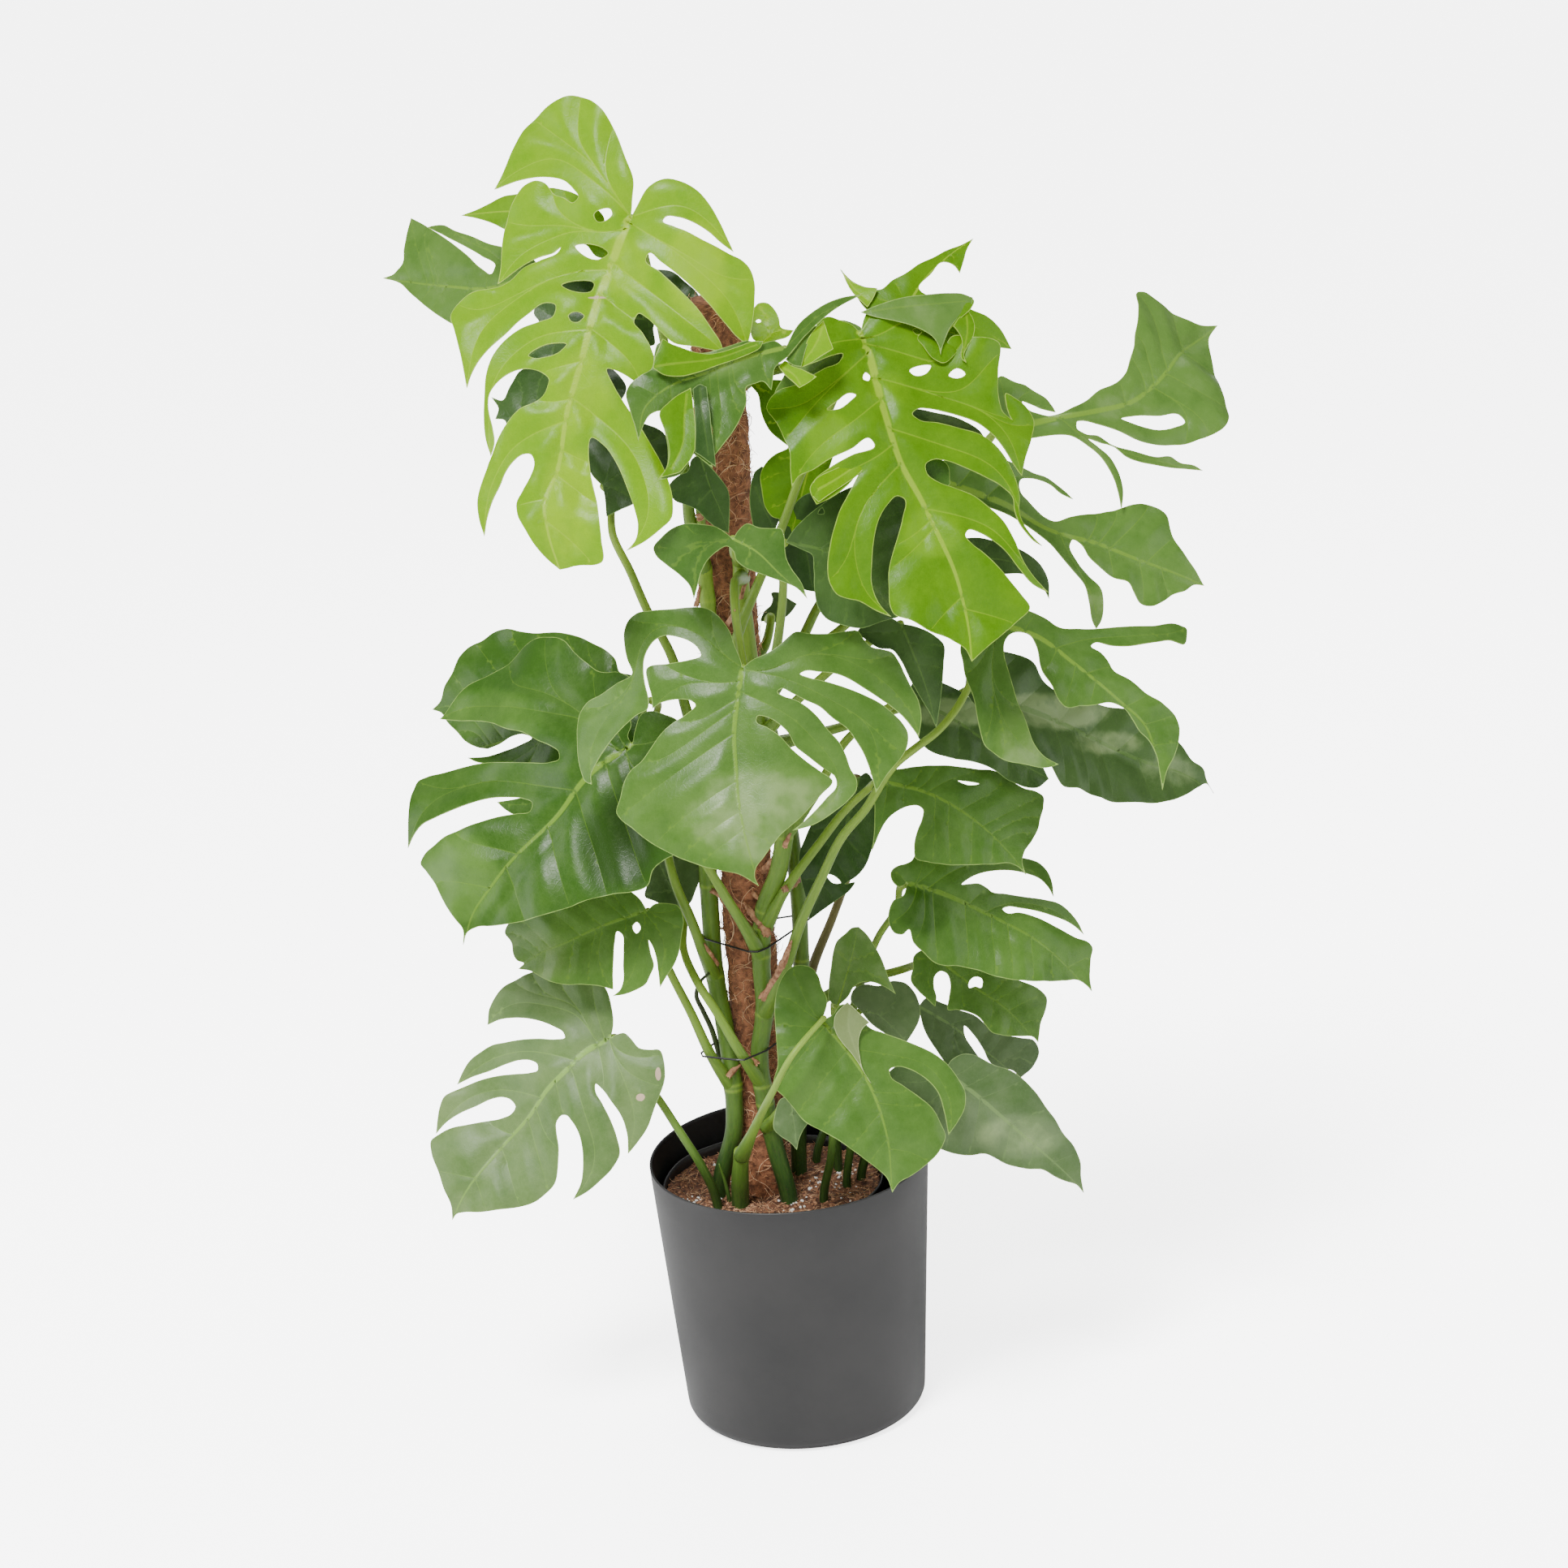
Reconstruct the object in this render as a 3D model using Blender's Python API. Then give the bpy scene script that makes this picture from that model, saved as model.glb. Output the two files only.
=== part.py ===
"""Potted swiss cheese plant on a coir pole, in a dark round pot.

Metres, +Z up. The origin is the centre of the pot's underside. Every place that was measured on the picture
of the plant is a pixel of its 1932 pixel square frame, and picture_point() turns it into a real place.
"""
import math

import bmesh
import bpy
import numpy as np
from mathutils import Vector
from mathutils.geometry import delaunay_2d_cdt

# Driving dimensions of the pots, the soil and the pole
POT_RIM_RADIUS = 0.150
POT_BASE_RADIUS = 0.130
POT_HEIGHT = 0.293
POT_WALL = 0.003
POT_FILLET = 0.016
POT_RIM_EDGE = 0.001
POT_SIDES = 48
LINER_CENTRE = (-0.019, 0.0)
LINER_RIM_RADIUS = 0.119
LINER_BASE_RADIUS = 0.086
LINER_TOP = 0.264
LINER_WALL = 0.0012
LINER_LIP = 0.0025
LINER_EDGE = 0.003
LINER_COLLAR = 0.009
LINER_TAPER = 0.0015
LINER_SLANT = 0.002
LINER_SIDES = 40
SOIL_TOP = 0.256
SOIL_RISE = 0.006
POLE_RADIUS = 0.028
POLE_FOOT = (-0.0335, 0.0, 0.030)
POLE_TIP = (-0.0080, 0.0, 1.232)
POLE_ROUGHNESS = 0.05
POLE_SIDES = 14
GAP = 0.0003
WELD = 0.00005
STEM_DEPTH = 0.045
ROOT_RISE = 0.004
STEM_CLEARANCE = 0.0015
STEM_SIDES = 8
STALK_SIDES = 6
STALK_END = 0.024
SEAT_GAP = 0.0004
BLADE_THICKNESS = 0.0012
GROOVE_DEPTH = 0.022
GROOVE_WIDTH = 0.10
RIB_DEPTH = 0.0035
RIB_WIDTH = 0.004
RIB_THINNING = 0.85
RIB_NARROWING = 0.6
OUTLINE_TOLERANCE = 0.0022
BLADE_GRID = 0.046
EDGE_MARGIN = 0.014
HOLE_MARGIN = 0.009
RIB_MARGIN = 0.020
RIB_EDGE_MARGIN = 0.006
ROUTE_TOLERANCE = 0.0007
TIE_RADIUS = 0.0011
TIE_CLEARANCE = 0.0010
TIE_SPACING = 0.004
TIE_STEPS = 26
TIE_SIDES = 5

# The viewpoint that the outlines were measured from, worked out from the pot's rim and base
PICTURE_CENTRE = 966.0
PICTURE_FOCUS = 5446.0
VIEW_DISTANCE = 4.6
VIEW_DIP = 0.344
VIEW_ROLL = -0.0757
VIEW_SIDE = 0.025
VIEW_HEIGHT = 0.713

EYE = np.array((VIEW_SIDE, -VIEW_DISTANCE * math.cos(VIEW_DIP), VIEW_HEIGHT + VIEW_DISTANCE * math.sin(VIEW_DIP)))
AHEAD = np.array((0.0, math.cos(VIEW_DIP), -math.sin(VIEW_DIP)))
LEVEL = np.array((1.0, 0.0, 0.0))
UPRIGHT = np.cross(LEVEL, AHEAD)
ACROSS = math.cos(VIEW_ROLL) * LEVEL + math.sin(VIEW_ROLL) * UPRIGHT
UPWARD = math.cos(VIEW_ROLL) * UPRIGHT - math.sin(VIEW_ROLL) * LEVEL

# Each blade: joint = where the stalk meets it, depth = its distance behind the pole's axis, turn and tilt = the
# way its upper face looks, sag = how far the sides and the tip drop as parts of the length, outline = the edge
# from the joint round, with * on each sharp tip, and holes and midrib likewise
BLADES = {
    "leaf_01": dict(
        joint="777,267", depth=-0.10, turn=-0.20, tilt=0.55, sag=(0.10, 0.10), end="690,702",
        outline="""780,250 783,228 772,196 758,162 740,133 722,121 705,118 682,127 660,144 648,158 635,182 622,208
            608,232* 640,222 672,219 696,224 708,235 714,245 708,250 694,243 682,238 672,226 660,223 645,230
            634,245 622,275 619,300 616,330 612,349* 626,339 645,326 664,316 682,310 690,303 688,308 666,320
            645,330 629,345 606,355 580,362 562,378 557,392 562,408 570,440 576,479* 582,464 590,450 601,436
            625,412 640,397 652,388 672,375 686,378 684,390 664,398 642,406 622,422 609,441 601,465 598,490
            596,510 597,540 603,560* 608,545 606,525 602,505 604,487 615,472 635,460 652,457 668,460 678,470
            674,484 660,497 642,507 625,525 609,549 600,575 592,600 589,616 591,640 597,661* 601,640 608,618
            618,597 622,585 632,570 645,561 656,562 660,571 656,588 646,607 638,622 640,636 650,655 662,675
            675,690 690,702* 716,698 744,692 743,668 740,640 735,615 730,590 726,560 730,541 745,550 760,571
            773,600 783,628 787,648 784,665 772,679* 795,669 815,656 830,641 831,624 826,600 815,572 801,547
            785,520 768,495 757,476 750,456 760,458 775,465 789,475* 800,464 808,450 804,432 793,412 781,394
            786,386 797,392 815,410 832,425 860,430 893,436* 889,424 877,405 861,382 838,358 814,336 797,321
            801,314 815,324 840,343 870,371 893,398 910,417 921,425* 926,400 929,370 928,345 922,328 912,319
            900,313 884,305 868,298 848,288 832,282 819,275 822,270 836,270 856,276 876,288 886,297 894,303
            903,309* 897,296 886,272 875,253 860,236 842,226 820,223 802,233 788,252""",
        holes=("733,266 742,260 753,259 755,266 746,273 736,273", "708,302 724,300 748,312 738,318 718,313",
               "692,351 710,345 731,349 728,357 705,359", "702,391 711,386 720,390 715,397 705,397",
               "653,440 665,430 684,425 700,427 692,435 672,442 658,443"),
        midrib="737,367 719,441 700,508 687,582 673,621 678,660"),
    "leaf_02": dict(
        joint="668,335", depth=0.10, turn=-0.60, tilt=0.65, sag=(0.10, 0.05), end="469,341",
        outline="""660,322 640,312 620,306 605,302 585,293 560,284 543,277 527,280* 550,292 575,305 595,317 612,331
            608,338 595,332 580,318 560,302 540,288 522,277 507,269* 503,285 499,305 495,322 486,334 469,341*
            488,346 505,361 525,378 545,392 562,401 590,405 620,398 645,375""",
        holes=(), midrib="610,355 550,352"),
    "leaf_03": dict(
        joint="742,598", depth=0.01, turn=-0.30, tilt=0.55, sag=(0.12, 0.08), end="610,516",
        outline="""745,612 747,636* 765,628 781,620 800,606 819,588 823,562 816,532 800,524 785,520 768,512
            761,500 768,490 772,479 765,465 745,450 720,446 690,449 665,450 640,458 630,473 619,493 605,489*
            614,506 610,516* 622,518 625,529* 645,538 668,550 700,565 722,573 731,587""",
        holes=(), midrib="700,560 655,530"),
    "leaf_04": dict(
        joint="1060,410", depth=-0.12, turn=0.25, tilt=0.60, sag=(0.08, 0.12), end="1196,817",
        outline="""1053,403 1036,397 1018,392 1006,401 996,424 986,451* 1005,446 1024,439 1038,437 1034,446
            1015,455 1000,464 986,474 974,478 962,481 951,489 944,502 951,517 963,537 971,556 973,580 975,602*
            983,588 1002,579 1021,567 1048,555 1070,544 1076,550 1048,562 1021,577 1003,592 997,603 1006,622*
            1030,609 1046,596 1059,581 1050,600 1043,613 1035,628 1029,645 1022,672 1020,700 1024,717 1033,731
            1046,735 1061,737 1083,749 1100,757* 1088,742 1077,715 1076,690 1078,660 1083,640 1094,621 1106,611
            1114,614 1112,638 1107,660 1100,684 1097,703 1097,725 1099,744 1104,755 1122,765 1142,777 1172,793
            1188,802 1196,817* 1212,802 1230,787 1250,769 1267,750 1257,737 1244,722 1228,703 1209,684 1195,672
            1188,661 1193,654 1205,658 1220,668 1236,682 1252,703 1270,722 1291,731* 1274,715 1260,697
            1248,670 1234,644 1217,626 1199,611 1176,601 1155,593 1142,583 1140,573 1150,567 1166,568 1190,577
            1215,589 1236,600 1248,611 1250,630 1255,646 1263,658 1272,668 1283,674* 1270,661 1261,647
            1256,630 1257,612 1254,597 1246,578 1234,560 1220,546 1204,536 1182,529 1156,522 1130,518
            1123,512 1130,505 1145,504 1165,508 1185,514 1205,523 1222,537 1238,556 1250,573 1260,585*
            1264,563 1271,540 1275,514 1266,502 1250,491 1238,486 1240,501 1247,516* 1236,507 1229,488
            1228,460 1228,428 1200,421 1170,418 1163,431 1160,446* 1149,438 1138,425 1130,418 1135,412
            1147,420 1152,431 1157,441* 1160,425 1168,410 1181,397 1195,383 1198,374 1190,368 1170,367 1145,365
            1121,367 1090,375 1070,383""",
        holes=("1018,508 1030,497 1046,487 1053,489 1046,497 1029,508", "1063,469 1067,459 1072,462 1069,470",
               "1121,457 1131,450 1148,449 1142,459 1126,461", "1169,463 1178,455 1189,462 1180,466",
               "1125,407 1130,404 1135,409 1129,413"),
        midrib="1075,452 1088,509 1107,566 1134,611 1158,663 1180,714 1191,760"),
    "leaf_05": dict(
        joint="968,428", depth=-0.20, turn=0.30, tilt=0.60, sag=(0.10, 0.08), end="786,544",
        outline="""955,420 938,423 920,420 900,426 870,434 840,432 822,424 811,424 806,436 803,454 790,462 778,471
            772,483 776,505 782,525 786,544* 793,524 803,509 814,505 819,530 823,555 821,576 810,592* 825,589
            838,585 848,572 853,559 858,561 868,569 878,577* 873,548 870,515 875,518 879,545 880,562* 890,549
            905,529 915,510 921,492 921,475 931,472 940,469 951,480* 953,465 954,455 970,440 991,415 1010,396
            1030,380 1063,362* 1040,366 1020,373 1000,385 985,398""",
        holes=("853,484 857,500 856,530 853,552 848,540 848,500",),
        midrib="920,440 870,458 820,478 795,502"),
    "leaf_06": dict(
        joint="1110,395", depth=0.0, turn=0.20, tilt=0.65, sag=(0.08, 0.06), end="1200,292",
        outline="""1095,388 1080,390 1067,381 1052,358 1035,331* 1053,347 1070,354 1084,357 1100,345 1115,338
            1132,326 1150,317 1167,307 1185,300 1200,292* 1192,306 1188,320 1183,336* 1174,325 1163,322
            1147,338 1132,356 1150,368 1180,376 1200,384 1215,390 1230,403 1246,431* 1228,429 1200,424
            1160,412 1130,402""",
        holes=(), midrib="1135,350 1165,318"),
    "leaf_07": dict(
        joint="1228,530", depth=0.05, turn=0.60, tilt=0.70, sag=(0.06, 0.05), end="1502,399",
        outline="""1222,515 1218,495 1222,475 1232,465 1248,474 1262,477 1277,487 1289,499 1298,511* 1285,509
            1270,503 1258,496 1262,505 1275,512 1290,515 1303,512 1320,503 1340,492 1355,480 1370,474 1385,462
            1391,445 1396,415 1400,380 1404,358 1412,358 1425,366 1450,380 1480,396 1502,399* 1495,410
            1496,440 1500,465 1501,485 1505,500 1507,520 1500,535 1485,541 1460,545 1430,545 1405,540 1380,530
            1350,523 1334,520 1324,523 1324,531 1334,537 1352,538 1370,546 1400,552 1430,558 1447,558
            1458,565 1475,570 1485,577* 1465,573 1445,571 1425,568 1405,565 1390,560 1377,550 1355,546 1338,544
            1350,553 1365,565 1377,585 1382,605 1380,630* 1376,610 1371,593 1363,578 1352,564 1336,553
            1318,543 1300,541 1270,541 1245,543""",
        holes=("1384,514 1400,510 1430,511 1455,513 1460,519 1449,525 1430,527 1410,523 1394,518",),
        midrib="1305,517 1350,505 1400,491 1425,472 1450,440"),
    "leaf_08": dict(
        joint="1150,590", depth=-0.005, turn=0.50, tilt=0.60, sag=(0.06, 0.05), end="1482,723",
        outline="""1152,575 1172,566 1200,565 1228,567 1250,573 1262,577 1276,582 1291,586 1306,595 1318,604
            1326,612* 1311,605 1298,595 1285,590 1270,588 1259,590 1256,598 1258,608 1266,616 1276,626
            1288,636 1300,641 1320,636 1345,632 1370,629 1385,625 1397,622 1409,621 1421,626 1432,637
            1437,655 1445,672 1458,692 1470,706 1482,723* 1470,722 1458,730 1445,733 1435,740 1420,746
            1408,742 1398,728 1392,718 1375,710 1355,697 1342,685 1333,668 1325,663 1320,670 1330,690
            1345,708 1358,722 1362,745 1358,765 1352,774* 1348,765 1345,740 1340,718 1325,701 1310,686
            1295,671 1278,657 1262,646 1240,634 1218,626 1195,620 1170,610""",
        holes=(), midrib="1200,607 1240,622 1290,650 1350,668 1400,690 1445,708"),
    "leaf_09": dict(
        joint="1150,695", depth=-0.07, turn=0.30, tilt=0.45, sag=(0.10, 0.06), end="1292,738",
        outline="""1158,678 1180,665 1205,662 1235,670 1262,682 1280,697 1290,715 1292,738* 1282,722 1262,709
            1235,708 1205,708 1170,714""",
        holes=(), midrib="1200,688 1250,695"),
    "leaf_10": dict(
        joint="1228,768", depth=-0.12, turn=0.40, tilt=0.65, sag=(0.06, 0.08), end="1436,970",
        outline="""1240,757 1262,752 1275,756 1286,763 1300,774 1330,775 1370,772 1420,769 1460,765 1467,768
            1467,780 1462,791 1445,786 1430,789 1410,793 1390,796 1370,795 1350,791 1344,797 1355,805 1365,815
            1372,828 1390,840 1410,855 1430,870 1445,883 1451,900 1452,915 1448,930 1441,945 1436,970*
            1432,950 1427,930 1415,911 1403,902 1395,890 1384,875 1370,869 1350,871 1330,873 1312,873 1303,865
            1292,846 1283,830 1277,810 1274,795 1268,783 1258,779 1246,781 1238,790 1236,808 1240,827 1247,850
            1257,875 1265,895 1275,915 1288,928 1308,938* 1292,943 1265,941 1245,938 1230,931 1215,920
            1208,905 1203,890 1197,865 1190,845 1185,825 1182,800 1190,782 1210,780""",
        holes=(), midrib="1275,785 1320,820 1370,860 1410,895"),
    "leaf_11": dict(
        joint="1190,850", depth=0.03, turn=0.50, tilt=0.55, sag=(0.10, 0.10), end="1500,975",
        outline="""1190,830 1198,812 1215,804 1237,805 1256,809 1271,818 1281,832 1300,850 1350,866 1400,880
            1440,900 1455,915 1470,935 1486,946 1490,957 1500,975* 1491,963 1480,968 1460,980 1435,989 1400,989
            1370,987 1350,980 1330,971 1312,967 1303,957 1295,945 1260,925 1220,900 1200,875""",
        holes=(), midrib="1260,872 1345,905 1420,940 1470,957"),
    "leaf_12": dict(
        joint="1120,858", depth=-0.05, turn=0.30, tilt=0.50, sag=(0.08, 0.08), end="1292,960",
        outline="""1124,842 1140,836 1162,842 1185,853 1208,878 1225,905 1250,925 1280,940 1292,960* 1277,971
            1262,969 1245,962 1228,951 1210,942 1190,938 1170,935 1152,930 1137,920 1128,905 1115,880""",
        holes=(), midrib="1170,885 1230,925"),
    "leaf_13": dict(
        joint="915,822", depth=-0.20, turn=-0.08, tilt=0.55, sag=(0.10, 0.10), end="935,1092",
        outline="""912,812 905,795 900,780 891,766 882,756 872,750 850,749 830,751 802,753 785,756 775,764
            770,777 770,795 773,812 779,830 760,842 740,855 722,864 714,876 711,893 711,915 713,937 717,953
            722,964 730,968* 729,955 736,940 746,924 757,909 771,894 785,882 798,874 799,860 795,843 793,826
            794,812 799,800 808,789 820,784 836,786 850,791 859,798 864,809 850,814 825,818 797,826 799,842
            803,858 804,873* 812,867 825,863 840,862 852,864 857,868 845,880 830,890 815,905 801,925 790,940
            778,952 770,968 766,985 761,1004 766,1011 780,1022 795,1034 815,1046 835,1056 850,1062 870,1069
            895,1075 910,1078 924,1085 935,1092* 930,1080 932,1069 941,1058 951,1043 961,1030 971,1020
            983,1009 996,995 1011,978 1025,960 1010,949 993,937 975,922 960,906 945,896 932,889 933,883
            946,884 960,892 972,904 979,918 995,931 1012,944 1029,957 1030,965 1017,982 1001,1000 988,1013
            976,1023* 1000,1016 1030,997 1046,984 1055,972 1055,959 1048,947 1042,930 1034,914 1020,899
            1008,884 995,872 980,863 965,858 958,853 963,849 975,854 990,862 1010,871 1025,884 1045,899
            1055,913 1063,926 1071,946 1079,976* 1090,958 1101,945 1110,934 1118,919 1118,902 1111,890
            1099,878 1084,866 1066,857 1040,847 1016,840 995,835 986,831 992,828 1010,829 1034,832 1048,838
            1063,847 1082,859 1099,871 1112,882 1122,894 1132,908* 1135,881 1131,862 1122,845 1114,829
            1107,814 1098,802 1086,799 1074,797 1065,789 1056,777 1043,778 1020,782 995,782 981,780 971,787
            961,796 945,806 928,813""",
        holes=(), midrib="910,850 906,880 904,905 906,940 909,980 916,1020 926,1060"),
    "leaf_14": dict(
        joint="778,918", depth=-0.08, turn=-0.40, tilt=0.55, sag=(0.10, 0.08), end="568,1163",
        outline="""774,906 779,896 779,884 787,868 789,852 784,840 774,833 762,829 750,829 736,826 720,815
            708,804 698,791 680,786 660,787 645,795 635,805 620,818 600,833 580,845 560,865 548,878 540,885*
            560,887 585,888 610,893 630,901 650,905 664,913 682,921 691,928 692,936 680,940 655,940 625,940
            595,941 567,945 542,952 525,957 515,963 512,975 508,1005 503,1045* 510,1032 520,1020 540,1010
            563,1000 582,992 602,985 622,982 642,983 654,989 652,998 635,1002 615,1007 595,1015 575,1023
            555,1032 540,1043 525,1054 519,1064 525,1073 533,1086 542,1102 552,1120 562,1135 567,1142
            568,1163* 573,1147 585,1141 605,1140 630,1137 655,1132 680,1126 700,1119 725,1110 755,1102
            780,1100 797,1092 805,1072 820,1060 838,1050 850,1020 855,985 850,945 842,910 834,887 820,881
            805,877 792,881 785,896""",
        holes=(), midrib="740,945 715,970 690,1000 650,1040 610,1085 580,1125"),
    "leaf_15": dict(
        joint="800,862", depth=0.05, turn=-0.40, tilt=0.55, sag=(0.10, 0.08), end="568,926",
        outline="""792,845 780,833 765,829 759,813 748,802 733,794 714,785 695,780 672,779 650,779 638,777
            622,774 610,779 598,789 583,798 573,810 562,828 550,846 542,862 530,873* 541,877 548,888 558,899
            572,913 585,919 597,921* 612,915 626,907 645,904 655,909 640,917 618,925 600,931 575,933* 585,938
            598,941 630,950 675,955 665,975 640,983 612,988* 622,997 634,1004 665,1004 710,990 755,955
            785,915 795,885""",
        holes=(), midrib="740,880 680,895 630,908"),
    "leaf_16": dict(
        joint="797,1122", depth=-0.06, turn=-0.35, tilt=0.55, sag=(0.10, 0.08), end="637,1193",
        outline="""806,1114 822,1113 835,1116 841,1130 839,1150 836,1174 830,1190 821,1204 814,1217* 811,1196
            808,1178 803,1164 799,1158 802,1175 806,1190 802,1202 797,1213 785,1220 770,1225 754,1227*
            764,1219 768,1208 768,1190 768,1168 765,1150 760,1147 757,1160 756,1182 755,1202 755,1219*
            740,1215 720,1213 695,1213 680,1210 665,1203 653,1196 637,1193* 644,1186 636,1183 631,1175
            628,1160 620,1148 632,1130 660,1118 700,1100 740,1090 775,1097 790,1110""",
        holes=("779,1141 784,1136 789,1143 784,1150",),
        midrib="765,1132 735,1143 700,1160 660,1177"),
    "leaf_17": dict(
        joint="838,1120", depth=-0.01, turn=-0.20, tilt=0.40, sag=(0.10, 0.08), end="808,1058",
        outline="""830,1116 818,1115 806,1110 795,1105 799,1087 805,1070 815,1060 836,1053 850,1062 861,1064
            863,1080 857,1098 851,1112 844,1118""",
        holes=(), midrib="830,1100 820,1080"),
    "leaf_18": dict(
        joint="752,1278", depth=-0.05, turn=-0.30, tilt=0.50, sag=(0.08, 0.08), end="557,1503",
        outline="""756,1263 754,1240 748,1220 735,1205 710,1196 680,1194 655,1198 638,1206 620,1216 608,1230
            601,1243 598,1262* 612,1256 630,1254 650,1255 668,1259 685,1266 696,1273 698,1279 688,1281
            665,1280 640,1281 620,1284 605,1287 590,1296 578,1306 568,1322 562,1336* 580,1326 600,1319
            620,1311 640,1306 655,1307 664,1312 665,1319 655,1322 635,1323 610,1325 590,1330 572,1338
            560,1344 549,1351 543,1365 540,1380 538,1397* 550,1383 565,1372 585,1362 600,1354 615,1351
            627,1355 633,1363 627,1372 615,1377 595,1381 575,1386 555,1391 542,1398 533,1406 534,1420
            540,1440 548,1462 557,1485 557,1503* 563,1496 575,1494 592,1494 615,1491 640,1487 660,1480
            672,1469 683,1456 687,1440 688,1415 687,1396 688,1383 694,1375 701,1375 709,1383 716,1396
            720,1415 720,1435 716,1457 705,1478* 725,1468 742,1455 757,1440 765,1423 763,1405 755,1380
            745,1360 736,1344 736,1336 743,1342 755,1357 768,1378 773,1397 774,1422* 785,1408 797,1390
            805,1367 812,1345 818,1323 816,1305 811,1293 800,1293 787,1291 778,1280 770,1273 762,1274""",
        holes=(), midrib="720,1298 700,1320 675,1345 655,1370 625,1402 600,1435 575,1472"),
    "leaf_19": dict(
        joint="1012,1258", depth=-0.15, turn=0.12, tilt=0.50, sag=(0.08, 0.10), end="1100,1469",
        outline="""1017,1245 1019,1233 1012,1216 1008,1202 1001,1193 990,1189 976,1191 965,1202 958,1218
            954,1240 955,1265 957,1290 958,1312 954,1338 966,1351 979,1366 992,1382 1012,1393 1040,1410
            1062,1426 1082,1441 1093,1451 1100,1469* 1108,1457 1122,1449 1140,1436 1154,1423 1162,1410
            1165,1401 1158,1383 1147,1364 1130,1350 1112,1337 1097,1326 1096,1318 1106,1314 1122,1318
            1141,1330 1155,1346 1163,1370 1169,1398* 1180,1382 1188,1365 1188,1345 1180,1330 1165,1310
            1150,1298 1130,1288 1110,1280 1090,1273 1072,1266 1058,1250 1048,1238 1036,1238 1026,1250""",
        holes=(), midrib="1040,1290 1072,1338 1086,1375 1095,1412 1098,1445"),
    "leaf_20": dict(
        joint="1032,1240", depth=-0.09, turn=0.15, tilt=0.30, sag=(0.08, 0.05), end="1057,1142",
        outline="""1022,1233 1021,1215 1024,1190 1027,1172 1031,1160 1042,1150 1050,1143 1058,1142* 1066,1149
            1076,1163 1086,1181 1094,1202 1104,1225* 1090,1216 1078,1211 1064,1210 1053,1215 1045,1228""",
        holes=(), midrib="1042,1205 1052,1170"),
    "leaf_21": dict(
        joint="1060,1245", depth=-0.05, turn=0.25, tilt=0.60, sag=(0.08, 0.05), end="1117,1284",
        outline="""1048,1232 1052,1219 1066,1213 1082,1215 1100,1209 1116,1212 1127,1224 1133,1240 1133,1255
            1126,1270 1117,1284* 1102,1280 1088,1272 1074,1262""",
        holes=(), midrib="1080,1250 1100,1266"),
    "leaf_22": dict(
        joint="1118,1088", depth=-0.08, turn=0.38, tilt=0.55, sag=(0.08, 0.08), end="1348,1220",
        outline="""1106,1093 1098,1085 1098,1073 1106,1067 1115,1065 1121,1062 1128,1052 1150,1045 1190,1048
            1235,1055 1265,1057 1280,1063 1290,1073 1297,1087 1300,1104* 1293,1092 1283,1082 1267,1075
            1248,1071 1225,1072 1205,1077 1190,1085 1184,1090 1195,1089 1207,1088 1217,1092 1224,1098
            1240,1100 1265,1104 1290,1108 1307,1113 1319,1122 1331,1136 1338,1150* 1327,1140 1317,1134
            1300,1128 1280,1122 1260,1118 1243,1116 1237,1119 1241,1124 1256,1124 1275,1130 1300,1142
            1325,1154 1343,1161 1347,1166 1346,1180 1344,1200 1348,1220* 1340,1212 1331,1207 1310,1209
            1285,1211 1260,1211 1235,1207 1215,1200 1200,1194 1180,1190 1165,1190 1150,1185 1138,1175
            1126,1161 1120,1145 1111,1152 1102,1150 1096,1138 1095,1122 1100,1110 1112,1104""",
        holes=(), midrib="1170,1104 1210,1121 1260,1150 1300,1180 1330,1205"),
    "leaf_23": dict(
        joint="1082,962", depth=-0.10, turn=0.35, tilt=0.55, sag=(0.08, 0.08), end="1265,1077",
        outline="""1072,952 1084,947 1105,948 1130,944 1155,943 1180,945 1205,948 1228,951 1245,961 1262,970
            1280,974 1288,979 1288,992 1284,1008 1280,1022 1272,1036 1262,1050 1260,1060 1265,1077* 1256,1068
            1247,1064 1225,1065 1200,1066 1170,1066 1145,1062 1128,1057 1127,1045 1130,1025 1136,1008
            1137,998 1130,993 1120,993 1108,998 1095,1008 1085,1025 1080,1038 1076,1048* 1078,1028 1078,1005
            1077,985 1074,972""",
        holes=("1180,962 1192,963 1206,966 1193,968",), midrib="1140,976 1200,1011 1235,1042 1252,1060"),
    "leaf_24": dict(
        joint="1152,1178", depth=-0.02, turn=0.38, tilt=0.50, sag=(0.08, 0.08), end="1280,1284",
        outline="""1165,1180 1200,1190 1240,1203 1265,1213 1280,1221 1287,1229 1286,1246 1281,1263 1280,1284*
            1274,1278 1255,1277 1235,1276 1221,1272 1214,1264 1205,1254 1190,1246 1178,1244 1168,1245
            1170,1228 1172,1212 1168,1199 1160,1196 1153,1202 1152,1215 1155,1228 1153,1240* 1143,1230
            1132,1220 1124,1208 1126,1192 1127,1178 1138,1170""",
        holes=("1195,1217 1196,1208 1203,1203 1210,1205 1209,1217 1203,1215",),
        midrib="1200,1215 1240,1245 1265,1270"),
    "leaf_25": dict(
        joint="1132,1240", depth=0.02, turn=0.38, tilt=0.45, sag=(0.08, 0.08), end="1258,1328",
        outline="""1140,1230 1160,1236 1180,1244 1202,1252 1215,1264 1232,1274 1255,1279 1273,1283 1279,1296
            1275,1311 1258,1328* 1249,1319 1235,1316 1223,1311 1212,1292 1200,1275 1188,1264 1189,1274
            1198,1290 1207,1303 1214,1313* 1195,1315 1176,1319 1161,1303 1148,1284 1137,1264""",
        holes=(), midrib="1170,1262 1215,1295 1240,1315"),
    "leaf_26": dict(
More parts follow.
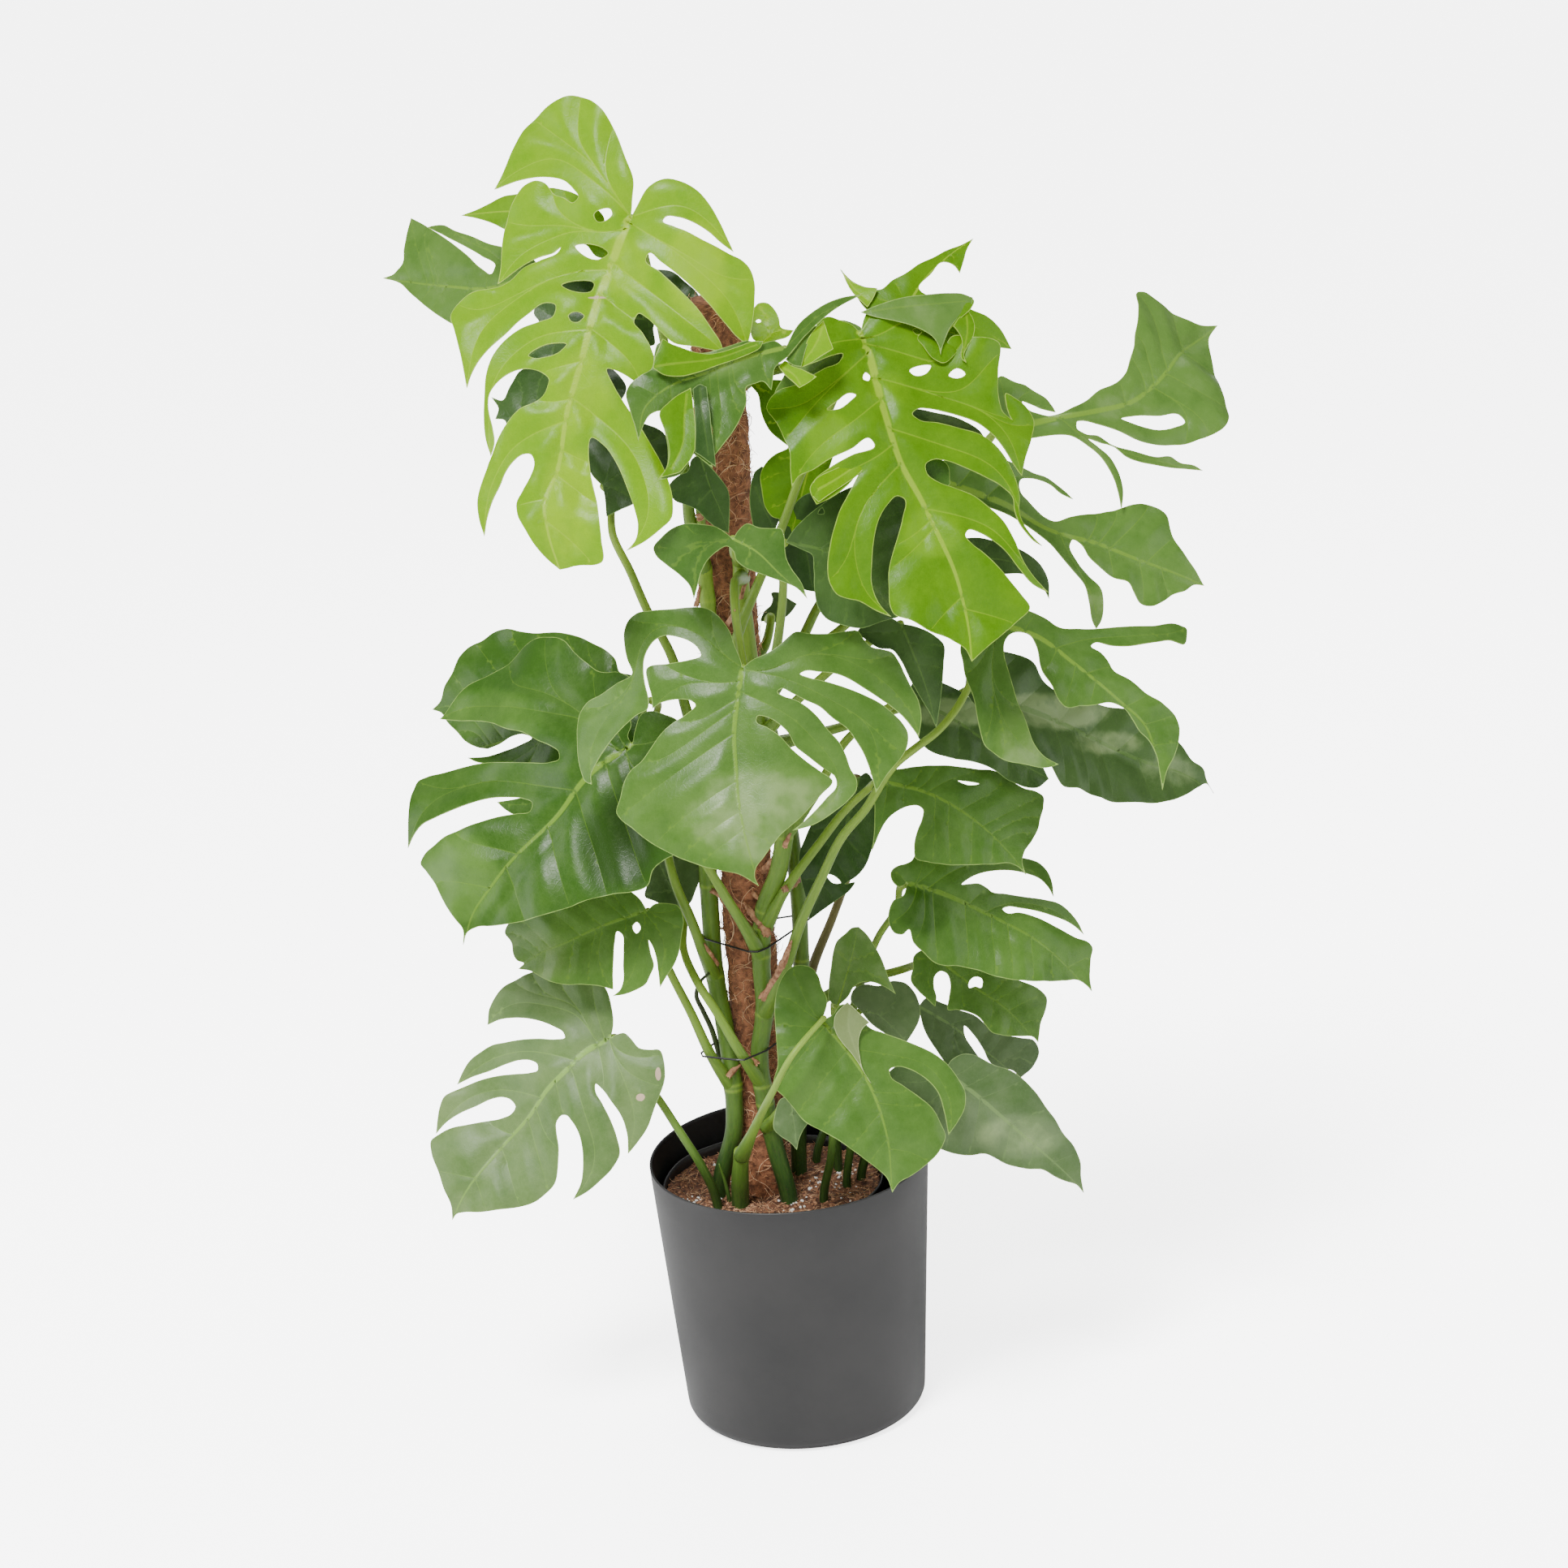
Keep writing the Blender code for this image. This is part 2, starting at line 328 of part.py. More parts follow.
        joint="1165,1322", depth=-0.07, turn=0.38, tilt=0.45, sag=(0.08, 0.10), end="1334,1470",
        outline="""1170,1308 1185,1299 1202,1301 1220,1311 1240,1318 1257,1328 1270,1342 1285,1360 1300,1380
            1314,1401 1325,1415 1330,1430 1330,1447 1334,1470* 1325,1460 1312,1456 1298,1450 1285,1442
            1265,1440 1245,1435 1230,1427 1215,1421 1200,1423 1180,1422 1162,1417 1140,1408 1118,1385
            1101,1352 1093,1328 1106,1313 1132,1311 1150,1316""",
        holes=(), midrib="1190,1340 1240,1380 1290,1425 1318,1452"),
    "leaf_27": dict(
        joint="1058,958", depth=0.04, turn=0.20, tilt=0.35, sag=(0.08, 0.08), end="998,1133",
        outline="""1067,952 1077,965 1079,985 1079,1010 1075,1045 1068,1065 1055,1080 1042,1089 1054,1087
            1048,1096 1035,1106 1015,1120 998,1133* 992,1110 985,1080 983,1055 990,1036 1000,1015 1018,991
            1036,970 1048,960""",
        holes=("1018,1077 1027,1079 1036,1088 1026,1088",), midrib="1045,1010 1025,1060 1008,1105"),
    "leaf_28": dict(
        joint="903,664", depth=-0.24, turn=0.0, tilt=0.35, sag=(0.08, 0.08), end="995,738",
        outline="""895,657 884,650 865,646 845,645 830,650 815,662 805,676 808,684 820,695 838,709 850,722
            855,738* 860,720 864,705 872,690 884,679 896,673 904,680 907,690 918,699 932,705 948,711 965,717
            981,724 995,738* 987,717 975,700 969,688 967,675 966,660 963,652 950,651 935,650 920,645 911,652""",
        holes=(), midrib="930,678 958,704"),
    "leaf_29": dict(
        joint="1110,768", depth=-0.13, turn=0.10, tilt=0.40, sag=(0.08, 0.08), end="1154,897",
        outline="""1098,762 1080,766 1065,770 1057,777 1070,791 1083,799 1099,801 1109,813 1121,837 1135,861
            1147,881 1154,897* 1158,870 1161,842 1163,815 1163,794 1150,782 1128,772""",
        holes=(), midrib="1125,805 1142,850"),
    "leaf_30": dict(
        joint="968,668", depth=-0.18, turn=0.22, tilt=0.42, sag=(0.08, 0.08), end="1107,760",
        outline="""976,655 992,638 1012,622 1040,604 1070,596 1105,605 1128,640 1130,690 1120,735 1107,760*
            1086,766 1060,774 1038,770 1020,763 1008,748 1004,725 1003,700 1001,684 988,677""",
        holes=("1008,633 1013,626 1015,633",), midrib="1020,680 1070,715"),
    "leaf_31": dict(
        joint="1012,500", depth=-0.04, turn=-0.10, tilt=0.35, sag=(0.08, 0.08), end="973,667",
        outline="""1005,485 985,474 955,468 925,474 934,486 938,508 948,530 970,549* 988,545 970,553 952,562
            937,585 939,606 943,625 952,637 964,641 970,652 973,667* 984,650 1000,620 1020,580 1030,540""",
        holes=(), midrib="1000,560 985,620"),
    "leaf_32": dict(
        joint="862,560", depth=-0.07, turn=0.0, tilt=0.30, sag=(0.08, 0.05), end="898,657",
        outline="""852,566 848,580 836,586 824,600 832,617 845,622 858,628 872,642 886,652 898,657* 899,630
            897,604 884,585 872,571""",
        holes=(), midrib="875,600 888,630"),
    "leaf_33": dict(
        joint="938,424", depth=0.0, turn=0.0, tilt=0.50, sag=(0.05, 0.05), end="978,407",
        outline="""928,418 925,400 928,382 934,374 944,373 954,381 960,393 962,403 978,407* 972,414 955,420
            945,425""",
        holes=("931,396 935,393 938,396 934,398",), midrib="952,410"),
    "leaf_34": dict(
        joint="975,1350", depth=-0.105, turn=0.10, tilt=0.45, sag=(0.08, 0.08), end="982,1417",
        outline="""985,1350 993,1368 996,1382 990,1392 985,1403 982,1417* 974,1408 962,1400 954,1392 955,1372
            962,1354""",
        holes=(), midrib="977,1375 981,1400"),
    "leaf_35": dict(
        joint="742,285", depth=0.02, turn=-0.40, tilt=0.60, sag=(0.08, 0.06), end="568,265",
        outline="""745,272 725,250 705,238 685,234 660,234 635,240 620,243 605,250 585,259 568,265* 590,270
            605,275 622,283 650,292 680,296 705,299 722,302 735,316 750,316 752,298""",
        holes=(), midrib="700,275 640,262"),
    "leaf_36": dict(
        joint="838,398", depth=0.045, turn=-0.05, tilt=0.50, sag=(0.08, 0.06), end="648,441",
        outline="""850,396 862,385 862,366 845,348 825,334 806,333 780,338 740,343 700,344 678,352 664,368
            657,385 664,396 655,420 648,441* 670,446 700,443 725,428 750,418 780,422 806,424 806,400
            822,391""",
        holes=(), midrib="790,392 730,395 680,415"),
    "leaf_37": dict(
        joint="945,764", depth=0.08, turn=0.20, tilt=0.40, sag=(0.08, 0.05), end="982,744",
        outline="""938,766 941,754 950,745 952,737 950,731 960,730 972,738 982,744* 976,753 966,762 955,767""",
        holes=(), midrib="962,752"),
}


def numbers(text):
    """The pixels in a line of text, and which of them are sharp tips."""
    words = text.split()
    spots = np.array([[float(part) for part in word.rstrip("*").split(",")] for word in words])
    sharp = [word.endswith("*") for word in words]
    return spots, sharp


def picture_rays(spots):
    spots = np.atleast_2d(spots)
    sideways = (spots[:, :1] - PICTURE_CENTRE) / PICTURE_FOCUS
    upwards = (PICTURE_CENTRE - spots[:, 1:2]) / PICTURE_FOCUS
    return AHEAD + sideways * ACROSS + upwards * UPWARD


def picture_point(across, down, depth):
    """The real place that shows at a pixel and lies at y = depth."""
    ray = picture_rays((across, down))[0]
    return EYE + ray * (depth - EYE[1]) / ray[1]


def pole_centre(height):
    part = (height - POLE_FOOT[2]) / (POLE_TIP[2] - POLE_FOOT[2])
    return POLE_FOOT[0] + part * (POLE_TIP[0] - POLE_FOOT[0])


def beside_pole(across, down, radius):
    """The real place at a pixel where a stem of this radius lies against the front half of the pole."""
    distance = POLE_RADIUS + radius + STEM_CLEARANCE
    depth = -distance
    for _ in range(8):
        place = picture_point(across, down, depth)
        offset = min(distance, abs(place[0] - pole_centre(place[2])))
        depth = -math.sqrt(distance * distance - offset * offset)
    return picture_point(across, down, depth)


def thin_line(points, tolerance):
    """The places in an open line that are needed to keep it within the tolerance."""
    kept = {0, len(points) - 1}
    stack = [(0, len(points) - 1)]
    while stack:
        start, end = stack.pop()
        chord = points[end] - points[start]
        worst, place = tolerance, None
        for index in range(start + 1, end):
            away = points[index] - points[start]
            along = min(1.0, max(0.0, float(away @ chord) / max(float(chord @ chord), 1e-12)))
            reach = float(np.linalg.norm(away - along * chord))
            if reach > worst:
                worst, place = reach, index
        if place is not None:
            kept.add(place)
            stack += [(start, place), (place, end)]
    return sorted(kept)


def crossing(loop):
    """The pairs of edges of a closed loop that cross each other."""
    starts, ends = loop, np.roll(loop, -1, axis=0)
    steps = ends - starts

    def side(origin, way, spots):
        return way[0] * (spots[:, 1] - origin[1]) - way[1] * (spots[:, 0] - origin[0])

    found = []
    for index in range(len(loop) - 2):
        others = np.arange(index + 2, len(loop) - (index == 0))
        apart = side(starts[index], steps[index], starts[others]) * side(starts[index], steps[index], ends[others])
        for other in others[apart < 0]:
            pair = np.array((starts[index], ends[index]))
            across = side(starts[other], steps[other], pair)
            if across[0] * across[1] < 0:
                found.append((index, int(other)))
    return found


def thin_outline(flat, sharp, tolerance):
    """Fewer points on a closed outline: the sharp tips, and those that shape it or keep it from crossing itself."""
    count = len(flat)
    tips = [index for index in range(count) if sharp[index]] + [count]
    closed = np.concatenate((flat, flat[:1]))
    kept = set()
    for start, end in zip(tips, tips[1:]):
        kept |= {start + index for index in thin_line(closed[start:end + 1], tolerance)}
    kept = sorted(kept - {count})
    for _ in range(8):
        pairs = crossing(flat[kept])
        ends = kept + [count]
        more = {(ends[edge] + ends[edge + 1]) // 2 for pair in pairs for edge in pair}
        if not more - set(kept):
            break
        kept = sorted(set(kept) | more)
    return flat[kept]


class Blade:
    """One leaf blade: its own flat frame (x across, y along the midrib) and the curved surface over it."""

    def __init__(self, name):
        facts = BLADES[name]
        across, down = numbers(facts["joint"])[0][0]
        turn, tilt = facts["turn"], facts["tilt"]
        self.facts = facts
        self.joint = picture_point(across, down, facts["depth"])
        self.normal = np.array((math.sin(turn) * math.cos(tilt), -math.cos(turn) * math.cos(tilt), math.sin(tilt)))
        ray = picture_rays(numbers(facts["end"])[0])[0]
        reach = ((self.joint - EYE) @ self.normal) / (ray @ self.normal)
        along = EYE + ray * reach - self.joint
        self.length = float(np.linalg.norm(along))
        self.along = along / self.length
        self.across = np.cross(self.along, self.normal)

    def height(self, flat):
        """How far the surface lies above the flat frame: a groove at the midrib, and sides and tip that sag."""
        side_sag, tip_sag = self.facts["sag"]
        across = flat[:, 0] / self.length
        along = flat[:, 1] / self.length
        groove = GROOVE_DEPTH * (1.0 - np.exp(-np.abs(across) / GROOVE_WIDTH))
        drop = side_sag * (2 * across) ** 2 + tip_sag * along * np.abs(along)
        return self.length * (groove - drop)

    def flatten(self, spots):
        """Where pixels of the picture fall in the flat frame."""
        rays = picture_rays(spots)
        lift = np.zeros(len(rays))
        for _ in range(16):
            reach = ((self.joint - EYE) @ self.normal + lift) / (rays @ self.normal)
            places = EYE + rays * reach[:, None] - self.joint
            flat = np.stack((places @ self.across, places @ self.along), axis=1)
            lift = lift + 0.6 * (self.height(flat) - lift)
        return flat

    def place(self, flat):
        lift = self.height(flat)
        return (self.joint + flat[:, :1] * self.across + flat[:, 1:2] * self.along + lift[:, None] * self.normal)


def inside(points, loop):
    """Which points lie inside a closed loop, by counting the edges that each one is left of."""
    x, y = points[:, 0], points[:, 1]
    result = np.zeros(len(points), bool)
    for (x0, y0), (x1, y1) in zip(loop, np.roll(loop, -1, axis=0)):
        if y0 == y1:
            continue
        crosses = (y0 > y) != (y1 > y)
        result ^= crosses & (x < (x1 - x0) * (y - y0) / (y1 - y0) + x0)
    return result


def edge_distance(points, loop):
    nearest = np.full(len(points), 9.0)
    for start, end in zip(loop, np.roll(loop, -1, axis=0)):
        step = end - start
        along = np.clip((points - start) @ step / max(step @ step, 1e-12), 0.0, 1.0)
        nearest = np.minimum(nearest, np.linalg.norm(points - start - along[:, None] * step, axis=1))
    return nearest


def blade_triangles(loops, chain, loose):
    """Triangles of the flat blade: inside the first loop and outside the other ones."""
    points, edges = [], []
    for loop in loops:
        base = len(points)
        points += [tuple(point) for point in loop]
        edges += [(base + index, base + (index + 1) % len(loop)) for index in range(len(loop))]
    base = len(points)
    points += [tuple(point) for point in chain]
    edges += [(base + index, base + index + 1) for index in range(len(chain) - 1)]
    points += [tuple(point) for point in loose]
    vectors = [Vector(point) for point in points]
    flat, _, faces, _, _, _ = delaunay_2d_cdt(vectors, edges, [], 0, 1e-5)
    flat = np.array([tuple(point) for point in flat])
    faces = np.array([tuple(face) for face in faces])
    middle = flat[faces].mean(axis=1)
    keep = inside(middle, loops[0])
    for hole in loops[1:]:
        keep &= ~inside(middle, hole)
    faces = faces[keep]
    used, faces = np.unique(faces, return_inverse=True)
    flat, faces = flat[used], faces.reshape(-1, 3)
    first, second, third = flat[faces[:, 0]], flat[faces[:, 1]], flat[faces[:, 2]]
    one, two = second - first, third - first
    turned = one[:, 0] * two[:, 1] - one[:, 1] * two[:, 0] < 0
    faces[turned] = faces[turned][:, ::-1]
    return flat, faces


def point_normals(places, faces):
    corners = places[faces]
    across = np.cross(corners[:, 1] - corners[:, 0], corners[:, 2] - corners[:, 0])
    total = np.zeros_like(places)
    for corner in range(3):
        np.add.at(total, faces[:, corner], across)
    return total / np.linalg.norm(total, axis=1)[:, None]


def midrib_points(blade):
    inner = blade.flatten(numbers(blade.facts["midrib"])[0])
    return [np.zeros(2)] + list(inner)


def make_blade(name, finish):
    """The blade as one closed solid: the upper face, the same face below it, and the edge between them."""
    blade = Blade(name)
    spots, sharp = numbers(blade.facts["outline"])
    flat = np.concatenate((np.zeros((1, 2)), blade.flatten(spots)))
    outline = thin_outline(flat, [True] + sharp, OUTLINE_TOLERANCE)
    holes = [blade.flatten(numbers(hole)[0]) for hole in blade.facts["holes"]]
    chain = [point for point in midrib_points(blade)
             if np.hypot(*point) > RIB_EDGE_MARGIN and edge_distance(point[None], outline)[0] > RIB_EDGE_MARGIN
             and inside(point[None], outline)[0]]
    chain = np.array(chain).reshape(-1, 2)
    low, high = outline.min(axis=0), outline.max(axis=0)
    grid = [(x, y)
            for row, x in enumerate(np.arange(low[0], high[0], BLADE_GRID))
            for y in np.arange(low[1] + (row % 2) * BLADE_GRID / 2, high[1], BLADE_GRID)]
    grid = np.array(grid)
    keep = inside(grid, outline) & (edge_distance(grid, outline) > EDGE_MARGIN)
    for hole in holes:
        keep &= ~inside(grid, hole) & (edge_distance(grid, hole) > HOLE_MARGIN)
    for spot in chain:
        keep &= np.linalg.norm(grid - spot, axis=1) > RIB_MARGIN
    spine = [np.zeros(2)] + list(chain)
    sides = []
    for before, here in zip(spine, spine[1:]):
        step = (here - before) / np.linalg.norm(here - before)
        side = np.array((-step[1], step[0])) * RIB_WIDTH * (1.0 - RIB_NARROWING * here[1] / blade.length)
        sides += [spot for spot in (here + side, here - side)
                  if edge_distance(spot[None], outline)[0] > RIB_EDGE_MARGIN / 2 and inside(spot[None], outline)[0]]
    flat, faces = blade_triangles([outline] + holes, chain, list(grid[keep]) + sides)
    places = blade.place(flat)
    normals = point_normals(places, faces)
    depth = np.full(len(flat), BLADE_THICKNESS / 2)
    for spot in list(chain) + [np.zeros(2)]:
        along = min(1.0, max(0.0, spot[1] / blade.length))
        near = np.linalg.norm(flat - spot, axis=1) < 1e-4
        depth[near] += RIB_DEPTH * (1.0 - RIB_THINNING * along)
    upper = places + normals * BLADE_THICKNESS / 2
    lower = places - normals * depth[:, None]
    count = len(places)
    directed = {(int(start), int(end)) for face in faces for start, end in zip(face, np.roll(face, -1))}
    rim = sorted(edge for edge in directed if (edge[1], edge[0]) not in directed)
    solid = [tuple(int(corner) for corner in face) for face in faces]
    solid += [tuple(int(corner) + count for corner in reversed(face)) for face in faces]
    for start, end in rim:
        solid += [(start, start + count, end + count), (start, end + count, end)]
    return make_object(name, np.concatenate((upper, lower)), solid, finish)


def make_object(name, places, faces, finish):
    mesh = bpy.data.meshes.new(name)
    mesh.from_pydata([tuple(map(float, place)) for place in places], [], faces)
    mesh.materials.append(finish)
    mesh.update()
    thing = bpy.data.objects.new(name, mesh)
    bpy.context.scene.collection.objects.link(thing)
    return thing


def make_finish(name, colour, roughness, metallic=0.0):
    finish = bpy.data.materials.new(name)
    finish.use_nodes = True
    shader = finish.node_tree.nodes["Principled BSDF"]
    shader.inputs["Base Color"].default_value = (*colour, 1.0)
    shader.inputs["Roughness"].default_value = roughness
    shader.inputs["Metallic"].default_value = metallic
    return finish


def smooth_route(route, steps):
    """A smooth curve through the points of a route, with so many steps between each two."""
    route = [np.array(point, float) for point in route]
    padded = [2 * route[0] - route[1]] + route + [2 * route[-1] - route[-2]]
    curve = []
    for before, start, end, after in zip(padded, padded[1:], padded[2:], padded[3:]):
        for step in range(steps):
            part = step / steps
            curve.append(0.5 * (2 * start + (end - before) * part
                                + (2 * before - 5 * start + 4 * end - after) * part ** 2
                                + (3 * start - before - 3 * end + after) * part ** 3))
    return curve + [route[-1]]


def tube_mesh(curve, radii, sides):
    """The rings and faces of a round bar along a curve, with flat ends."""
    curve = np.array(curve)
    ahead = np.gradient(curve, axis=0)
    ahead /= np.linalg.norm(ahead, axis=1)[:, None]
    side = np.cross(ahead[0], (0.3, 1.0, 0.2))
    side /= np.linalg.norm(side)
    places, faces = [], []
    for index, (centre, way, radius) in enumerate(zip(curve, ahead, radii)):
        side = side - (side @ way) * way
        side /= np.linalg.norm(side)
        other = np.cross(way, side)
        for corner in range(sides):
            angle = 2 * math.pi * corner / sides
            places.append(centre + radius * (math.cos(angle) * side + math.sin(angle) * other))
        if index:
            base = (index - 1) * sides
            for corner in range(sides):
                beside = (corner + 1) % sides
                faces.append((base + corner, base + beside, base + sides + beside, base + sides + corner))
    last = (len(curve) - 1) * sides
    faces.append(tuple(range(sides - 1, -1, -1)))
    faces.append(tuple(last + corner for corner in range(sides)))
    return places, faces


def make_tube(name, route, radii, sides, finish):
    """A round bar along a smooth route whose first and last stretches stay straight."""
    inner = smooth_route(route[1:-1], 4)
    curve = np.array([route[0]] + inner + [route[-1]])
    spread = np.interp(np.linspace(0, 1, len(curve)), np.linspace(0, 1, len(radii)), radii)
    kept = thin_line(curve, ROUTE_TOLERANCE)
    kept = sorted(set(kept) | {1, len(curve) - 2})
    return make_object(name, *tube_mesh(curve[kept], spread[kept], sides), finish)


def remove(things):
    for thing in things:
        bpy.data.objects.remove(thing)


def combine(base, others, operation):
    """Join other objects to the base, or cut them from it, and remove them."""
    group = bpy.data.collections.new("group")
    bpy.context.scene.collection.children.link(group)
    for thing in others:
        bpy.context.scene.collection.objects.unlink(thing)
        group.objects.link(thing)
    change = base.modifiers.new("change", "BOOLEAN")
    change.operation = operation
    change.operand_type = "COLLECTION"
    change.collection = group
    change.solver = "EXACT"
    bpy.context.view_layer.update()
    shape = bpy.data.meshes.new_from_object(base.evaluated_get(bpy.context.evaluated_depsgraph_get()))
    base.modifiers.clear()
    base.data = shape
    edit = bmesh.new()
    edit.from_mesh(shape)
    bmesh.ops.remove_doubles(edit, verts=edit.verts, dist=WELD)
    bmesh.ops.dissolve_degenerate(edit, edges=edit.edges, dist=WELD)
    bmesh.ops.triangulate(edit, faces=edit.faces)
    edit.to_mesh(shape)
    edit.free()
    remove(others)
    bpy.data.collections.remove(group)
    return base


def turned_shape(name, profile, sides, centre, finish):
    """A round vessel: a profile of (radius, height) points turned about an upright axis, with its ends on it."""
    places = [np.array((centre[0], centre[1], profile[0][1]))]
    for radius, height in profile[1:-1]:
        for corner in range(sides):
            angle = 2 * math.pi * corner / sides
            places.append((centre[0] + radius * math.cos(angle), centre[1] + radius * math.sin(angle), height))
    places.append((centre[0], centre[1], profile[-1][1]))
    faces = []
    for corner in range(sides):
        beside = (corner + 1) % sides
        faces.append((0, 1 + beside, 1 + corner))
        for ring in range(len(profile) - 3):
            base = 1 + ring * sides
            faces.append((base + corner, base + beside, base + sides + beside, base + sides + corner))
        last = 1 + (len(profile) - 3) * sides
        faces.append((last + corner, last + beside, len(places) - 1))
    return make_object(name, places, faces, finish)


def make_pot(finish):
    """The outer pot: a thin tapered wall on a flat round base with a rounded edge."""
    slope = (POT_RIM_RADIUS - POT_BASE_RADIUS) / POT_HEIGHT
    edge = [(POT_BASE_RADIUS - POT_FILLET * (1 - math.sin(angle)), POT_FILLET * (1 - math.cos(angle)))
            for angle in (0.0, math.pi / 6, math.pi / 3, math.pi / 2)]
    floor = POT_WALL
    profile = [(0.0, 0.0)] + edge
    profile += [(POT_RIM_RADIUS, POT_HEIGHT - POT_RIM_EDGE), (POT_RIM_RADIUS - POT_RIM_EDGE, POT_HEIGHT),
                (POT_RIM_RADIUS - POT_WALL, POT_HEIGHT)]
    profile += [(POT_BASE_RADIUS - POT_WALL + slope * POT_FILLET, POT_FILLET),
                (POT_BASE_RADIUS - POT_FILLET, floor), (0.0, floor)]
    return turned_shape("pot", profile, POT_SIDES, (0.0, 0.0), finish)


def make_liner(finish):
    """The grower's pot that stands inside the outer pot and holds the soil."""
    foot = POT_WALL + GAP
    inner = LINER_BASE_RADIUS - LINER_WALL - LINER_SLANT
    profile = [(0.0, foot), (LINER_BASE_RADIUS - LINER_EDGE, foot), (LINER_BASE_RADIUS, foot + LINER_EDGE),
               (LINER_RIM_RADIUS - LINER_TAPER, LINER_TOP - LINER_COLLAR - POT_RIM_EDGE),
               (LINER_RIM_RADIUS, LINER_TOP - LINER_COLLAR),
               (LINER_RIM_RADIUS, LINER_TOP), (LINER_RIM_RADIUS - LINER_LIP, LINER_TOP),
               (inner, foot + LINER_EDGE + LINER_WALL), (inner - LINER_EDGE, foot + LINER_WALL),
               (0.0, foot + LINER_WALL)]
    return turned_shape("nursery_pot", profile, LINER_SIDES, LINER_CENTRE, finish)


def make_soil(finish, plugs):
    """The soil: a plug with an uneven top, and plain holes where the pole and the stems stand."""
    draw = np.random.default_rng(4)
    foot = POT_WALL + GAP + LINER_WALL + GAP
    low = (LINER_BASE_RADIUS - LINER_WALL - LINER_SLANT, POT_WALL + GAP + LINER_EDGE + LINER_WALL)
    slope = (LINER_RIM_RADIUS - LINER_LIP - low[0]) / (LINER_TOP - low[1])
    side = low[0] + slope * (SOIL_TOP - SOIL_RISE - low[1]) - 2 * GAP
    profile = [(0.0, foot), (low[0] - LINER_EDGE - 2 * GAP, foot), (low[0] - 2 * GAP, low[1] + GAP),
               (side, SOIL_TOP - SOIL_RISE), (side * 0.80, SOIL_TOP), (side * 0.52, SOIL_TOP),
               (side * 0.25, SOIL_TOP), (0.0, SOIL_TOP)]
    soil = turned_shape("soil", profile, LINER_SIDES, LINER_CENTRE, finish)
    for vertex in soil.data.vertices:
        if vertex.co.z > SOIL_TOP - GAP:
            vertex.co.z -= SOIL_RISE * float(draw.random())
    return combine(soil, plugs, "DIFFERENCE")


def make_pole(finish):
    """The pole: a stiff core wrapped in coconut fibre, so its outside is a little uneven."""
    draw = np.random.default_rng(7)
    foot, tip = np.array(POLE_FOOT), np.array(POLE_TIP)
    curve = [foot + (tip - foot) * part for part in np.linspace(0, 1, 12)]
    pole = make_object("coir_pole", *tube_mesh(curve, [POLE_RADIUS] * len(curve), POLE_SIDES), finish)
    for vertex in pole.data.vertices:
        if vertex.co.z > SOIL_TOP:
            axis = pole_centre(vertex.co.z)
            shrink = 1.0 - POLE_ROUGHNESS * float(draw.random())
            vertex.co.x = axis + (vertex.co.x - axis) * shrink
            vertex.co.y *= shrink
    return pole


def pole_hole():
    foot, tip = np.array(POLE_FOOT), np.array(POLE_TIP)
    way = (tip - foot) / np.linalg.norm(tip - foot)
    curve = [foot - way * GAP, foot + way * 0.30]
    return make_object("hole", *tube_mesh(curve, [POLE_RADIUS + 2 * GAP] * 2, POLE_SIDES), None)


def route_places(text, radius):
    """A route in text: pixels that lie against the pole, or pixels with a depth."""
    places = []
    for word in text.split():
        parts = [float(part) for part in word.split(",")]
        places.append(beside_pole(*parts, radius) if len(parts) == 2 else picture_point(*parts))
    return places


def root_places(root):
    ground = np.array((*root, SOIL_TOP))
    return [ground - np.array((0.0, 0.0, STEM_DEPTH)), ground + np.array((0.0, 0.0, ROOT_RISE))]


def stalk_end(name):
    """The last two places of a stalk: square to the blade, with its flat end against the rib at the joint."""
    blade = Blade(name)
    if STALKS[name].get("in_front"):
        lift = BLADE_THICKNESS / 2 + 2 * SEAT_GAP
        return [blade.joint + blade.normal * STALK_END, blade.joint + blade.normal * lift]
    reach = BLADE_THICKNESS / 2 + RIB_DEPTH + SEAT_GAP
    return [blade.joint - blade.normal * STALK_END, blade.joint - blade.normal * reach]


def make_stem(name, finish):
    """A stem with the stalks that grow from it, joined to one body, and a plug of the hole it stands in."""
    facts = STEMS[name]
    radius = facts["radius"]
    route = root_places(facts["root"]) + route_places(facts["route"], radius)
    grown = [stalk for stalk in STALKS if STALKS[stalk]["stem"] == name]
    if facts.get("single"):
        route += stalk_end(grown[0])
        stem = make_tube(name, route, facts["widths"], STALK_SIDES, finish)
    else:
        stem = make_tube(name, route, (radius, radius, radius, radius * 0.8), STEM_SIDES, finish)
        stalks = []
        for stalk in grown:
            way = route_places(STALKS[stalk]["route"], radius) + stalk_end(stalk)
            stalks.append(make_tube(stalk + "_stalk", way, STALK_WIDTHS, STALK_SIDES, finish))
        combine(stem, stalks, "UNION")
    ground = np.array((*facts["root"], SOIL_TOP))
    up = np.array((0.0, 0.0, 1.0))
    sides = STALK_SIDES if facts.get("single") else STEM_SIDES
    wide = (facts["widths"][0] if facts.get("single") else radius) + 2 * GAP
    bore = [ground - up * (STEM_DEPTH + GAP), ground + up * 0.02]
    plug = make_object("hole", *tube_mesh(bore, [wide] * 2, sides), None)
    return stem, plug


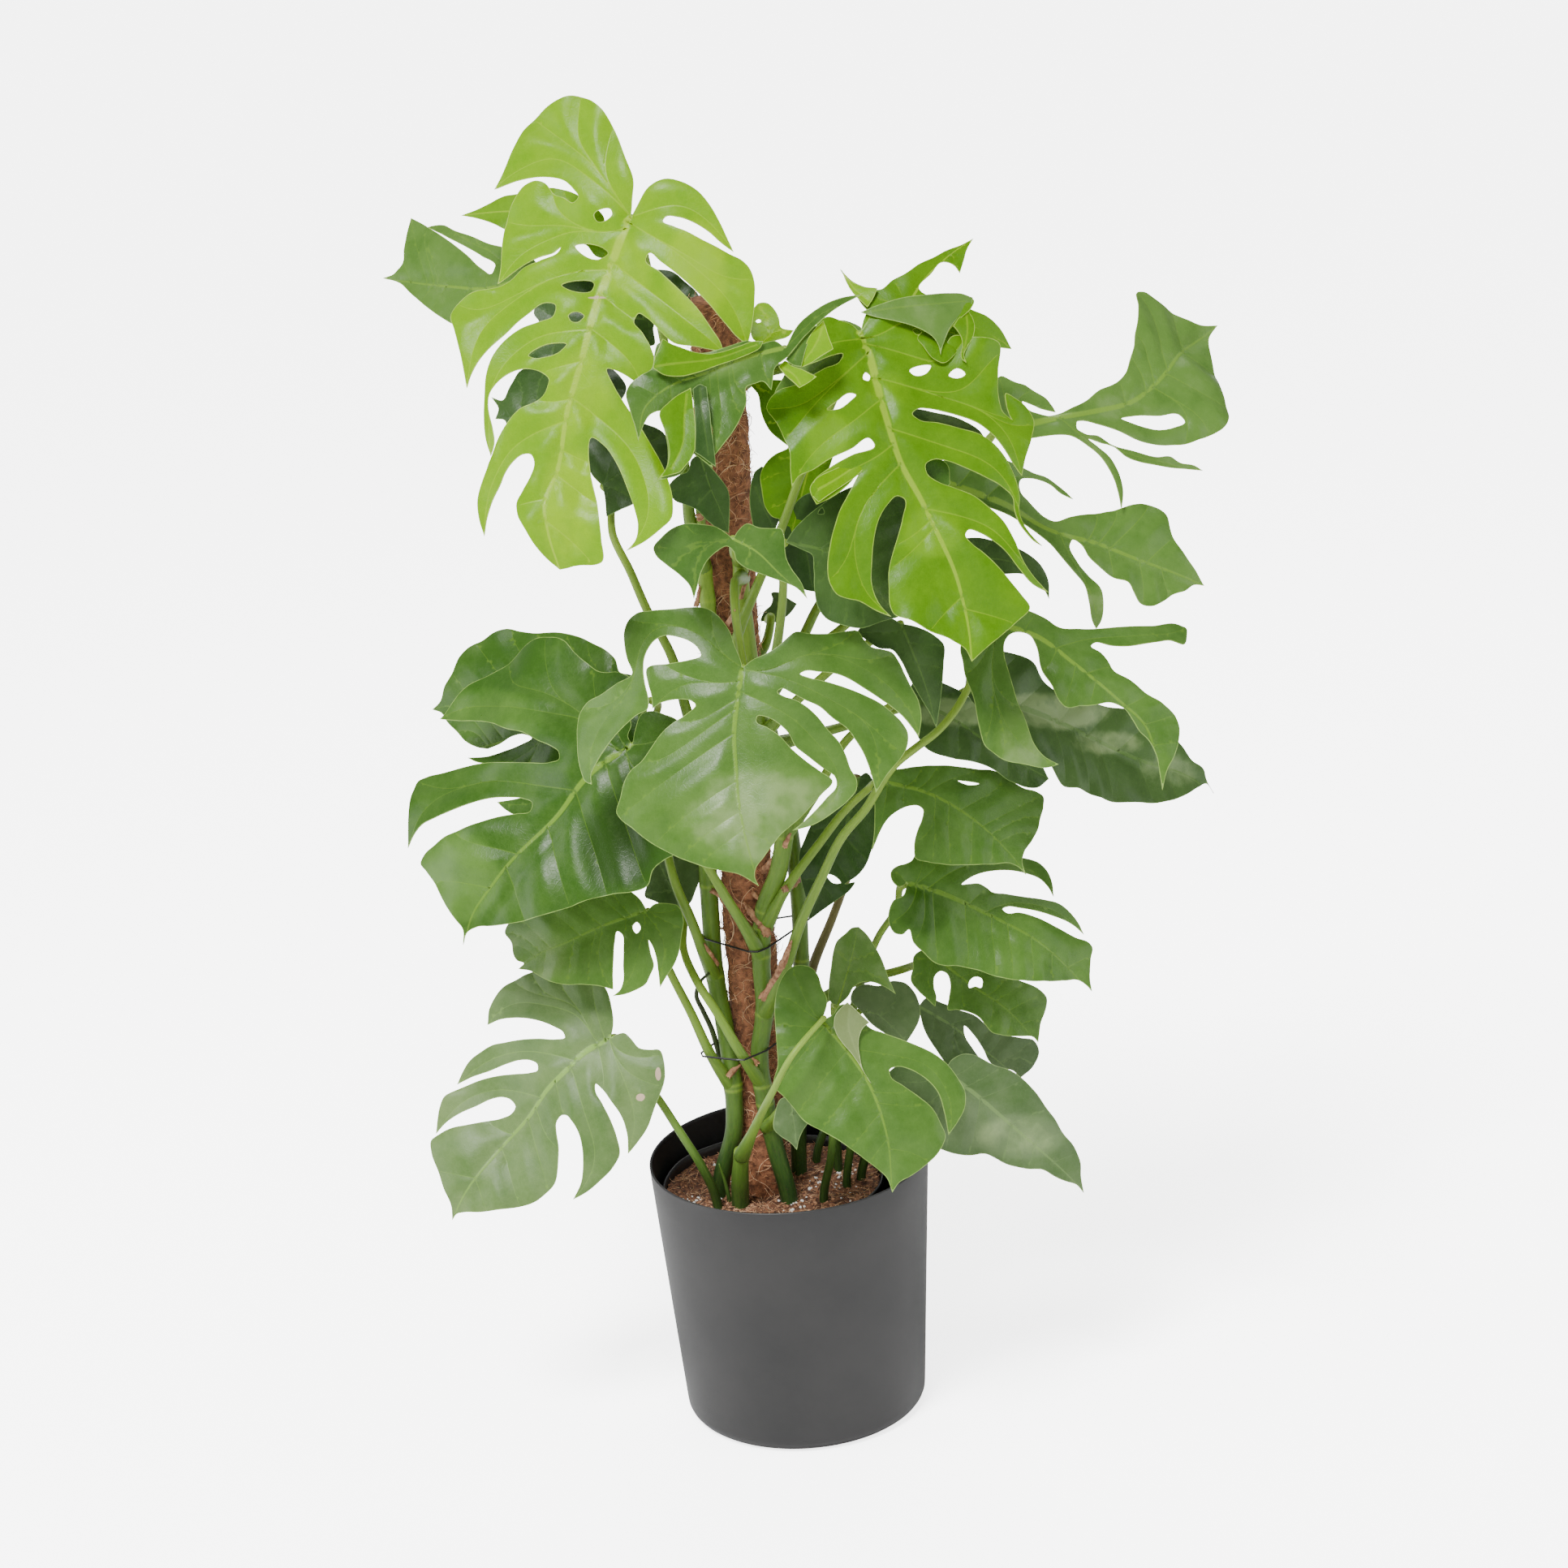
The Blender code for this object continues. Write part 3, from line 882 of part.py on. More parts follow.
def cut_places(thing, height, spot, reach):
    """Where the surface of a thing crosses a level, within reach of a spot there."""
    places = np.array([tuple(vertex.co) for vertex in thing.data.vertices])
    edges = places[np.array([tuple(edge.vertices) for edge in thing.data.edges])]
    low, high = edges[:, 0], edges[:, 1]
    crossed = (low[:, 2] - height) * (high[:, 2] - height) < 0
    low, high = low[crossed], high[crossed]
    part = (height - low[:, 2]) / (high[:, 2] - low[:, 2])
    found = (low + (high - low) * part[:, None])[:, :2]
    return found[np.linalg.norm(found - spot, axis=1) < reach]


def stem_spot(name, height):
    """Where the middle of a stem is at a level."""
    facts = STEMS[name]
    curve = np.array(smooth_route(route_places(facts["route"], facts["radius"]), 4))
    order = np.argsort(curve[:, 2])
    return np.array([np.interp(height, curve[order, 2], curve[order, axis]) for axis in (0, 1)])


def make_tie(name, pole, stems, finish):
    """A wire pulled round the pole and the stems beside it, with the feet of their stalks."""
    height, reach = TIES[name]
    held = [cut_places(pole, height, (pole_centre(height), 0.0), 2 * POLE_RADIUS)]
    for stem in stems:
        held.append(cut_places(stems[stem], height, stem_spot(stem, height), reach))
    held = np.concatenate(held)
    route = []
    for angle in np.linspace(0, 2 * math.pi, TIE_STEPS, endpoint=False):
        out = np.array((math.cos(angle), math.sin(angle)))
        spot = np.array((*(held[np.argmax(held @ out)] + out * (TIE_RADIUS + TIE_CLEARANCE)), height))
        if not route or min(np.linalg.norm(spot - route[end]) for end in (0, -1)) > TIE_SPACING:
            route.append(spot)
    centre = np.mean(route, axis=0)
    places, faces = [], []
    for index, spot in enumerate(route):
        ahead = route[(index + 1) % len(route)] - route[index - 1]
        ahead /= np.linalg.norm(ahead)
        out = spot - centre
        out -= (out @ ahead) * ahead
        out /= np.linalg.norm(out)
        other = np.cross(ahead, out)
        for corner in range(TIE_SIDES):
            angle = 2 * math.pi * corner / TIE_SIDES
            places.append(spot + TIE_RADIUS * (math.cos(angle) * out + math.sin(angle) * other))
            base, following = index * TIE_SIDES, (index + 1) % len(route) * TIE_SIDES
            beside = (corner + 1) % TIE_SIDES
            faces.append((base + corner, base + beside, following + beside, following + corner))
    return make_object(name, places, faces, finish)


# Stems: where they leave the soil, their radius and their route upwards
STEMS = {
    "stem_front": dict(root=(-0.003, -0.040), radius=0.0095,
                       route="""956,1416 943,1359 936,1295 942,1247 938,1183 942,1120 960,1070,-0.055
                           966,1020,-0.058 955,960,-0.05 940,900 928,840 920,780 914,725 911,665"""),
    "stem_left": dict(root=(-0.076, -0.010), radius=0.0095,
                      route="""905,1385 903,1333 893,1263 881,1200 876,1136 873,1088 870,1000 872,900 875,820
                          872,740 866,690"""),
    "stem_short": dict(root=(-0.055, -0.041), radius=0.0095, route="912,1446,-0.052 914,1418,-0.062"),
    "stem_back": dict(root=(0.010, 0.032), radius=0.0085,
                      route="""985,1330,0.032 987,1180,0.03 984,1110,0.03 970,1000,0.032 948,900,0.037
                          925,800,0.040 913,700,0.040 905,600,0.041 900,500,0.042 896,430,0.042"""),
    "shoot_left": dict(root=(-0.080, -0.040), radius=0.0055, single=True,
                       widths=(0.0055, 0.0050, 0.0045, 0.0040, 0.0038),
                       route="865,1438,-0.055 838,1395,-0.062 810,1352,-0.055 780,1312,-0.035"),
    "shoot_middle": dict(root=(0.034, -0.045), radius=0.005, single=True,
                         widths=(0.0055, 0.0045, 0.0040, 0.0036, 0.0034),
                         route="1024,1425,-0.055 1028,1360,-0.065 1032,1300,-0.075"),
    "shoot_grey": dict(root=(0.060, -0.010), radius=0.005, single=True,
                       widths=(0.0050, 0.0045, 0.0040, 0.0036, 0.0034),
                       route="1050,1400,-0.015 1056,1330,-0.02"),
    "shoot_tall": dict(root=(0.052, 0.030), radius=0.005, single=True,
                       widths=(0.0055, 0.0050, 0.0045, 0.0038, 0.0036),
                       route="1030,1330,0.01 1055,1230,-0.005 1083,1153,-0.035 1106,1116,-0.05"),
    "shoot_back": dict(root=(0.030, 0.060), radius=0.005, single=True,
                       widths=(0.0050, 0.0045, 0.0040, 0.0036, 0.0034),
                       route="1040,1350,0.06 1090,1285,0.06"),
    "shoot_right": dict(root=(0.076, 0.002), radius=0.005, single=True,
                        widths=(0.0055, 0.0050, 0.0045, 0.0040, 0.0038),
                        route="1085,1390,-0.01 1125,1350,-0.03"),
}

# Ties: their height, and how far from the middle of each stem they still take in the foot of a stalk
TIES = {"tie_upper": (0.550, 0.0225), "tie_lower": (0.435, 0.036)}
TIED_STEMS = ("stem_front", "stem_left", "stem_back")

# Stalks: the stem each grows from and its route to the blade, widest at the sheathing foot
STALK_WIDTHS = (0.0088, 0.0056, 0.0048, 0.0044, 0.0040, 0.0038)
STALKS = {
    "leaf_01": dict(stem="stem_left", route="""866,700 850,640,-0.045 845,590,-0.045 836,520,-0.04
        818,420,-0.03 798,330,-0.05"""),
    "leaf_02": dict(stem="stem_back", route="897,445,0.042 885,405,0.085 820,360,0.12 740,340,0.135"),
    "leaf_03": dict(stem="stem_left", route="""871,950 846,876,-0.030 828,810,-0.03 796,749,-0.03
        776,703,-0.025 756,662,-0.01"""),
    "leaf_04": dict(stem="stem_left", route="""872,900 893,830,-0.064 918,758,-0.075 940,705,-0.085
        965,645,-0.09 985,590,-0.09 1015,520,-0.08 1045,450,-0.085"""),
    "leaf_05": dict(stem="stem_back", route="898,464,0.042 925,452,0.035 946,442,-0.03 958,436,-0.11"),
    "leaf_06": dict(stem="stem_back", route="900,484,0.042 935,462,0.045 980,450,0.045 1050,430,0.04"),
    "leaf_07": dict(stem="stem_back", route="910,664,0.040 950,640,0.048 1000,600,0.06 1100,555,0.09 1180,540,0.10"),
    "leaf_08": dict(stem="stem_back", route="""940,870,0.038 972,820,0.032 991,782,0.03 1010,744,0.03
        1060,690,0.03 1105,640,0.03"""),
    "leaf_09": dict(stem="stem_back", route="936,858,0.038 980,818,0.028 1030,780,0.01 1090,730,-0.02"),
    "leaf_10": dict(stem="stem_front", route="""942,1250 953,1225,-0.062 968,1191,-0.075 988,1134,-0.09
        1013,1080,-0.105 1039,1029,-0.115 1064,1000,-0.12 1105,940,-0.12 1129,921,-0.12 1156,900,-0.11
        1177,875,-0.10 1205,820,-0.085"""),
    "leaf_11": dict(stem="stem_back", route="951,918,0.036 1040,895,0.07 1120,870,0.09"),
    "leaf_12": dict(stem="stem_front", route="966,1030,-0.058 1000,985,-0.045 1045,910,-0.03 1090,874,-0.015"),
    "leaf_13": dict(stem="stem_front", route="""914,712 909,714,-0.09 905,724,-0.14 906,755,-0.168
        911,790,-0.165"""),
    "leaf_14": dict(stem="stem_front", route="""938,1178 918,1143,-0.06 899,1113,-0.068 870,1065,-0.075
        835,1010,-0.065 800,955,-0.05"""),
    "leaf_15": dict(stem="stem_left", route="""881,1205 865,1168,-0.03 850,1130,-0.04 832,1088,-0.04
        818,1030,-0.015 805,960,0.03 800,905,0.07"""),
    "leaf_16": dict(stem="stem_left", route="""903,1340 876,1300,-0.045 851,1247,-0.05 825,1196,-0.045
        808,1155,-0.035"""),
    "leaf_17": dict(stem="stem_front", route="""939,1335 911,1295,-0.062 883,1247,-0.062 857,1206,-0.045
        842,1168,-0.015"""),
    "leaf_18": dict(stem="shoot_left"),
    "leaf_19": dict(stem="stem_short", in_front=True, route="""914,1424,-0.062 934,1381,-0.135
        953,1343,-0.20 975,1302,-0.215"""),
    "leaf_20": dict(stem="shoot_middle"),
    "leaf_21": dict(stem="shoot_grey"),
    "leaf_22": dict(stem="shoot_tall"),
    "leaf_23": dict(stem="stem_front", route="941,1145 975,1085,-0.06 1005,1045,-0.06 1040,1000,-0.06"),
    "leaf_24": dict(stem="stem_back", route="986,1250,0.031 1040,1215,0.05 1110,1195,0.045"),
    "leaf_25": dict(stem="shoot_back"),
    "leaf_26": dict(stem="shoot_right"),
    "leaf_27": dict(stem="stem_back", route="""986,1270,0.031 1002,1190,0.045 1026,1130,0.06 1050,1060,0.08
        1060,1000,0.085"""),
    "leaf_28": dict(stem="stem_front", route="912,690 909,687,-0.10 904,680,-0.17"),
    "leaf_29": dict(stem="stem_front", route="938,908 985,860,-0.075 1050,805,-0.09"),
    "leaf_30": dict(stem="stem_front", route="928,845 952,818,-0.085 961,770,-0.11 965,719,-0.135"),
    "leaf_31": dict(stem="stem_back", route="909,648,0.040 944,618,0.042 965,572,0.03 995,525,0.01"),
    "leaf_32": dict(stem="stem_left", route="867,705 864,650,-0.047 862,605,-0.045"),
    "leaf_33": dict(stem="stem_back", route="898,456,0.042 920,442,0.045"),
    "leaf_34": dict(stem="stem_front", route="945,1388 958,1372,-0.070"),
    "leaf_35": dict(stem="stem_back", route="896,437,0.042 884,385,0.055 850,325,0.045 800,298,0.045"),
    "leaf_36": dict(stem="stem_back", route="899,478,0.042 878,448,0.068"),
    "leaf_37": dict(stem="stem_back", in_front=True, route="927,812,0.040 940,800,0.050"),
}

TONES = {
    "young": (0.30, 0.46, 0.05),
    "fresh": (0.17, 0.34, 0.03),
    "grown": (0.09, 0.24, 0.04),
    "dark": (0.04, 0.13, 0.03),
    "grey": (0.19, 0.29, 0.13),
}
LEAF_TONES = {
    "leaf_01": "young", "leaf_04": "fresh", "leaf_06": "fresh", "leaf_33": "young", "leaf_31": "fresh",
    "leaf_03": "dark", "leaf_09": "dark", "leaf_11": "dark", "leaf_12": "dark", "leaf_27": "dark",
    "leaf_30": "dark", "leaf_32": "dark", "leaf_29": "dark",
    "leaf_36": "dark", "leaf_35": "fresh", "leaf_34": "grey", "leaf_37": "grey", "leaf_18": "grey",
    "leaf_17": "grey", "leaf_21": "grey", "leaf_25": "grey", "leaf_26": "grey",
}


def main():
    remove(list(bpy.data.objects))
    plant = make_finish("stem green", (0.20, 0.36, 0.07), 0.45)
    blades = {tone: make_finish("leaf " + tone, colour, 0.35) for tone, colour in TONES.items()}
    make_pot(make_finish("pot plastic", (0.085, 0.082, 0.082), 0.55))
    make_liner(make_finish("liner plastic", (0.012, 0.012, 0.012), 0.5))
    pole = make_pole(make_finish("coir", (0.16, 0.07, 0.035), 0.95))
    plugs = [pole_hole()]
    stems = {}
    for name in STEMS:
        stems[name], plug = make_stem(name, plant)
        plugs.append(plug)
    wire = make_finish("wire", (0.02, 0.02, 0.02), 0.4)
    for name in TIES:
        make_tie(name, pole, {stem: stems[stem] for stem in TIED_STEMS}, wire)
    make_soil(make_finish("soil mix", (0.17, 0.09, 0.05), 0.95), plugs)
    for name in BLADES:
        make_blade(name, blades[LEAF_TONES.get(name, "grown")])


main()
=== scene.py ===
"""The looks of a potted swiss cheese plant on a coir pole.

Metres, +Z up, the origin at the centre of the pot's underside. The leaves are traced as pixels of the
picture's 1932 pixel square, and picture_point() turns a pixel and a depth (y) into a real place.
"""
import heapq
import math

import bpy
import numpy as np
from mathutils import Matrix, Vector
from mathutils.bvhtree import BVHTree
from mathutils.geometry import delaunay_2d_cdt
from mathutils.kdtree import KDTree


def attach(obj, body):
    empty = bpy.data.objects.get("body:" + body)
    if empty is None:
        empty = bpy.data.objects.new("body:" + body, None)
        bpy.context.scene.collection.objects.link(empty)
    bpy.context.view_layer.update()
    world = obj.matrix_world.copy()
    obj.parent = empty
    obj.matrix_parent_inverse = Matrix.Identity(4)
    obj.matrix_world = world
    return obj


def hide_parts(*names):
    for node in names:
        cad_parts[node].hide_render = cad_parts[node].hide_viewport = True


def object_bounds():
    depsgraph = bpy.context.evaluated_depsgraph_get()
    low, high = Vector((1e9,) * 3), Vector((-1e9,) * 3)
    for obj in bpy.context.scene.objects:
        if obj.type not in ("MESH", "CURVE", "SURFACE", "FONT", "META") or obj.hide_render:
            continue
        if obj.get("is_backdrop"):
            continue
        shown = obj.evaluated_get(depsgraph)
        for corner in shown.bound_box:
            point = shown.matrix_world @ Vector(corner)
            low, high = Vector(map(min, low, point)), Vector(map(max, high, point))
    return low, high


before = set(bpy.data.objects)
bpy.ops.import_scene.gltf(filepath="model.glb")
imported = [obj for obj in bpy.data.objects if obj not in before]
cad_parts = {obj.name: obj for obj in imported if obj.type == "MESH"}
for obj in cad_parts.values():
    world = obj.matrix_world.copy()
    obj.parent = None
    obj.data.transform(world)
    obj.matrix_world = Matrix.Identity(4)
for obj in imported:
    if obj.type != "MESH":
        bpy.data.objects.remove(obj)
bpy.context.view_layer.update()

# The viewpoint of the picture, worked out from the rim and the base of the pot
PICTURE_SIZE = 1932
PICTURE_CENTRE = 966.0
PICTURE_FOCUS = 5446.0
VIEW_DISTANCE = 4.6
VIEW_DIP = 0.344
VIEW_ROLL = -0.0757
AIM_ACROSS, AIM_HEIGHT = 0.025, 0.713
EYE = np.array((AIM_ACROSS, -VIEW_DISTANCE * math.cos(VIEW_DIP),
                AIM_HEIGHT + VIEW_DISTANCE * math.sin(VIEW_DIP)))
AHEAD = np.array((0.0, math.cos(VIEW_DIP), -math.sin(VIEW_DIP)))
LEVEL = np.array((1.0, 0.0, 0.0))
UPRIGHT = np.cross(LEVEL, AHEAD)
ACROSS = math.cos(VIEW_ROLL) * LEVEL + math.sin(VIEW_ROLL) * UPRIGHT
UPWARD = math.cos(VIEW_ROLL) * UPRIGHT - math.sin(VIEW_ROLL) * LEVEL


def picture_rays(spots):
    """The line of sight through each pixel."""
    spots = np.atleast_2d(spots)
    sideways = (spots[:, :1] - PICTURE_CENTRE) / PICTURE_FOCUS
    upwards = (PICTURE_CENTRE - spots[:, 1:2]) / PICTURE_FOCUS
    return AHEAD + sideways * ACROSS + upwards * UPWARD


def picture_point(across, down, depth):
    """The real place that shows at a pixel and lies at y = depth."""
    ray = picture_rays((across, down))[0]
    return EYE + ray * (depth - EYE[1]) / ray[1]


def picture_spots(places):
    """The pixels where real places show."""
    away = places - EYE
    ahead = away @ AHEAD
    return np.stack((PICTURE_CENTRE + PICTURE_FOCUS * (away @ ACROSS) / ahead,
                     PICTURE_CENTRE - PICTURE_FOCUS * (away @ UPWARD) / ahead), axis=1)


# Helpers for meshes, curves and shaders that several pieces share
def add_piece(name, places, faces, finishes, cad=(), slot=None, numbers=None, which=None):
    """A mesh that is part of the plant, with float attributes and the finish of each face."""
    mesh = bpy.data.meshes.new(name)
    mesh.from_pydata(np.asarray(places, float).tolist(), [], faces)
    for finish in finishes:
        mesh.materials.append(finish)
    if which is not None:
        mesh.polygons.foreach_set("material_index", np.asarray(which, np.int32))
    mesh.polygons.foreach_set("use_smooth", np.full(len(mesh.polygons), True))
    for key, values in (numbers or {}).items():
        values = np.asarray(values, np.float32)
        kind = "FLOAT" if values.ndim == 1 else "FLOAT_VECTOR"
        mesh.attributes.new(key, kind, "POINT").data.foreach_set(
            "value" if values.ndim == 1 else "vector", values.ravel())
    mesh.update()
    thing = bpy.data.objects.new(name, mesh)
    bpy.context.scene.collection.objects.link(thing)
    return dress(thing, cad)


def dress(thing, cad):
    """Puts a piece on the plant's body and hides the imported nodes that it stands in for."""
    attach(thing, "root")
    if cad:
        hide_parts(*cad)
    return thing


def curve_places(points, tangents, step):
    """Places about every step along a smooth curve with these points and directions."""
    made = []
    for index in range(len(points) - 1):
        start, end = points[index], points[index + 1]
        span = max(float(np.linalg.norm(end - start)), 1e-9)
        count = max(1, math.ceil(span / step))
        t = np.arange(count)[:, None] / count
        made.append((2 * t ** 3 - 3 * t ** 2 + 1) * start + (t ** 3 - 2 * t ** 2 + t) * tangents[index] * span
                    + (3 * t ** 2 - 2 * t ** 3) * end + (t ** 3 - t ** 2) * tangents[index + 1] * span)
    return np.concatenate(made + [points[-1:]])


def smooth_line(points, step, closed=False):
    """A smooth line through points, open or closed."""
    points = np.asarray(points, float)
    if closed:
        points = np.concatenate((points[-2:], points, points[:3]))
    steps = np.diff(points, axis=0)
    spans = np.maximum(np.linalg.norm(steps, axis=1), 1e-9)[:, None]
    slopes = steps / spans
    tangents = np.concatenate((slopes[:1], slopes))
    if len(points) > 2:
        tangents[1:-1] = (slopes[:-1] * spans[1:] + slopes[1:] * spans[:-1]) / (spans[1:] + spans[:-1])
    if closed:
        return curve_places(points[2:-2], tangents[2:-2], step)[:-1]
    return curve_places(points, tangents, step)


def even_line(points, step):
    """Places at an even distance along a line, and how far along each one is."""
    points = np.asarray(points, float)
    reach = np.concatenate(([0.0], np.cumsum(np.linalg.norm(np.diff(points, axis=0), axis=1))))
    count = max(2, int(round(reach[-1] / step)) + 1)
    at = np.linspace(0.0, reach[-1], count)
    return np.stack([np.interp(at, reach, points[:, axis]) for axis in range(points.shape[1])], axis=1), at


def tube(line, radii, sides):
    """Places, faces and (round, reach) of a bar along a line with closed ends."""
    line = np.asarray(line, float)
    ahead = np.gradient(line, axis=0)
    ahead /= np.linalg.norm(ahead, axis=1)[:, None]
    reach = np.concatenate(([0.0], np.cumsum(np.linalg.norm(np.diff(line, axis=0), axis=1))))
    side = np.cross(ahead[0], (0.3, 1.0, 0.2))
    angles = np.arange(sides) * 2 * math.pi / sides
    places = []
    for centre, way, radius in zip(line, ahead, radii):
        side = side - (side @ way) * way
        side = side / np.linalg.norm(side)
        other = np.cross(way, side)
        places.append(centre + radius * (np.cos(angles)[:, None] * side + np.sin(angles)[:, None] * other))
    corner = np.arange(sides)
    beside = (corner + 1) % sides
    faces = []
    for ring in range(len(line) - 1):
        base = ring * sides
        quads = (base + corner, base + beside, base + sides + beside, base + sides + corner)
        faces += np.stack(quads, 1).tolist()
    last = (len(line) - 1) * sides
    faces += [list(range(sides - 1, -1, -1)), list(range(last, last + sides))]
    grain = np.stack((np.tile(np.cos(angles), len(line)), np.tile(np.sin(angles), len(line)),
                      np.repeat(reach, sides)), axis=1)
    return np.concatenate(places), faces, grain


def gather(parts):
    """Several (places, faces, numbers) as one, where numbers is a dict of arrays."""
    places, faces, numbers, base = [], [], {}, 0
    for part_places, part_faces, part_numbers in parts:
        places.append(part_places)
        faces += [[corner + base for corner in face] for face in part_faces]
        for key, values in part_numbers.items():
            numbers.setdefault(key, []).append(values)
        base += len(part_places)
    return np.concatenate(places), faces, {key: np.concatenate(values) for key, values in numbers.items()}


def turned(profile, sides, centre=(0.0, 0.0)):
    """Places and faces of a round vessel: a closed profile of (radius, height) from axis to axis."""
    angles = np.arange(sides) * 2 * math.pi / sides
    places = [[centre[0], centre[1], profile[0][1]]]
    for radius, height in profile[1:-1]:
        places += [[centre[0] + radius * math.cos(angle), centre[1] + radius * math.sin(angle), height]
                   for angle in angles]
    places.append([centre[0], centre[1], profile[-1][1]])
    faces = []
    for corner in range(sides):
        beside = (corner + 1) % sides
        faces.append((0, 1 + beside, 1 + corner))
        for ring in range(len(profile) - 3):
            base = 1 + ring * sides
            faces.append((base + corner, base + beside, base + sides + beside, base + sides + corner))
        last = 1 + (len(profile) - 3) * sides
        faces.append((last + corner, last + beside, len(places) - 1))
    return np.array(places), faces


def lumps(places, size, seed, waves=7):
    """A smooth uneven number at each place, mostly from -1 to 1, with lumps of about this size."""
    draw = np.random.default_rng(seed)
    total = np.zeros(len(places))
    for _ in range(waves):
        way = draw.normal(size=places.shape[1])
        way *= 2 * math.pi / (size * draw.uniform(1.4, 3.2)) / np.linalg.norm(way)
        total += np.sin(places @ way + draw.uniform(0, 2 * math.pi))
    return total / (waves / 2)


def layered(places, layers):
    """Lumps of several sizes on top of each other, each layer a (height, size, seed)."""
    return sum(height * lumps(places, size, seed) for height, size, seed in layers)


def wire(tree, kind, inputs=None, **settings):
    """A shader or geometry node with its settings, values and links."""
    made = tree.nodes.new(kind)
    for key, value in settings.items():
        setattr(made, key, value)
    for socket, value in (inputs or {}).items():
        if isinstance(value, bpy.types.NodeSocket):
            tree.links.new(value, made.inputs[socket])
        else:
            made.inputs[socket].default_value = value
    return made


def blended(tree, share, first, second, how="MIX"):
    """The colour between two colours, or one laid over the other."""
    made = wire(tree, "ShaderNodeMix", {0: share, 6: first, 7: second}, data_type="RGBA", blend_type=how)
    return made.outputs[2]


def sums(tree, how, first, second, third=None):
    """Arithmetic on two or three values."""
    inputs = {0: first, 1: second} if third is None else {0: first, 1: second, 2: third}
    return wire(tree, "ShaderNodeMath", inputs, operation=how).outputs[0]


def stretched(tree, value, low, high, to_low=0.0, to_high=1.0):
    """A value moved from the range low to high into another range, and kept inside that one."""
    return wire(tree, "ShaderNodeMapRange", {0: value, 1: low, 2: high, 3: to_low, 4: to_high}).outputs[0]


def group_of(name, inputs):
    """A shader group with these inputs and one surface out of it."""
    tree = bpy.data.node_groups.new(name, "ShaderNodeTree")
    tree.interface.new_socket(name="Surface", in_out="OUTPUT", socket_type="NodeSocketShader")
    for key, kind in inputs.items():
        tree.interface.new_socket(name=key, in_out="INPUT", socket_type=kind)
    return tree, tree.nodes.new("NodeGroupInput").outputs, tree.nodes.new("NodeGroupOutput").inputs[0]


def finish_from(name, group, values):
    """A material that is one use of a shader group."""
    finish = bpy.data.materials.new(name)
    finish.use_nodes = True
    tree = finish.node_tree
    tree.nodes.clear()
    skin = wire(tree, "ShaderNodeGroup", node_tree=group)
    for key, value in values.items():
        skin.inputs[key].default_value = (*value, 1.0) if isinstance(value, tuple) else value
    output = tree.nodes.new("ShaderNodeOutputMaterial")
    tree.links.new(skin.outputs[0], output.inputs["Surface"])
    finish.diffuse_color = (*next((v for v in values.values() if isinstance(v, tuple)), (0.5, 0.5, 0.5)), 1.0)
    return finish


def noise(tree, place, scale, detail=3.0, rough=0.55):
    """Noise from 0 to 1, with this many lumps to a metre."""
    return wire(tree, "ShaderNodeTexNoise",
                {"Vector": place, "Scale": scale, "Detail": detail, "Roughness": rough}).outputs["Fac"]


def bumped(tree, height, distance):
    """The direction of a surface that looks as rough as this height, in metres."""
    return wire(tree, "ShaderNodeBump", {"Height": height, "Distance": distance, "Strength": 1.0}).outputs[0]


# Plain surfaces: a colour that drifts a little, fine grain in the gloss and in the surface
COLOUR, FLOAT = "NodeSocketColor", "NodeSocketFloat"
GLOSS_GRAIN = 0.2
plain_skin, given, out = group_of("plain skin", {
    "Base": COLOUR, "Second": COLOUR, "Scale": FLOAT, "Gloss": FLOAT, "Grain": FLOAT, "Depth": FLOAT})
tree = plain_skin
spot = tree.nodes.new("ShaderNodeTexCoord").outputs["Object"]
drift = stretched(tree, noise(tree, spot, given["Scale"], 4.0), 0.35, 0.65)
fine = noise(tree, spot, given["Grain"], 5.0, 0.7)
skin = wire(tree, "ShaderNodeBsdfPrincipled", {
    "Base Color": blended(tree, drift, given["Base"], given["Second"]),
    "Roughness": sums(tree, "MULTIPLY_ADD", sums(tree, "SUBTRACT", fine, 0.5), GLOSS_GRAIN, given["Gloss"]),
    "Normal": bumped(tree, fine, given["Depth"])})
tree.links.new(skin.outputs[0], out)


def plain_finish(name, base, second, scale, gloss, grain, depth):
    """A surface between two colours: scale and grain in lumps to a metre, gloss 0 for a mirror, depth in metres."""
    return finish_from(name, plain_skin, {"Base": base, "Second": second, "Scale": scale, "Gloss": gloss,
                                          "Grain": grain, "Depth": depth})


# Scattered bits: grains and fibres set on a surface at fixed random places
TURN_SEED, SIZE_SEED = 5, 6
scatter_tree = bpy.data.node_groups.new("scatter", "GeometryNodeTree")
tree = scatter_tree
sockets = {}
for key, kind in {"Ground": "NodeSocketGeometry", "Shapes": "NodeSocketCollection", "Density": FLOAT,
                  "Seed": "NodeSocketInt", "Smallest": FLOAT, "Largest": FLOAT, "Lean": FLOAT,
                  "Finish": "NodeSocketMaterial"}.items():
    sockets[key] = tree.interface.new_socket(name=key, in_out="INPUT", socket_type=kind).identifier
tree.interface.new_socket(name="Bits", in_out="OUTPUT", socket_type="NodeSocketGeometry")
given = tree.nodes.new("NodeGroupInput").outputs
spots = wire(tree, "GeometryNodeDistributePointsOnFaces",
             {"Mesh": given["Ground"], "Density": given["Density"], "Seed": given["Seed"]},
             distribute_method="RANDOM")
shapes = wire(tree, "GeometryNodeCollectionInfo",
              {"Collection": given["Shapes"], "Separate Children": True, "Reset Children": True})
back = sums(tree, "MULTIPLY", given["Lean"], -1.0)
lean_low = wire(tree, "ShaderNodeCombineXYZ", {0: back, 1: back, 2: 0.0})
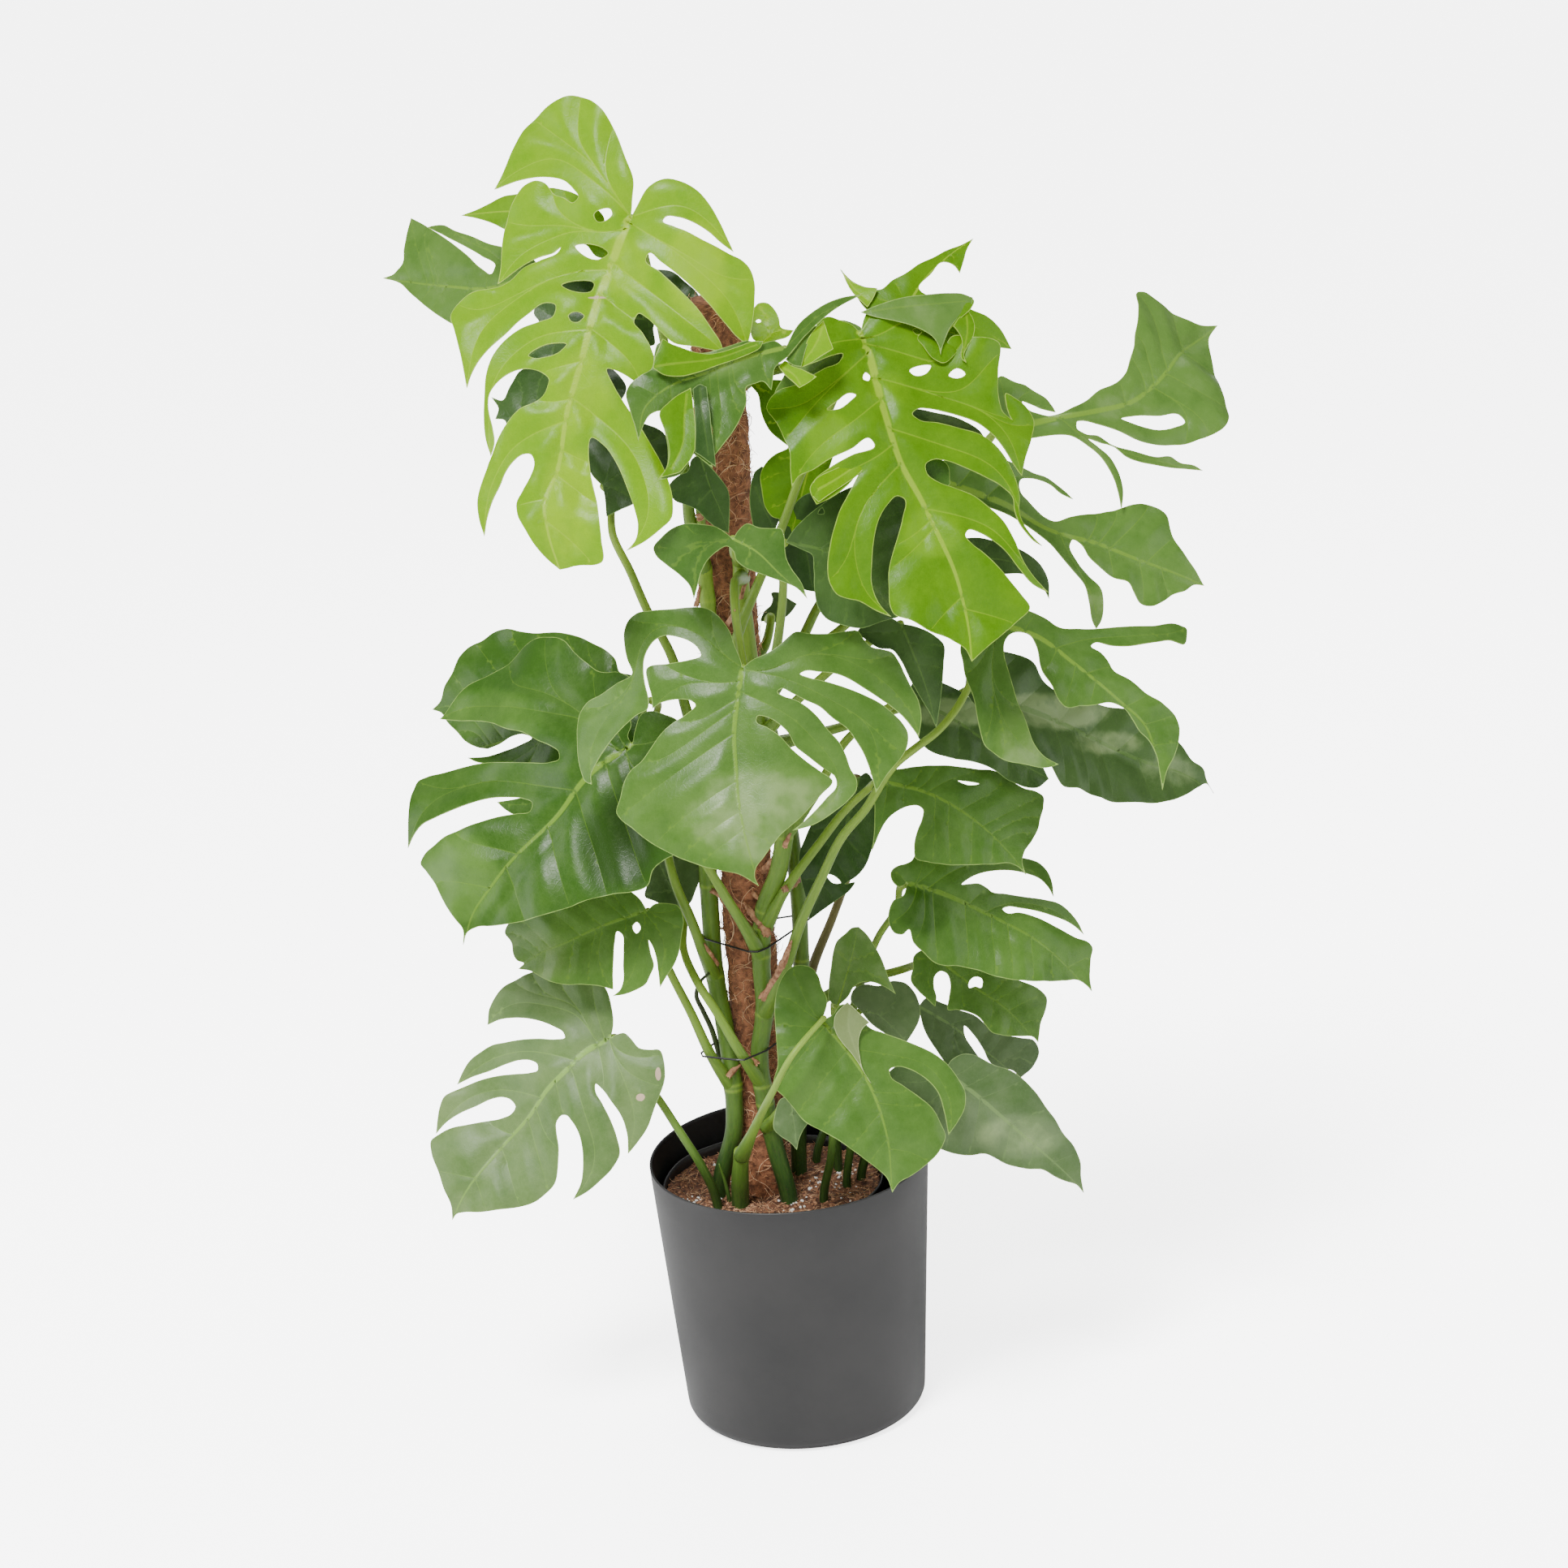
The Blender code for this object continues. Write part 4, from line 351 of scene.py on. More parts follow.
lean_high = wire(tree, "ShaderNodeCombineXYZ", {0: given["Lean"], 1: given["Lean"], 2: 2 * math.pi})
turn = wire(tree, "FunctionNodeRandomValue",
            {0: lean_low.outputs[0], 1: lean_high.outputs[0], "Seed": TURN_SEED}, data_type="FLOAT_VECTOR")
size = wire(tree, "FunctionNodeRandomValue",
            {2: given["Smallest"], 3: given["Largest"], "Seed": SIZE_SEED}, data_type="FLOAT")
turn = wire(tree, "FunctionNodeEulerToRotation", {0: turn.outputs[0]})
spun = wire(tree, "FunctionNodeRotateRotation", {0: spots.outputs["Rotation"], 1: turn.outputs[0]},
            rotation_space="LOCAL")
bits = wire(tree, "GeometryNodeInstanceOnPoints", {
    "Points": spots.outputs["Points"], "Instance": shapes.outputs[0], "Pick Instance": True,
    "Rotation": spun.outputs[0], "Scale": size.outputs[1]})
solid = wire(tree, "GeometryNodeRealizeInstances", {0: bits.outputs[0]})
painted = wire(tree, "GeometryNodeSetMaterial", {"Geometry": solid.outputs[0], "Material": given["Finish"]})
tree.links.new(painted.outputs[0], tree.nodes.new("NodeGroupOutput").inputs[0])


def scatter(name, ground, shapes, density, seed, sizes, lean, finish):
    """Bits of these shapes on the faces of ground, which is (places, faces), as one mesh.

    density = bits to a square metre, sizes = the smallest and the largest, lean = how far they tilt at most.
    """
    group = bpy.data.collections.new("shapes")
    bpy.context.scene.collection.children.link(group)
    helpers = []
    for index, (places, faces) in enumerate(shapes):
        mesh = bpy.data.meshes.new("shape")
        mesh.from_pydata(np.asarray(places).tolist(), [], faces)
        mesh.polygons.foreach_set("use_smooth", np.full(len(mesh.polygons), True))
        helpers.append(bpy.data.objects.new("shape_%d" % index, mesh))
        group.objects.link(helpers[-1])
    mesh = bpy.data.meshes.new("ground")
    mesh.from_pydata(np.asarray(ground[0]).tolist(), [], ground[1])
    base = bpy.data.objects.new("ground", mesh)
    bpy.context.scene.collection.objects.link(base)
    change = base.modifiers.new("scatter", "NODES")
    change.node_group = scatter_tree
    for key, value in {"Shapes": group, "Density": density, "Seed": seed, "Smallest": sizes[0],
                       "Largest": sizes[1], "Lean": lean, "Finish": finish}.items():
        change[sockets[key]] = value
    bpy.context.view_layer.update()
    shape = bpy.data.meshes.new_from_object(base.evaluated_get(bpy.context.evaluated_depsgraph_get()))
    for helper in helpers + [base]:
        bpy.data.objects.remove(helper)
    bpy.data.collections.remove(group)
    shape.name = name
    thing = bpy.data.objects.new(name, shape)
    bpy.context.scene.collection.objects.link(thing)
    return dress(thing, ())


FIBRE_TAPER = np.array((0.4, 0.8, 1, 1, 1, 1, 0.8, 0.3))


def fibre_shapes(seed, count, thickness, curl):
    """Thin bent threads, 1 long, that lie on the x-y plane."""
    draw = np.random.default_rng(seed)
    bends = len(FIBRE_TAPER) - 1
    shapes = []
    for _ in range(count):
        bend = draw.uniform(-curl, curl)
        wave = draw.uniform(-0.5, 0.5) * curl
        turns = np.cumsum(bend / bends + wave * np.sin(np.linspace(0, 6, bends)) / 3)
        climb = 0.25 * np.cos(np.linspace(-1.6, 1.6, bends) * 2)
        steps = np.stack((np.cos(turns), np.sin(turns), climb), 1)
        line = np.concatenate(([[0, 0, 0]], np.cumsum(steps, axis=0))) / bends
        line -= line.mean(axis=0) * (1, 1, 0)
        places, faces, _ = tube(line, thickness * FIBRE_TAPER, 3)
        shapes.append((places, faces))
    return shapes


def crumb_shapes(seed, count, flat):
    """Rough little lumps about 1 across, and flat times as high."""
    draw = np.random.default_rng(seed)
    corners = np.array([(x, y, z) for x in (-1, 0, 1) for y in (-1, 0, 1) for z in (-1, 0, 1)
                        if abs(x) + abs(y) + abs(z) in (1, 2)], float)
    corners /= np.linalg.norm(corners, axis=1)[:, None]
    faces = []
    for a in range(len(corners)):
        for b in range(a + 1, len(corners)):
            for c in range(b + 1, len(corners)):
                way = np.cross(corners[b] - corners[a], corners[c] - corners[a])
                sides = (corners - corners[a]) @ way
                if np.linalg.norm(way) > 1e-6 and (np.all(sides < 1e-9) or np.all(sides > -1e-9)):
                    faces.append((a, b, c) if way @ corners[a] > 0 else (a, c, b))
    shapes = []
    for _ in range(count):
        rough = draw.uniform(0.6, 1.1, (len(corners), 1))
        half = (0.5, 0.5 * draw.uniform(0.5, 1), 0.5 * flat)
        shapes.append((corners * rough * half, faces))
    return shapes


# Pot
# A plain round pot in matte dark grey plastic, a little wider at the rim, with a thin wall and a soft lower
# edge. Its outside has a very fine grain and four small pale scuffs, and its underside is a very shallow dish.
# Its inner wall and inner floor are a darker grey, painted shade for the shadow inside the pot.
POT_RIM, POT_BASE, POT_HEIGHT, POT_WALL, POT_FILLET = 0.150, 0.130, 0.293, 0.003, 0.016
POT_DISH = 0.0008
POT_SIDES = 160
# The third grey is painted shade: the inside of the pot is the same plastic, drawn darker for the shadow in it
POT_GREY, POT_WORN, POT_PAINTED_SHADE = (0.0230, 0.0228, 0.0232), (0.031, 0.030, 0.030), (0.011, 0.011, 0.011)
POT_CHALK = (0.22, 0.21, 0.20, 1.0)
POT_SCUFFS = ((picture_point(1060, 1667, -0.118), 0.0022), (picture_point(857, 1685, -0.050), 0.0014),
              (picture_point(866, 1690, -0.062), 0.0014), (picture_point(1102, 1489, -0.105), 0.0012))
POT_SURFACE = dict(scale=9.0, grain=900.0, depth=0.00008)


def wall_radius(height):
    """The outer radius of the pot at a height above its lower edge."""
    return POT_BASE + (POT_RIM - POT_BASE) * (height - POT_FILLET) / (POT_HEIGHT - POT_FILLET)


profile = [(0.0, POT_DISH), (POT_BASE - POT_FILLET - 0.012, POT_DISH), (POT_BASE - POT_FILLET - 0.010, 0.0)]
profile += [(POT_BASE - POT_FILLET * (1 - math.sin(angle)), POT_FILLET * (1 - math.cos(angle)))
            for angle in np.linspace(0, math.pi / 2, 7)]
profile += [(wall_radius(z), z) for z in np.linspace(0.03, POT_HEIGHT - 0.0012, 9)]
profile += [(POT_RIM - 0.0004, POT_HEIGHT - 0.0003), (POT_RIM - 0.0012, POT_HEIGHT),
            (POT_RIM - POT_WALL + 0.0008, POT_HEIGHT), (POT_RIM - POT_WALL, POT_HEIGHT - 0.001)]
profile += [(wall_radius(z) - POT_WALL, z) for z in np.linspace(POT_HEIGHT - 0.004, 0.02, 8)]
profile += [(POT_BASE - POT_FILLET, POT_WALL), (0.0, POT_WALL)]
pot_finish = plain_finish("pot plastic", POT_GREY, POT_WORN, gloss=0.42, **POT_SURFACE)
pot_inside_painted_shade = plain_finish("pot inside", POT_PAINTED_SHADE, POT_PAINTED_SHADE, gloss=0.5, **POT_SURFACE)
places, faces = turned(profile, POT_SIDES)
middle = np.array([places[list(face)].mean(axis=0) for face in faces])
# The faces inside the wall and above the underside, which take the darker grey as painted shade
within = np.hypot(middle[:, 0], middle[:, 1]) < wall_radius(middle[:, 2]) - POT_WALL / 2
within &= middle[:, 2] > 0.002
add_piece("pot_shell", places, faces, [pot_finish, pot_inside_painted_shade], ("pot",), "pot", which=within)
tree = pot_finish.node_tree
spot = tree.nodes.new("ShaderNodeTexCoord").outputs["Object"]
for place, size in POT_SCUFFS:
    gap = wire(tree, "ShaderNodeVectorMath", {0: spot, 1: tuple(place)}, operation="DISTANCE")
    ragged = sums(tree, "MULTIPLY_ADD", noise(tree, spot, 700.0), size, gap.outputs["Value"])
    worn = stretched(tree, ragged, size, size * 1.5, 1.0, 0.0)
    surface = tree.nodes["Material Output"].inputs["Surface"]
    chalk = wire(tree, "ShaderNodeBsdfPrincipled", {"Base Color": POT_CHALK, "Roughness": 0.7})
    mixed = wire(tree, "ShaderNodeMixShader", {0: worn, 1: surface.links[0].from_socket, 2: chalk.outputs[0]})
    tree.links.new(mixed.outputs[0], surface)

# Grower's pot
# The thin black pot that the plant was grown in. Its folded rim shows as a dark ring between the soil and the
# outer pot.
LINER_CENTRE, LINER_RIM, LINER_BASE, LINER_TOP = (-0.019, 0.0), 0.119, 0.086, 0.264
LINER_SIDES = 120
LINER_BLACK, LINER_WORN = (0.012, 0.012, 0.012), (0.018, 0.018, 0.018)
foot = POT_WALL + 0.0005
profile = [(0.0, foot), (LINER_BASE - 0.003, foot), (LINER_BASE, foot + 0.003),
           (LINER_RIM - 0.0015, LINER_TOP - 0.010), (LINER_RIM, LINER_TOP - 0.009),
           (LINER_RIM + 0.0002, LINER_TOP - 0.002), (LINER_RIM, LINER_TOP),
           (LINER_RIM - 0.0012, LINER_TOP + 0.0003), (LINER_RIM - 0.0022, LINER_TOP),
           (LINER_RIM - 0.003, LINER_TOP - 0.006), (LINER_BASE - 0.003, foot + 0.004),
           (LINER_BASE - 0.006, foot + 0.0012), (0.0, foot + 0.0012)]
places, faces = turned(profile, LINER_SIDES, LINER_CENTRE)
high = places[:, 2] > 0.2
angle = np.arctan2(places[:, 1], places[:, 0] - LINER_CENTRE[0])
places[high, 2] += 0.0012 * np.sin(3 * angle[high] + 1) + 0.0006 * np.sin(8 * angle[high])
liner_finish = plain_finish("liner plastic", LINER_BLACK, LINER_WORN, scale=30.0, gloss=0.42, grain=300.0,
                            depth=0.0001)
add_piece("liner_shell", places, faces, [liner_finish], ("nursery_pot",), "liner")

# Soil
# A loose mix of brown coir chips and threads with white perlite grains, higher round the pole. The perlite
# lies thicker in a few heaps, given by their centre and half size in pixels.
SOIL_TOP = 0.256
SOIL_RADIUS = 0.1145
SOIL_FOOT_RADIUS = 0.72 * SOIL_RADIUS
SOIL_RINGS, SOIL_SIDES = 44, 110
SOIL_LAYERS = ((0.0016, 0.020, 3), (0.0012, 0.008, 4))
MOUND_PLACE, MOUND_HEIGHT, MOUND_WIDTH = (-0.014, 0.0), 0.004, 0.03
PERLITE_HEAPS = ((957, 1470, 13, 12), (968, 1484, 22, 10), (897, 1447, 12, 14), (884, 1434, 6, 5),
                 (855, 1476, 14, 7), (1020, 1460, 26, 10), (1040, 1448, 12, 8))
soil_finish = plain_finish("soil mix", (0.045, 0.019, 0.010), (0.22, 0.095, 0.048), scale=160.0, gloss=0.95,
                           grain=700.0, depth=0.0009)
chip_finish = plain_finish("coir chips", (0.20, 0.080, 0.038), (0.48, 0.25, 0.14), scale=130.0, gloss=0.95,
                           grain=900.0, depth=0.0004)
thread_finish = plain_finish("coir threads", (0.36, 0.17, 0.08), (0.78, 0.50, 0.30), scale=90.0, gloss=0.85,
                             grain=900.0, depth=0.0001)
perlite_finish = plain_finish("perlite", (0.82, 0.80, 0.76), (0.92, 0.91, 0.88), scale=300.0, gloss=0.9,
                              grain=900.0, depth=0.0003)
radii = np.linspace(0, SOIL_RADIUS, SOIL_RINGS + 1)[1:]
angles = np.arange(SOIL_SIDES) * 2 * math.pi / SOIL_SIDES
flat = np.concatenate([np.stack((r * np.cos(angles), r * np.sin(angles)), 1) for r in radii])
lift = layered(flat, SOIL_LAYERS)
lift += MOUND_HEIGHT * np.exp(-np.linalg.norm(flat - MOUND_PLACE, axis=1) / MOUND_WIDTH)
top = np.stack((flat[:, 0] + LINER_CENTRE[0], flat[:, 1], SOIL_TOP - 0.001 + lift), 1)
base_height = foot + 0.002
wall = np.stack((SOIL_FOOT_RADIUS * np.cos(angles) + LINER_CENTRE[0], SOIL_FOOT_RADIUS * np.sin(angles),
                 np.full(SOIL_SIDES, base_height)), 1)
peak, bottom = [[LINER_CENTRE[0], 0.0, SOIL_TOP + 0.003]], [[LINER_CENTRE[0], 0.0, base_height]]
places = np.concatenate((peak, top, wall, bottom))
last = 1 + SOIL_RINGS * SOIL_SIDES
faces = []
for corner in range(SOIL_SIDES):
    beside = (corner + 1) % SOIL_SIDES
    faces.append((0, 1 + corner, 1 + beside))
    for ring in range(SOIL_RINGS):
        base = 1 + ring * SOIL_SIDES
        faces.append((base + corner, base + SOIL_SIDES + corner, base + SOIL_SIDES + beside, base + beside))
    faces.append((last + corner, len(places) - 1, last + beside))
add_piece("soil_mound", places, faces, [soil_finish], ("soil",), "soil")
bed = (places[:last], [face for face in faces if max(face) < last])
scatter("soil_chips", bed, crumb_shapes(1, 5, flat=0.5), density=24000.0, seed=1, sizes=(0.002, 0.0070),
        lean=0.7, finish=chip_finish)
scatter("soil_threads", bed, fibre_shapes(2, 6, thickness=0.018, curl=2.6), density=28000.0, seed=2,
        sizes=(0.010, 0.030), lean=0.35, finish=thread_finish)
scatter("soil_perlite", bed, crumb_shapes(3, 5, flat=0.8), density=1100.0, seed=8, sizes=(0.002, 0.0048),
        lean=0.8, finish=perlite_finish)
middle = picture_spots(np.array([bed[0][list(face)].mean(axis=0) for face in bed[1]]))
heaped = np.zeros(len(middle), bool)
for x, y, wide, tall in PERLITE_HEAPS:
    heaped |= ((middle[:, 0] - x) / wide) ** 2 + ((middle[:, 1] - y) / tall) ** 2 < 1
heaps = (bed[0], [face for face, chosen in zip(bed[1], heaped) if chosen])
scatter("soil_perlite_heaps", heaps, crumb_shapes(4, 5, flat=0.8), density=14000.0, seed=9,
        sizes=(0.0022, 0.0060), lean=0.8, finish=perlite_finish)

# Coir pole
# A post wrapped in matted coconut fibre, reddish brown, with a fuzz of loose curly threads that catch the
# light.
POLE_RADIUS, POLE_FOOT, POLE_TIP = 0.028, np.array((-0.0335, 0.0, 0.030)), np.array((-0.0080, 0.0, 1.232))
POLE_ROWS, POLE_SIDES = 290, 54
POLE_LAYERS = ((0.0012, 0.024, 11), (0.0009, 0.009, 12))
MAT_DEPTH = 0.0012
coir_finish = plain_finish("coir mat", (0.13, 0.050, 0.022), (0.40, 0.165, 0.078), scale=150.0, gloss=0.95,
                           grain=600.0, depth=0.0012)
fuzz_finish = plain_finish("coir fuzz", (0.38, 0.155, 0.070), (0.72, 0.38, 0.19), scale=60.0, gloss=0.8,
                           grain=900.0, depth=0.0001)
hair_finish = plain_finish("coir hair", (0.66, 0.36, 0.19), (0.90, 0.62, 0.38), scale=60.0, gloss=0.7,
                           grain=900.0, depth=0.0001)


def pole_axis(height):
    """How far to the side (x) the middle of the pole is at a height."""
    return np.interp(height, (POLE_FOOT[2], POLE_TIP[2]), (POLE_FOOT[0], POLE_TIP[0]))


line = np.linspace(POLE_FOOT, POLE_TIP, POLE_ROWS)
places, faces, _ = tube(line, np.full(POLE_ROWS, POLE_RADIUS - MAT_DEPTH), POLE_SIDES)
centre = np.stack((pole_axis(places[:, 2]), np.zeros(len(places)), places[:, 2]), 1)
away = (places - centre) / np.maximum(np.linalg.norm(places - centre, axis=1), 1e-6)[:, None]
places = places + away * layered(places, POLE_LAYERS)[:, None]
add_piece("coir_mat", places, faces, [coir_finish], ("coir_pole",), "coir")
shown = [face for face in faces if places[face[0], 2] > SOIL_TOP and len(face) == 4]
scatter("coir_fuzz", (places, shown), fibre_shapes(5, 9, thickness=0.0135, curl=3.2), density=17000.0, seed=3,
        sizes=(0.012, 0.034), lean=0.30, finish=fuzz_finish)
scatter("coir_loose", (places, shown), fibre_shapes(6, 5, thickness=0.012, curl=3.8), density=1500.0, seed=4,
        sizes=(0.014, 0.030), lean=1.1, finish=fuzz_finish)
scatter("coir_hairs", (places + away * MAT_DEPTH, shown), fibre_shapes(7, 7, thickness=0.0100, curl=3.0),
        density=2400.0, seed=5, sizes=(0.024, 0.052), lean=0.22, finish=hair_finish)
standing = [(places, faces)]

# Leaf blades: where each one is
# Each blade was traced on the picture: joint = where the stalk meets it, depth = its distance behind the
# pole's axis, turn and tilt = the way its upper face looks, sag = how far its sides and its tip drop as parts of
# its length, outline = its edge from the joint round, with * on each sharp tip, holes and midrib likewise.
BLADES = {
    "leaf_01": dict(
        joint="777,267", depth=-0.10, turn=-0.20, tilt=0.55, sag=(0.10, 0.10), end="690,702",
        outline="""780,250 783,228 772,196 758,162 740,133 722,121 705,118 682,127 660,144 648,158 635,182
        622,208 608,232* 640,222 672,219 696,224 708,235 714,245 708,250 694,243 682,238 672,226 660,223
        645,230 634,245 622,275 619,300 616,330 612,349* 626,339 645,326 664,316 682,310 690,303 688,308
        666,320 645,330 629,345 606,355 580,362 562,378 557,392 562,408 570,440 576,479* 582,464 590,450
        601,436 625,412 640,397 652,388 672,375 686,378 684,390 664,398 642,406 622,422 609,441 601,465
        598,490 596,510 597,540 603,560* 608,545 606,525 602,505 604,487 615,472 635,460 652,457 668,460
        678,470 674,484 660,497 642,507 625,525 609,549 600,575 592,600 589,616 591,640 597,661* 601,640
        608,618 618,597 622,585 632,570 645,561 656,562 660,571 656,588 646,607 638,622 640,636 650,655
        662,675 675,690 690,702* 716,698 744,692 743,668 740,640 735,615 730,590 726,560 730,541 745,550
        760,571 773,600 783,628 787,648 784,665 772,679* 795,669 815,656 830,641 831,624 826,600 815,572
        801,547 785,520 768,495 757,476 750,456 760,458 775,465 789,475* 800,464 808,450 804,432 793,412
        781,394 786,386 797,392 815,410 832,425 860,430 893,436* 889,424 877,405 861,382 838,358 814,336
        797,321 801,314 815,324 840,343 870,371 893,398 910,417 921,425* 926,400 929,370 928,345 922,328
        912,319 900,313 884,305 868,298 848,288 832,282 819,275 822,270 836,270 856,276 876,288 886,297
        894,303 903,309* 897,296 886,272 875,253 860,236 842,226 820,223 802,233 788,252""",
        holes=("733,266 742,260 753,259 755,266 746,273 736,273", "708,302 724,300 748,312 738,318 718,313",
               "692,351 710,345 731,349 728,357 705,359", "702,391 711,386 720,390 715,397 705,397",
               "653,440 665,430 684,425 700,427 692,435 672,442 658,443"),
        midrib="737,367 719,441 700,508 687,582 673,621 678,660"),
    "leaf_02": dict(
        joint="668,335", depth=0.10, turn=-0.60, tilt=0.65, sag=(0.10, 0.05), end="469,341",
        outline="""660,322 640,312 620,306 605,302 585,293 560,284 543,277 527,280* 550,292 575,305 595,317
        612,331 608,338 595,332 580,318 560,302 540,288 522,277 507,269* 503,285 499,305 495,322 486,334
        469,341* 488,346 505,361 525,378 545,392 562,401 590,405 620,398 645,375""",
        holes=(), midrib="610,355 550,352"),
    "leaf_03": dict(
        joint="742,598", depth=0.01, turn=-0.30, tilt=0.55, sag=(0.12, 0.08), end="610,516",
        outline="""745,612 747,636* 765,628 781,620 800,606 819,588 823,562 816,532 800,524 785,520 768,512
        761,500 768,490 772,479 765,465 745,450 720,446 690,449 665,450 640,458 630,473 619,493 605,489*
        614,506 610,516* 622,518 625,529* 645,538 668,550 700,565 722,573 731,587""",
        holes=(), midrib="700,560 655,530"),
    "leaf_04": dict(
        joint="1060,410", depth=-0.12, turn=0.25, tilt=0.60, sag=(0.08, 0.12), end="1196,817",
        outline="""1053,403 1036,397 1018,392 1006,401 996,424 986,451* 1005,446 1024,439 1038,437 1034,446
        1015,455 1000,464 986,474 974,478 962,481 951,489 944,502 951,517 963,537 971,556 973,580 975,602*
        983,588 1002,579 1021,567 1048,555 1070,544 1076,550 1048,562 1021,577 1003,592 997,603 1006,622*
        1030,609 1046,596 1059,581 1050,600 1043,613 1035,628 1029,645 1022,672 1020,700 1024,717 1033,731
        1046,735 1061,737 1083,749 1100,757* 1088,742 1077,715 1076,690 1078,660 1083,640 1094,621 1106,611
        1114,614 1112,638 1107,660 1100,684 1097,703 1097,725 1099,744 1104,755 1122,765 1142,777 1172,793
        1188,802 1196,817* 1212,802 1230,787 1250,769 1267,750 1257,737 1244,722 1228,703 1209,684 1195,672
        1188,661 1193,654 1205,658 1220,668 1236,682 1252,703 1270,722 1291,731* 1274,715 1260,697 1248,670
        1234,644 1217,626 1199,611 1176,601 1155,593 1142,583 1140,573 1150,567 1166,568 1190,577 1215,589
        1236,600 1248,611 1250,630 1255,646 1263,658 1272,668 1283,674* 1270,661 1261,647 1256,630 1257,612
        1254,597 1246,578 1234,560 1220,546 1204,536 1182,529 1156,522 1130,518 1123,512 1130,505 1145,504
        1165,508 1185,514 1205,523 1222,537 1238,556 1250,573 1260,585* 1264,563 1271,540 1275,514 1266,502
        1250,491 1238,486 1240,501 1247,516* 1236,507 1229,488 1228,460 1228,428 1200,421 1170,418 1163,431
        1160,446* 1149,438 1138,425 1130,418 1135,412 1147,420 1152,431 1157,441* 1160,425 1168,410 1181,397
        1195,383 1198,374 1190,368 1170,367 1145,365 1121,367 1090,375 1070,383""",
        holes=("1018,508 1030,497 1046,487 1053,489 1046,497 1029,508", "1063,469 1067,459 1072,462 1069,470",
               "1121,457 1131,450 1148,449 1142,459 1126,461", "1169,463 1178,455 1189,462 1180,466",
               "1125,407 1130,404 1135,409 1129,413"),
        midrib="1075,452 1088,509 1107,566 1134,611 1158,663 1180,714 1191,760"),
    "leaf_05": dict(
        joint="968,428", depth=-0.20, turn=0.30, tilt=0.60, sag=(0.10, 0.08), end="786,544",
        outline="""955,420 938,423 920,420 900,426 870,434 840,432 822,424 811,424 806,436 803,454 790,462
        778,471 772,483 776,505 782,525 786,544* 793,524 803,509 814,505 819,530 823,555 821,576 810,592*
        825,589 838,585 848,572 853,559 858,561 868,569 878,577* 873,548 870,515 875,518 879,545 880,562*
        890,549 905,529 915,510 921,492 921,475 931,472 940,469 951,480* 953,465 954,455 970,440 991,415
        1010,396 1030,380 1063,362* 1040,366 1020,373 1000,385 985,398""",
        holes=("853,484 857,500 856,530 853,552 848,540 848,500",),
        midrib="920,440 870,458 820,478 795,502"),
    "leaf_06": dict(
        joint="1110,395", depth=0.0, turn=0.20, tilt=0.65, sag=(0.08, 0.06), end="1200,292",
        outline="""1095,388 1080,390 1067,381 1052,358 1035,331* 1053,347 1070,354 1084,357 1100,345 1115,338
        1132,326 1150,317 1167,307 1185,300 1200,292* 1192,306 1188,320 1183,336* 1174,325 1163,322 1147,338
        1132,356 1150,368 1180,376 1200,384 1215,390 1230,403 1246,431* 1228,429 1200,424 1160,412
        1130,402""",
        holes=(), midrib="1135,350 1165,318"),
    "leaf_07": dict(
        joint="1228,530", depth=0.05, turn=0.60, tilt=0.70, sag=(0.06, 0.05), end="1502,399",
        outline="""1222,515 1218,495 1222,475 1232,465 1248,474 1262,477 1277,487 1289,499 1298,511* 1285,509
        1270,503 1258,496 1262,505 1275,512 1290,515 1303,512 1320,503 1340,492 1355,480 1370,474 1385,462
        1391,445 1396,415 1400,380 1404,358 1412,358 1425,366 1450,380 1480,396 1502,399* 1495,410 1496,440
        1500,465 1501,485 1505,500 1507,520 1500,535 1485,541 1460,545 1430,545 1405,540 1380,530 1350,523
        1334,520 1324,523 1324,531 1334,537 1352,538 1370,546 1400,552 1430,558 1447,558 1458,565 1475,570
        1485,577* 1465,573 1445,571 1425,568 1405,565 1390,560 1377,550 1355,546 1338,544 1350,553 1365,565
        1377,585 1382,605 1380,630* 1376,610 1371,593 1363,578 1352,564 1336,553 1318,543 1300,541 1270,541
        1245,543""",
        holes=("1384,514 1400,510 1430,511 1455,513 1460,519 1449,525 1430,527 1410,523 1394,518",),
        midrib="1305,517 1350,505 1400,491 1425,472 1450,440"),
    "leaf_08": dict(
        joint="1150,590", depth=-0.005, turn=0.50, tilt=0.60, sag=(0.06, 0.05), end="1482,723",
        outline="""1152,575 1172,566 1200,565 1228,567 1250,573 1262,577 1276,582 1291,586 1306,595 1318,604
        1326,612* 1311,605 1298,595 1285,590 1270,588 1259,590 1256,598 1258,608 1266,616 1276,626 1288,636
        1300,641 1320,636 1345,632 1370,629 1385,625 1397,622 1409,621 1421,626 1432,637 1437,655 1445,672
        1458,692 1470,706 1482,723* 1470,722 1458,730 1445,733 1435,740 1420,746 1408,742 1398,728 1392,718
        1375,710 1355,697 1342,685 1333,668 1325,663 1320,670 1330,690 1345,708 1358,722 1362,745 1358,765
        1352,774* 1348,765 1345,740 1340,718 1325,701 1310,686 1295,671 1278,657 1262,646 1240,634 1218,626
        1195,620 1170,610""",
        holes=(), midrib="1200,607 1240,622 1290,650 1350,668 1400,690 1445,708"),
    "leaf_09": dict(
        joint="1150,695", depth=-0.07, turn=0.30, tilt=0.45, sag=(0.10, 0.06), end="1292,738",
        outline="""1158,678 1180,665 1205,662 1235,670 1262,682 1280,697 1290,715 1292,738* 1282,722 1262,709
        1235,708 1205,708 1170,714""",
        holes=(), midrib="1200,688 1250,695"),
    "leaf_10": dict(
        joint="1228,768", depth=-0.12, turn=0.40, tilt=0.65, sag=(0.06, 0.08), end="1436,970",
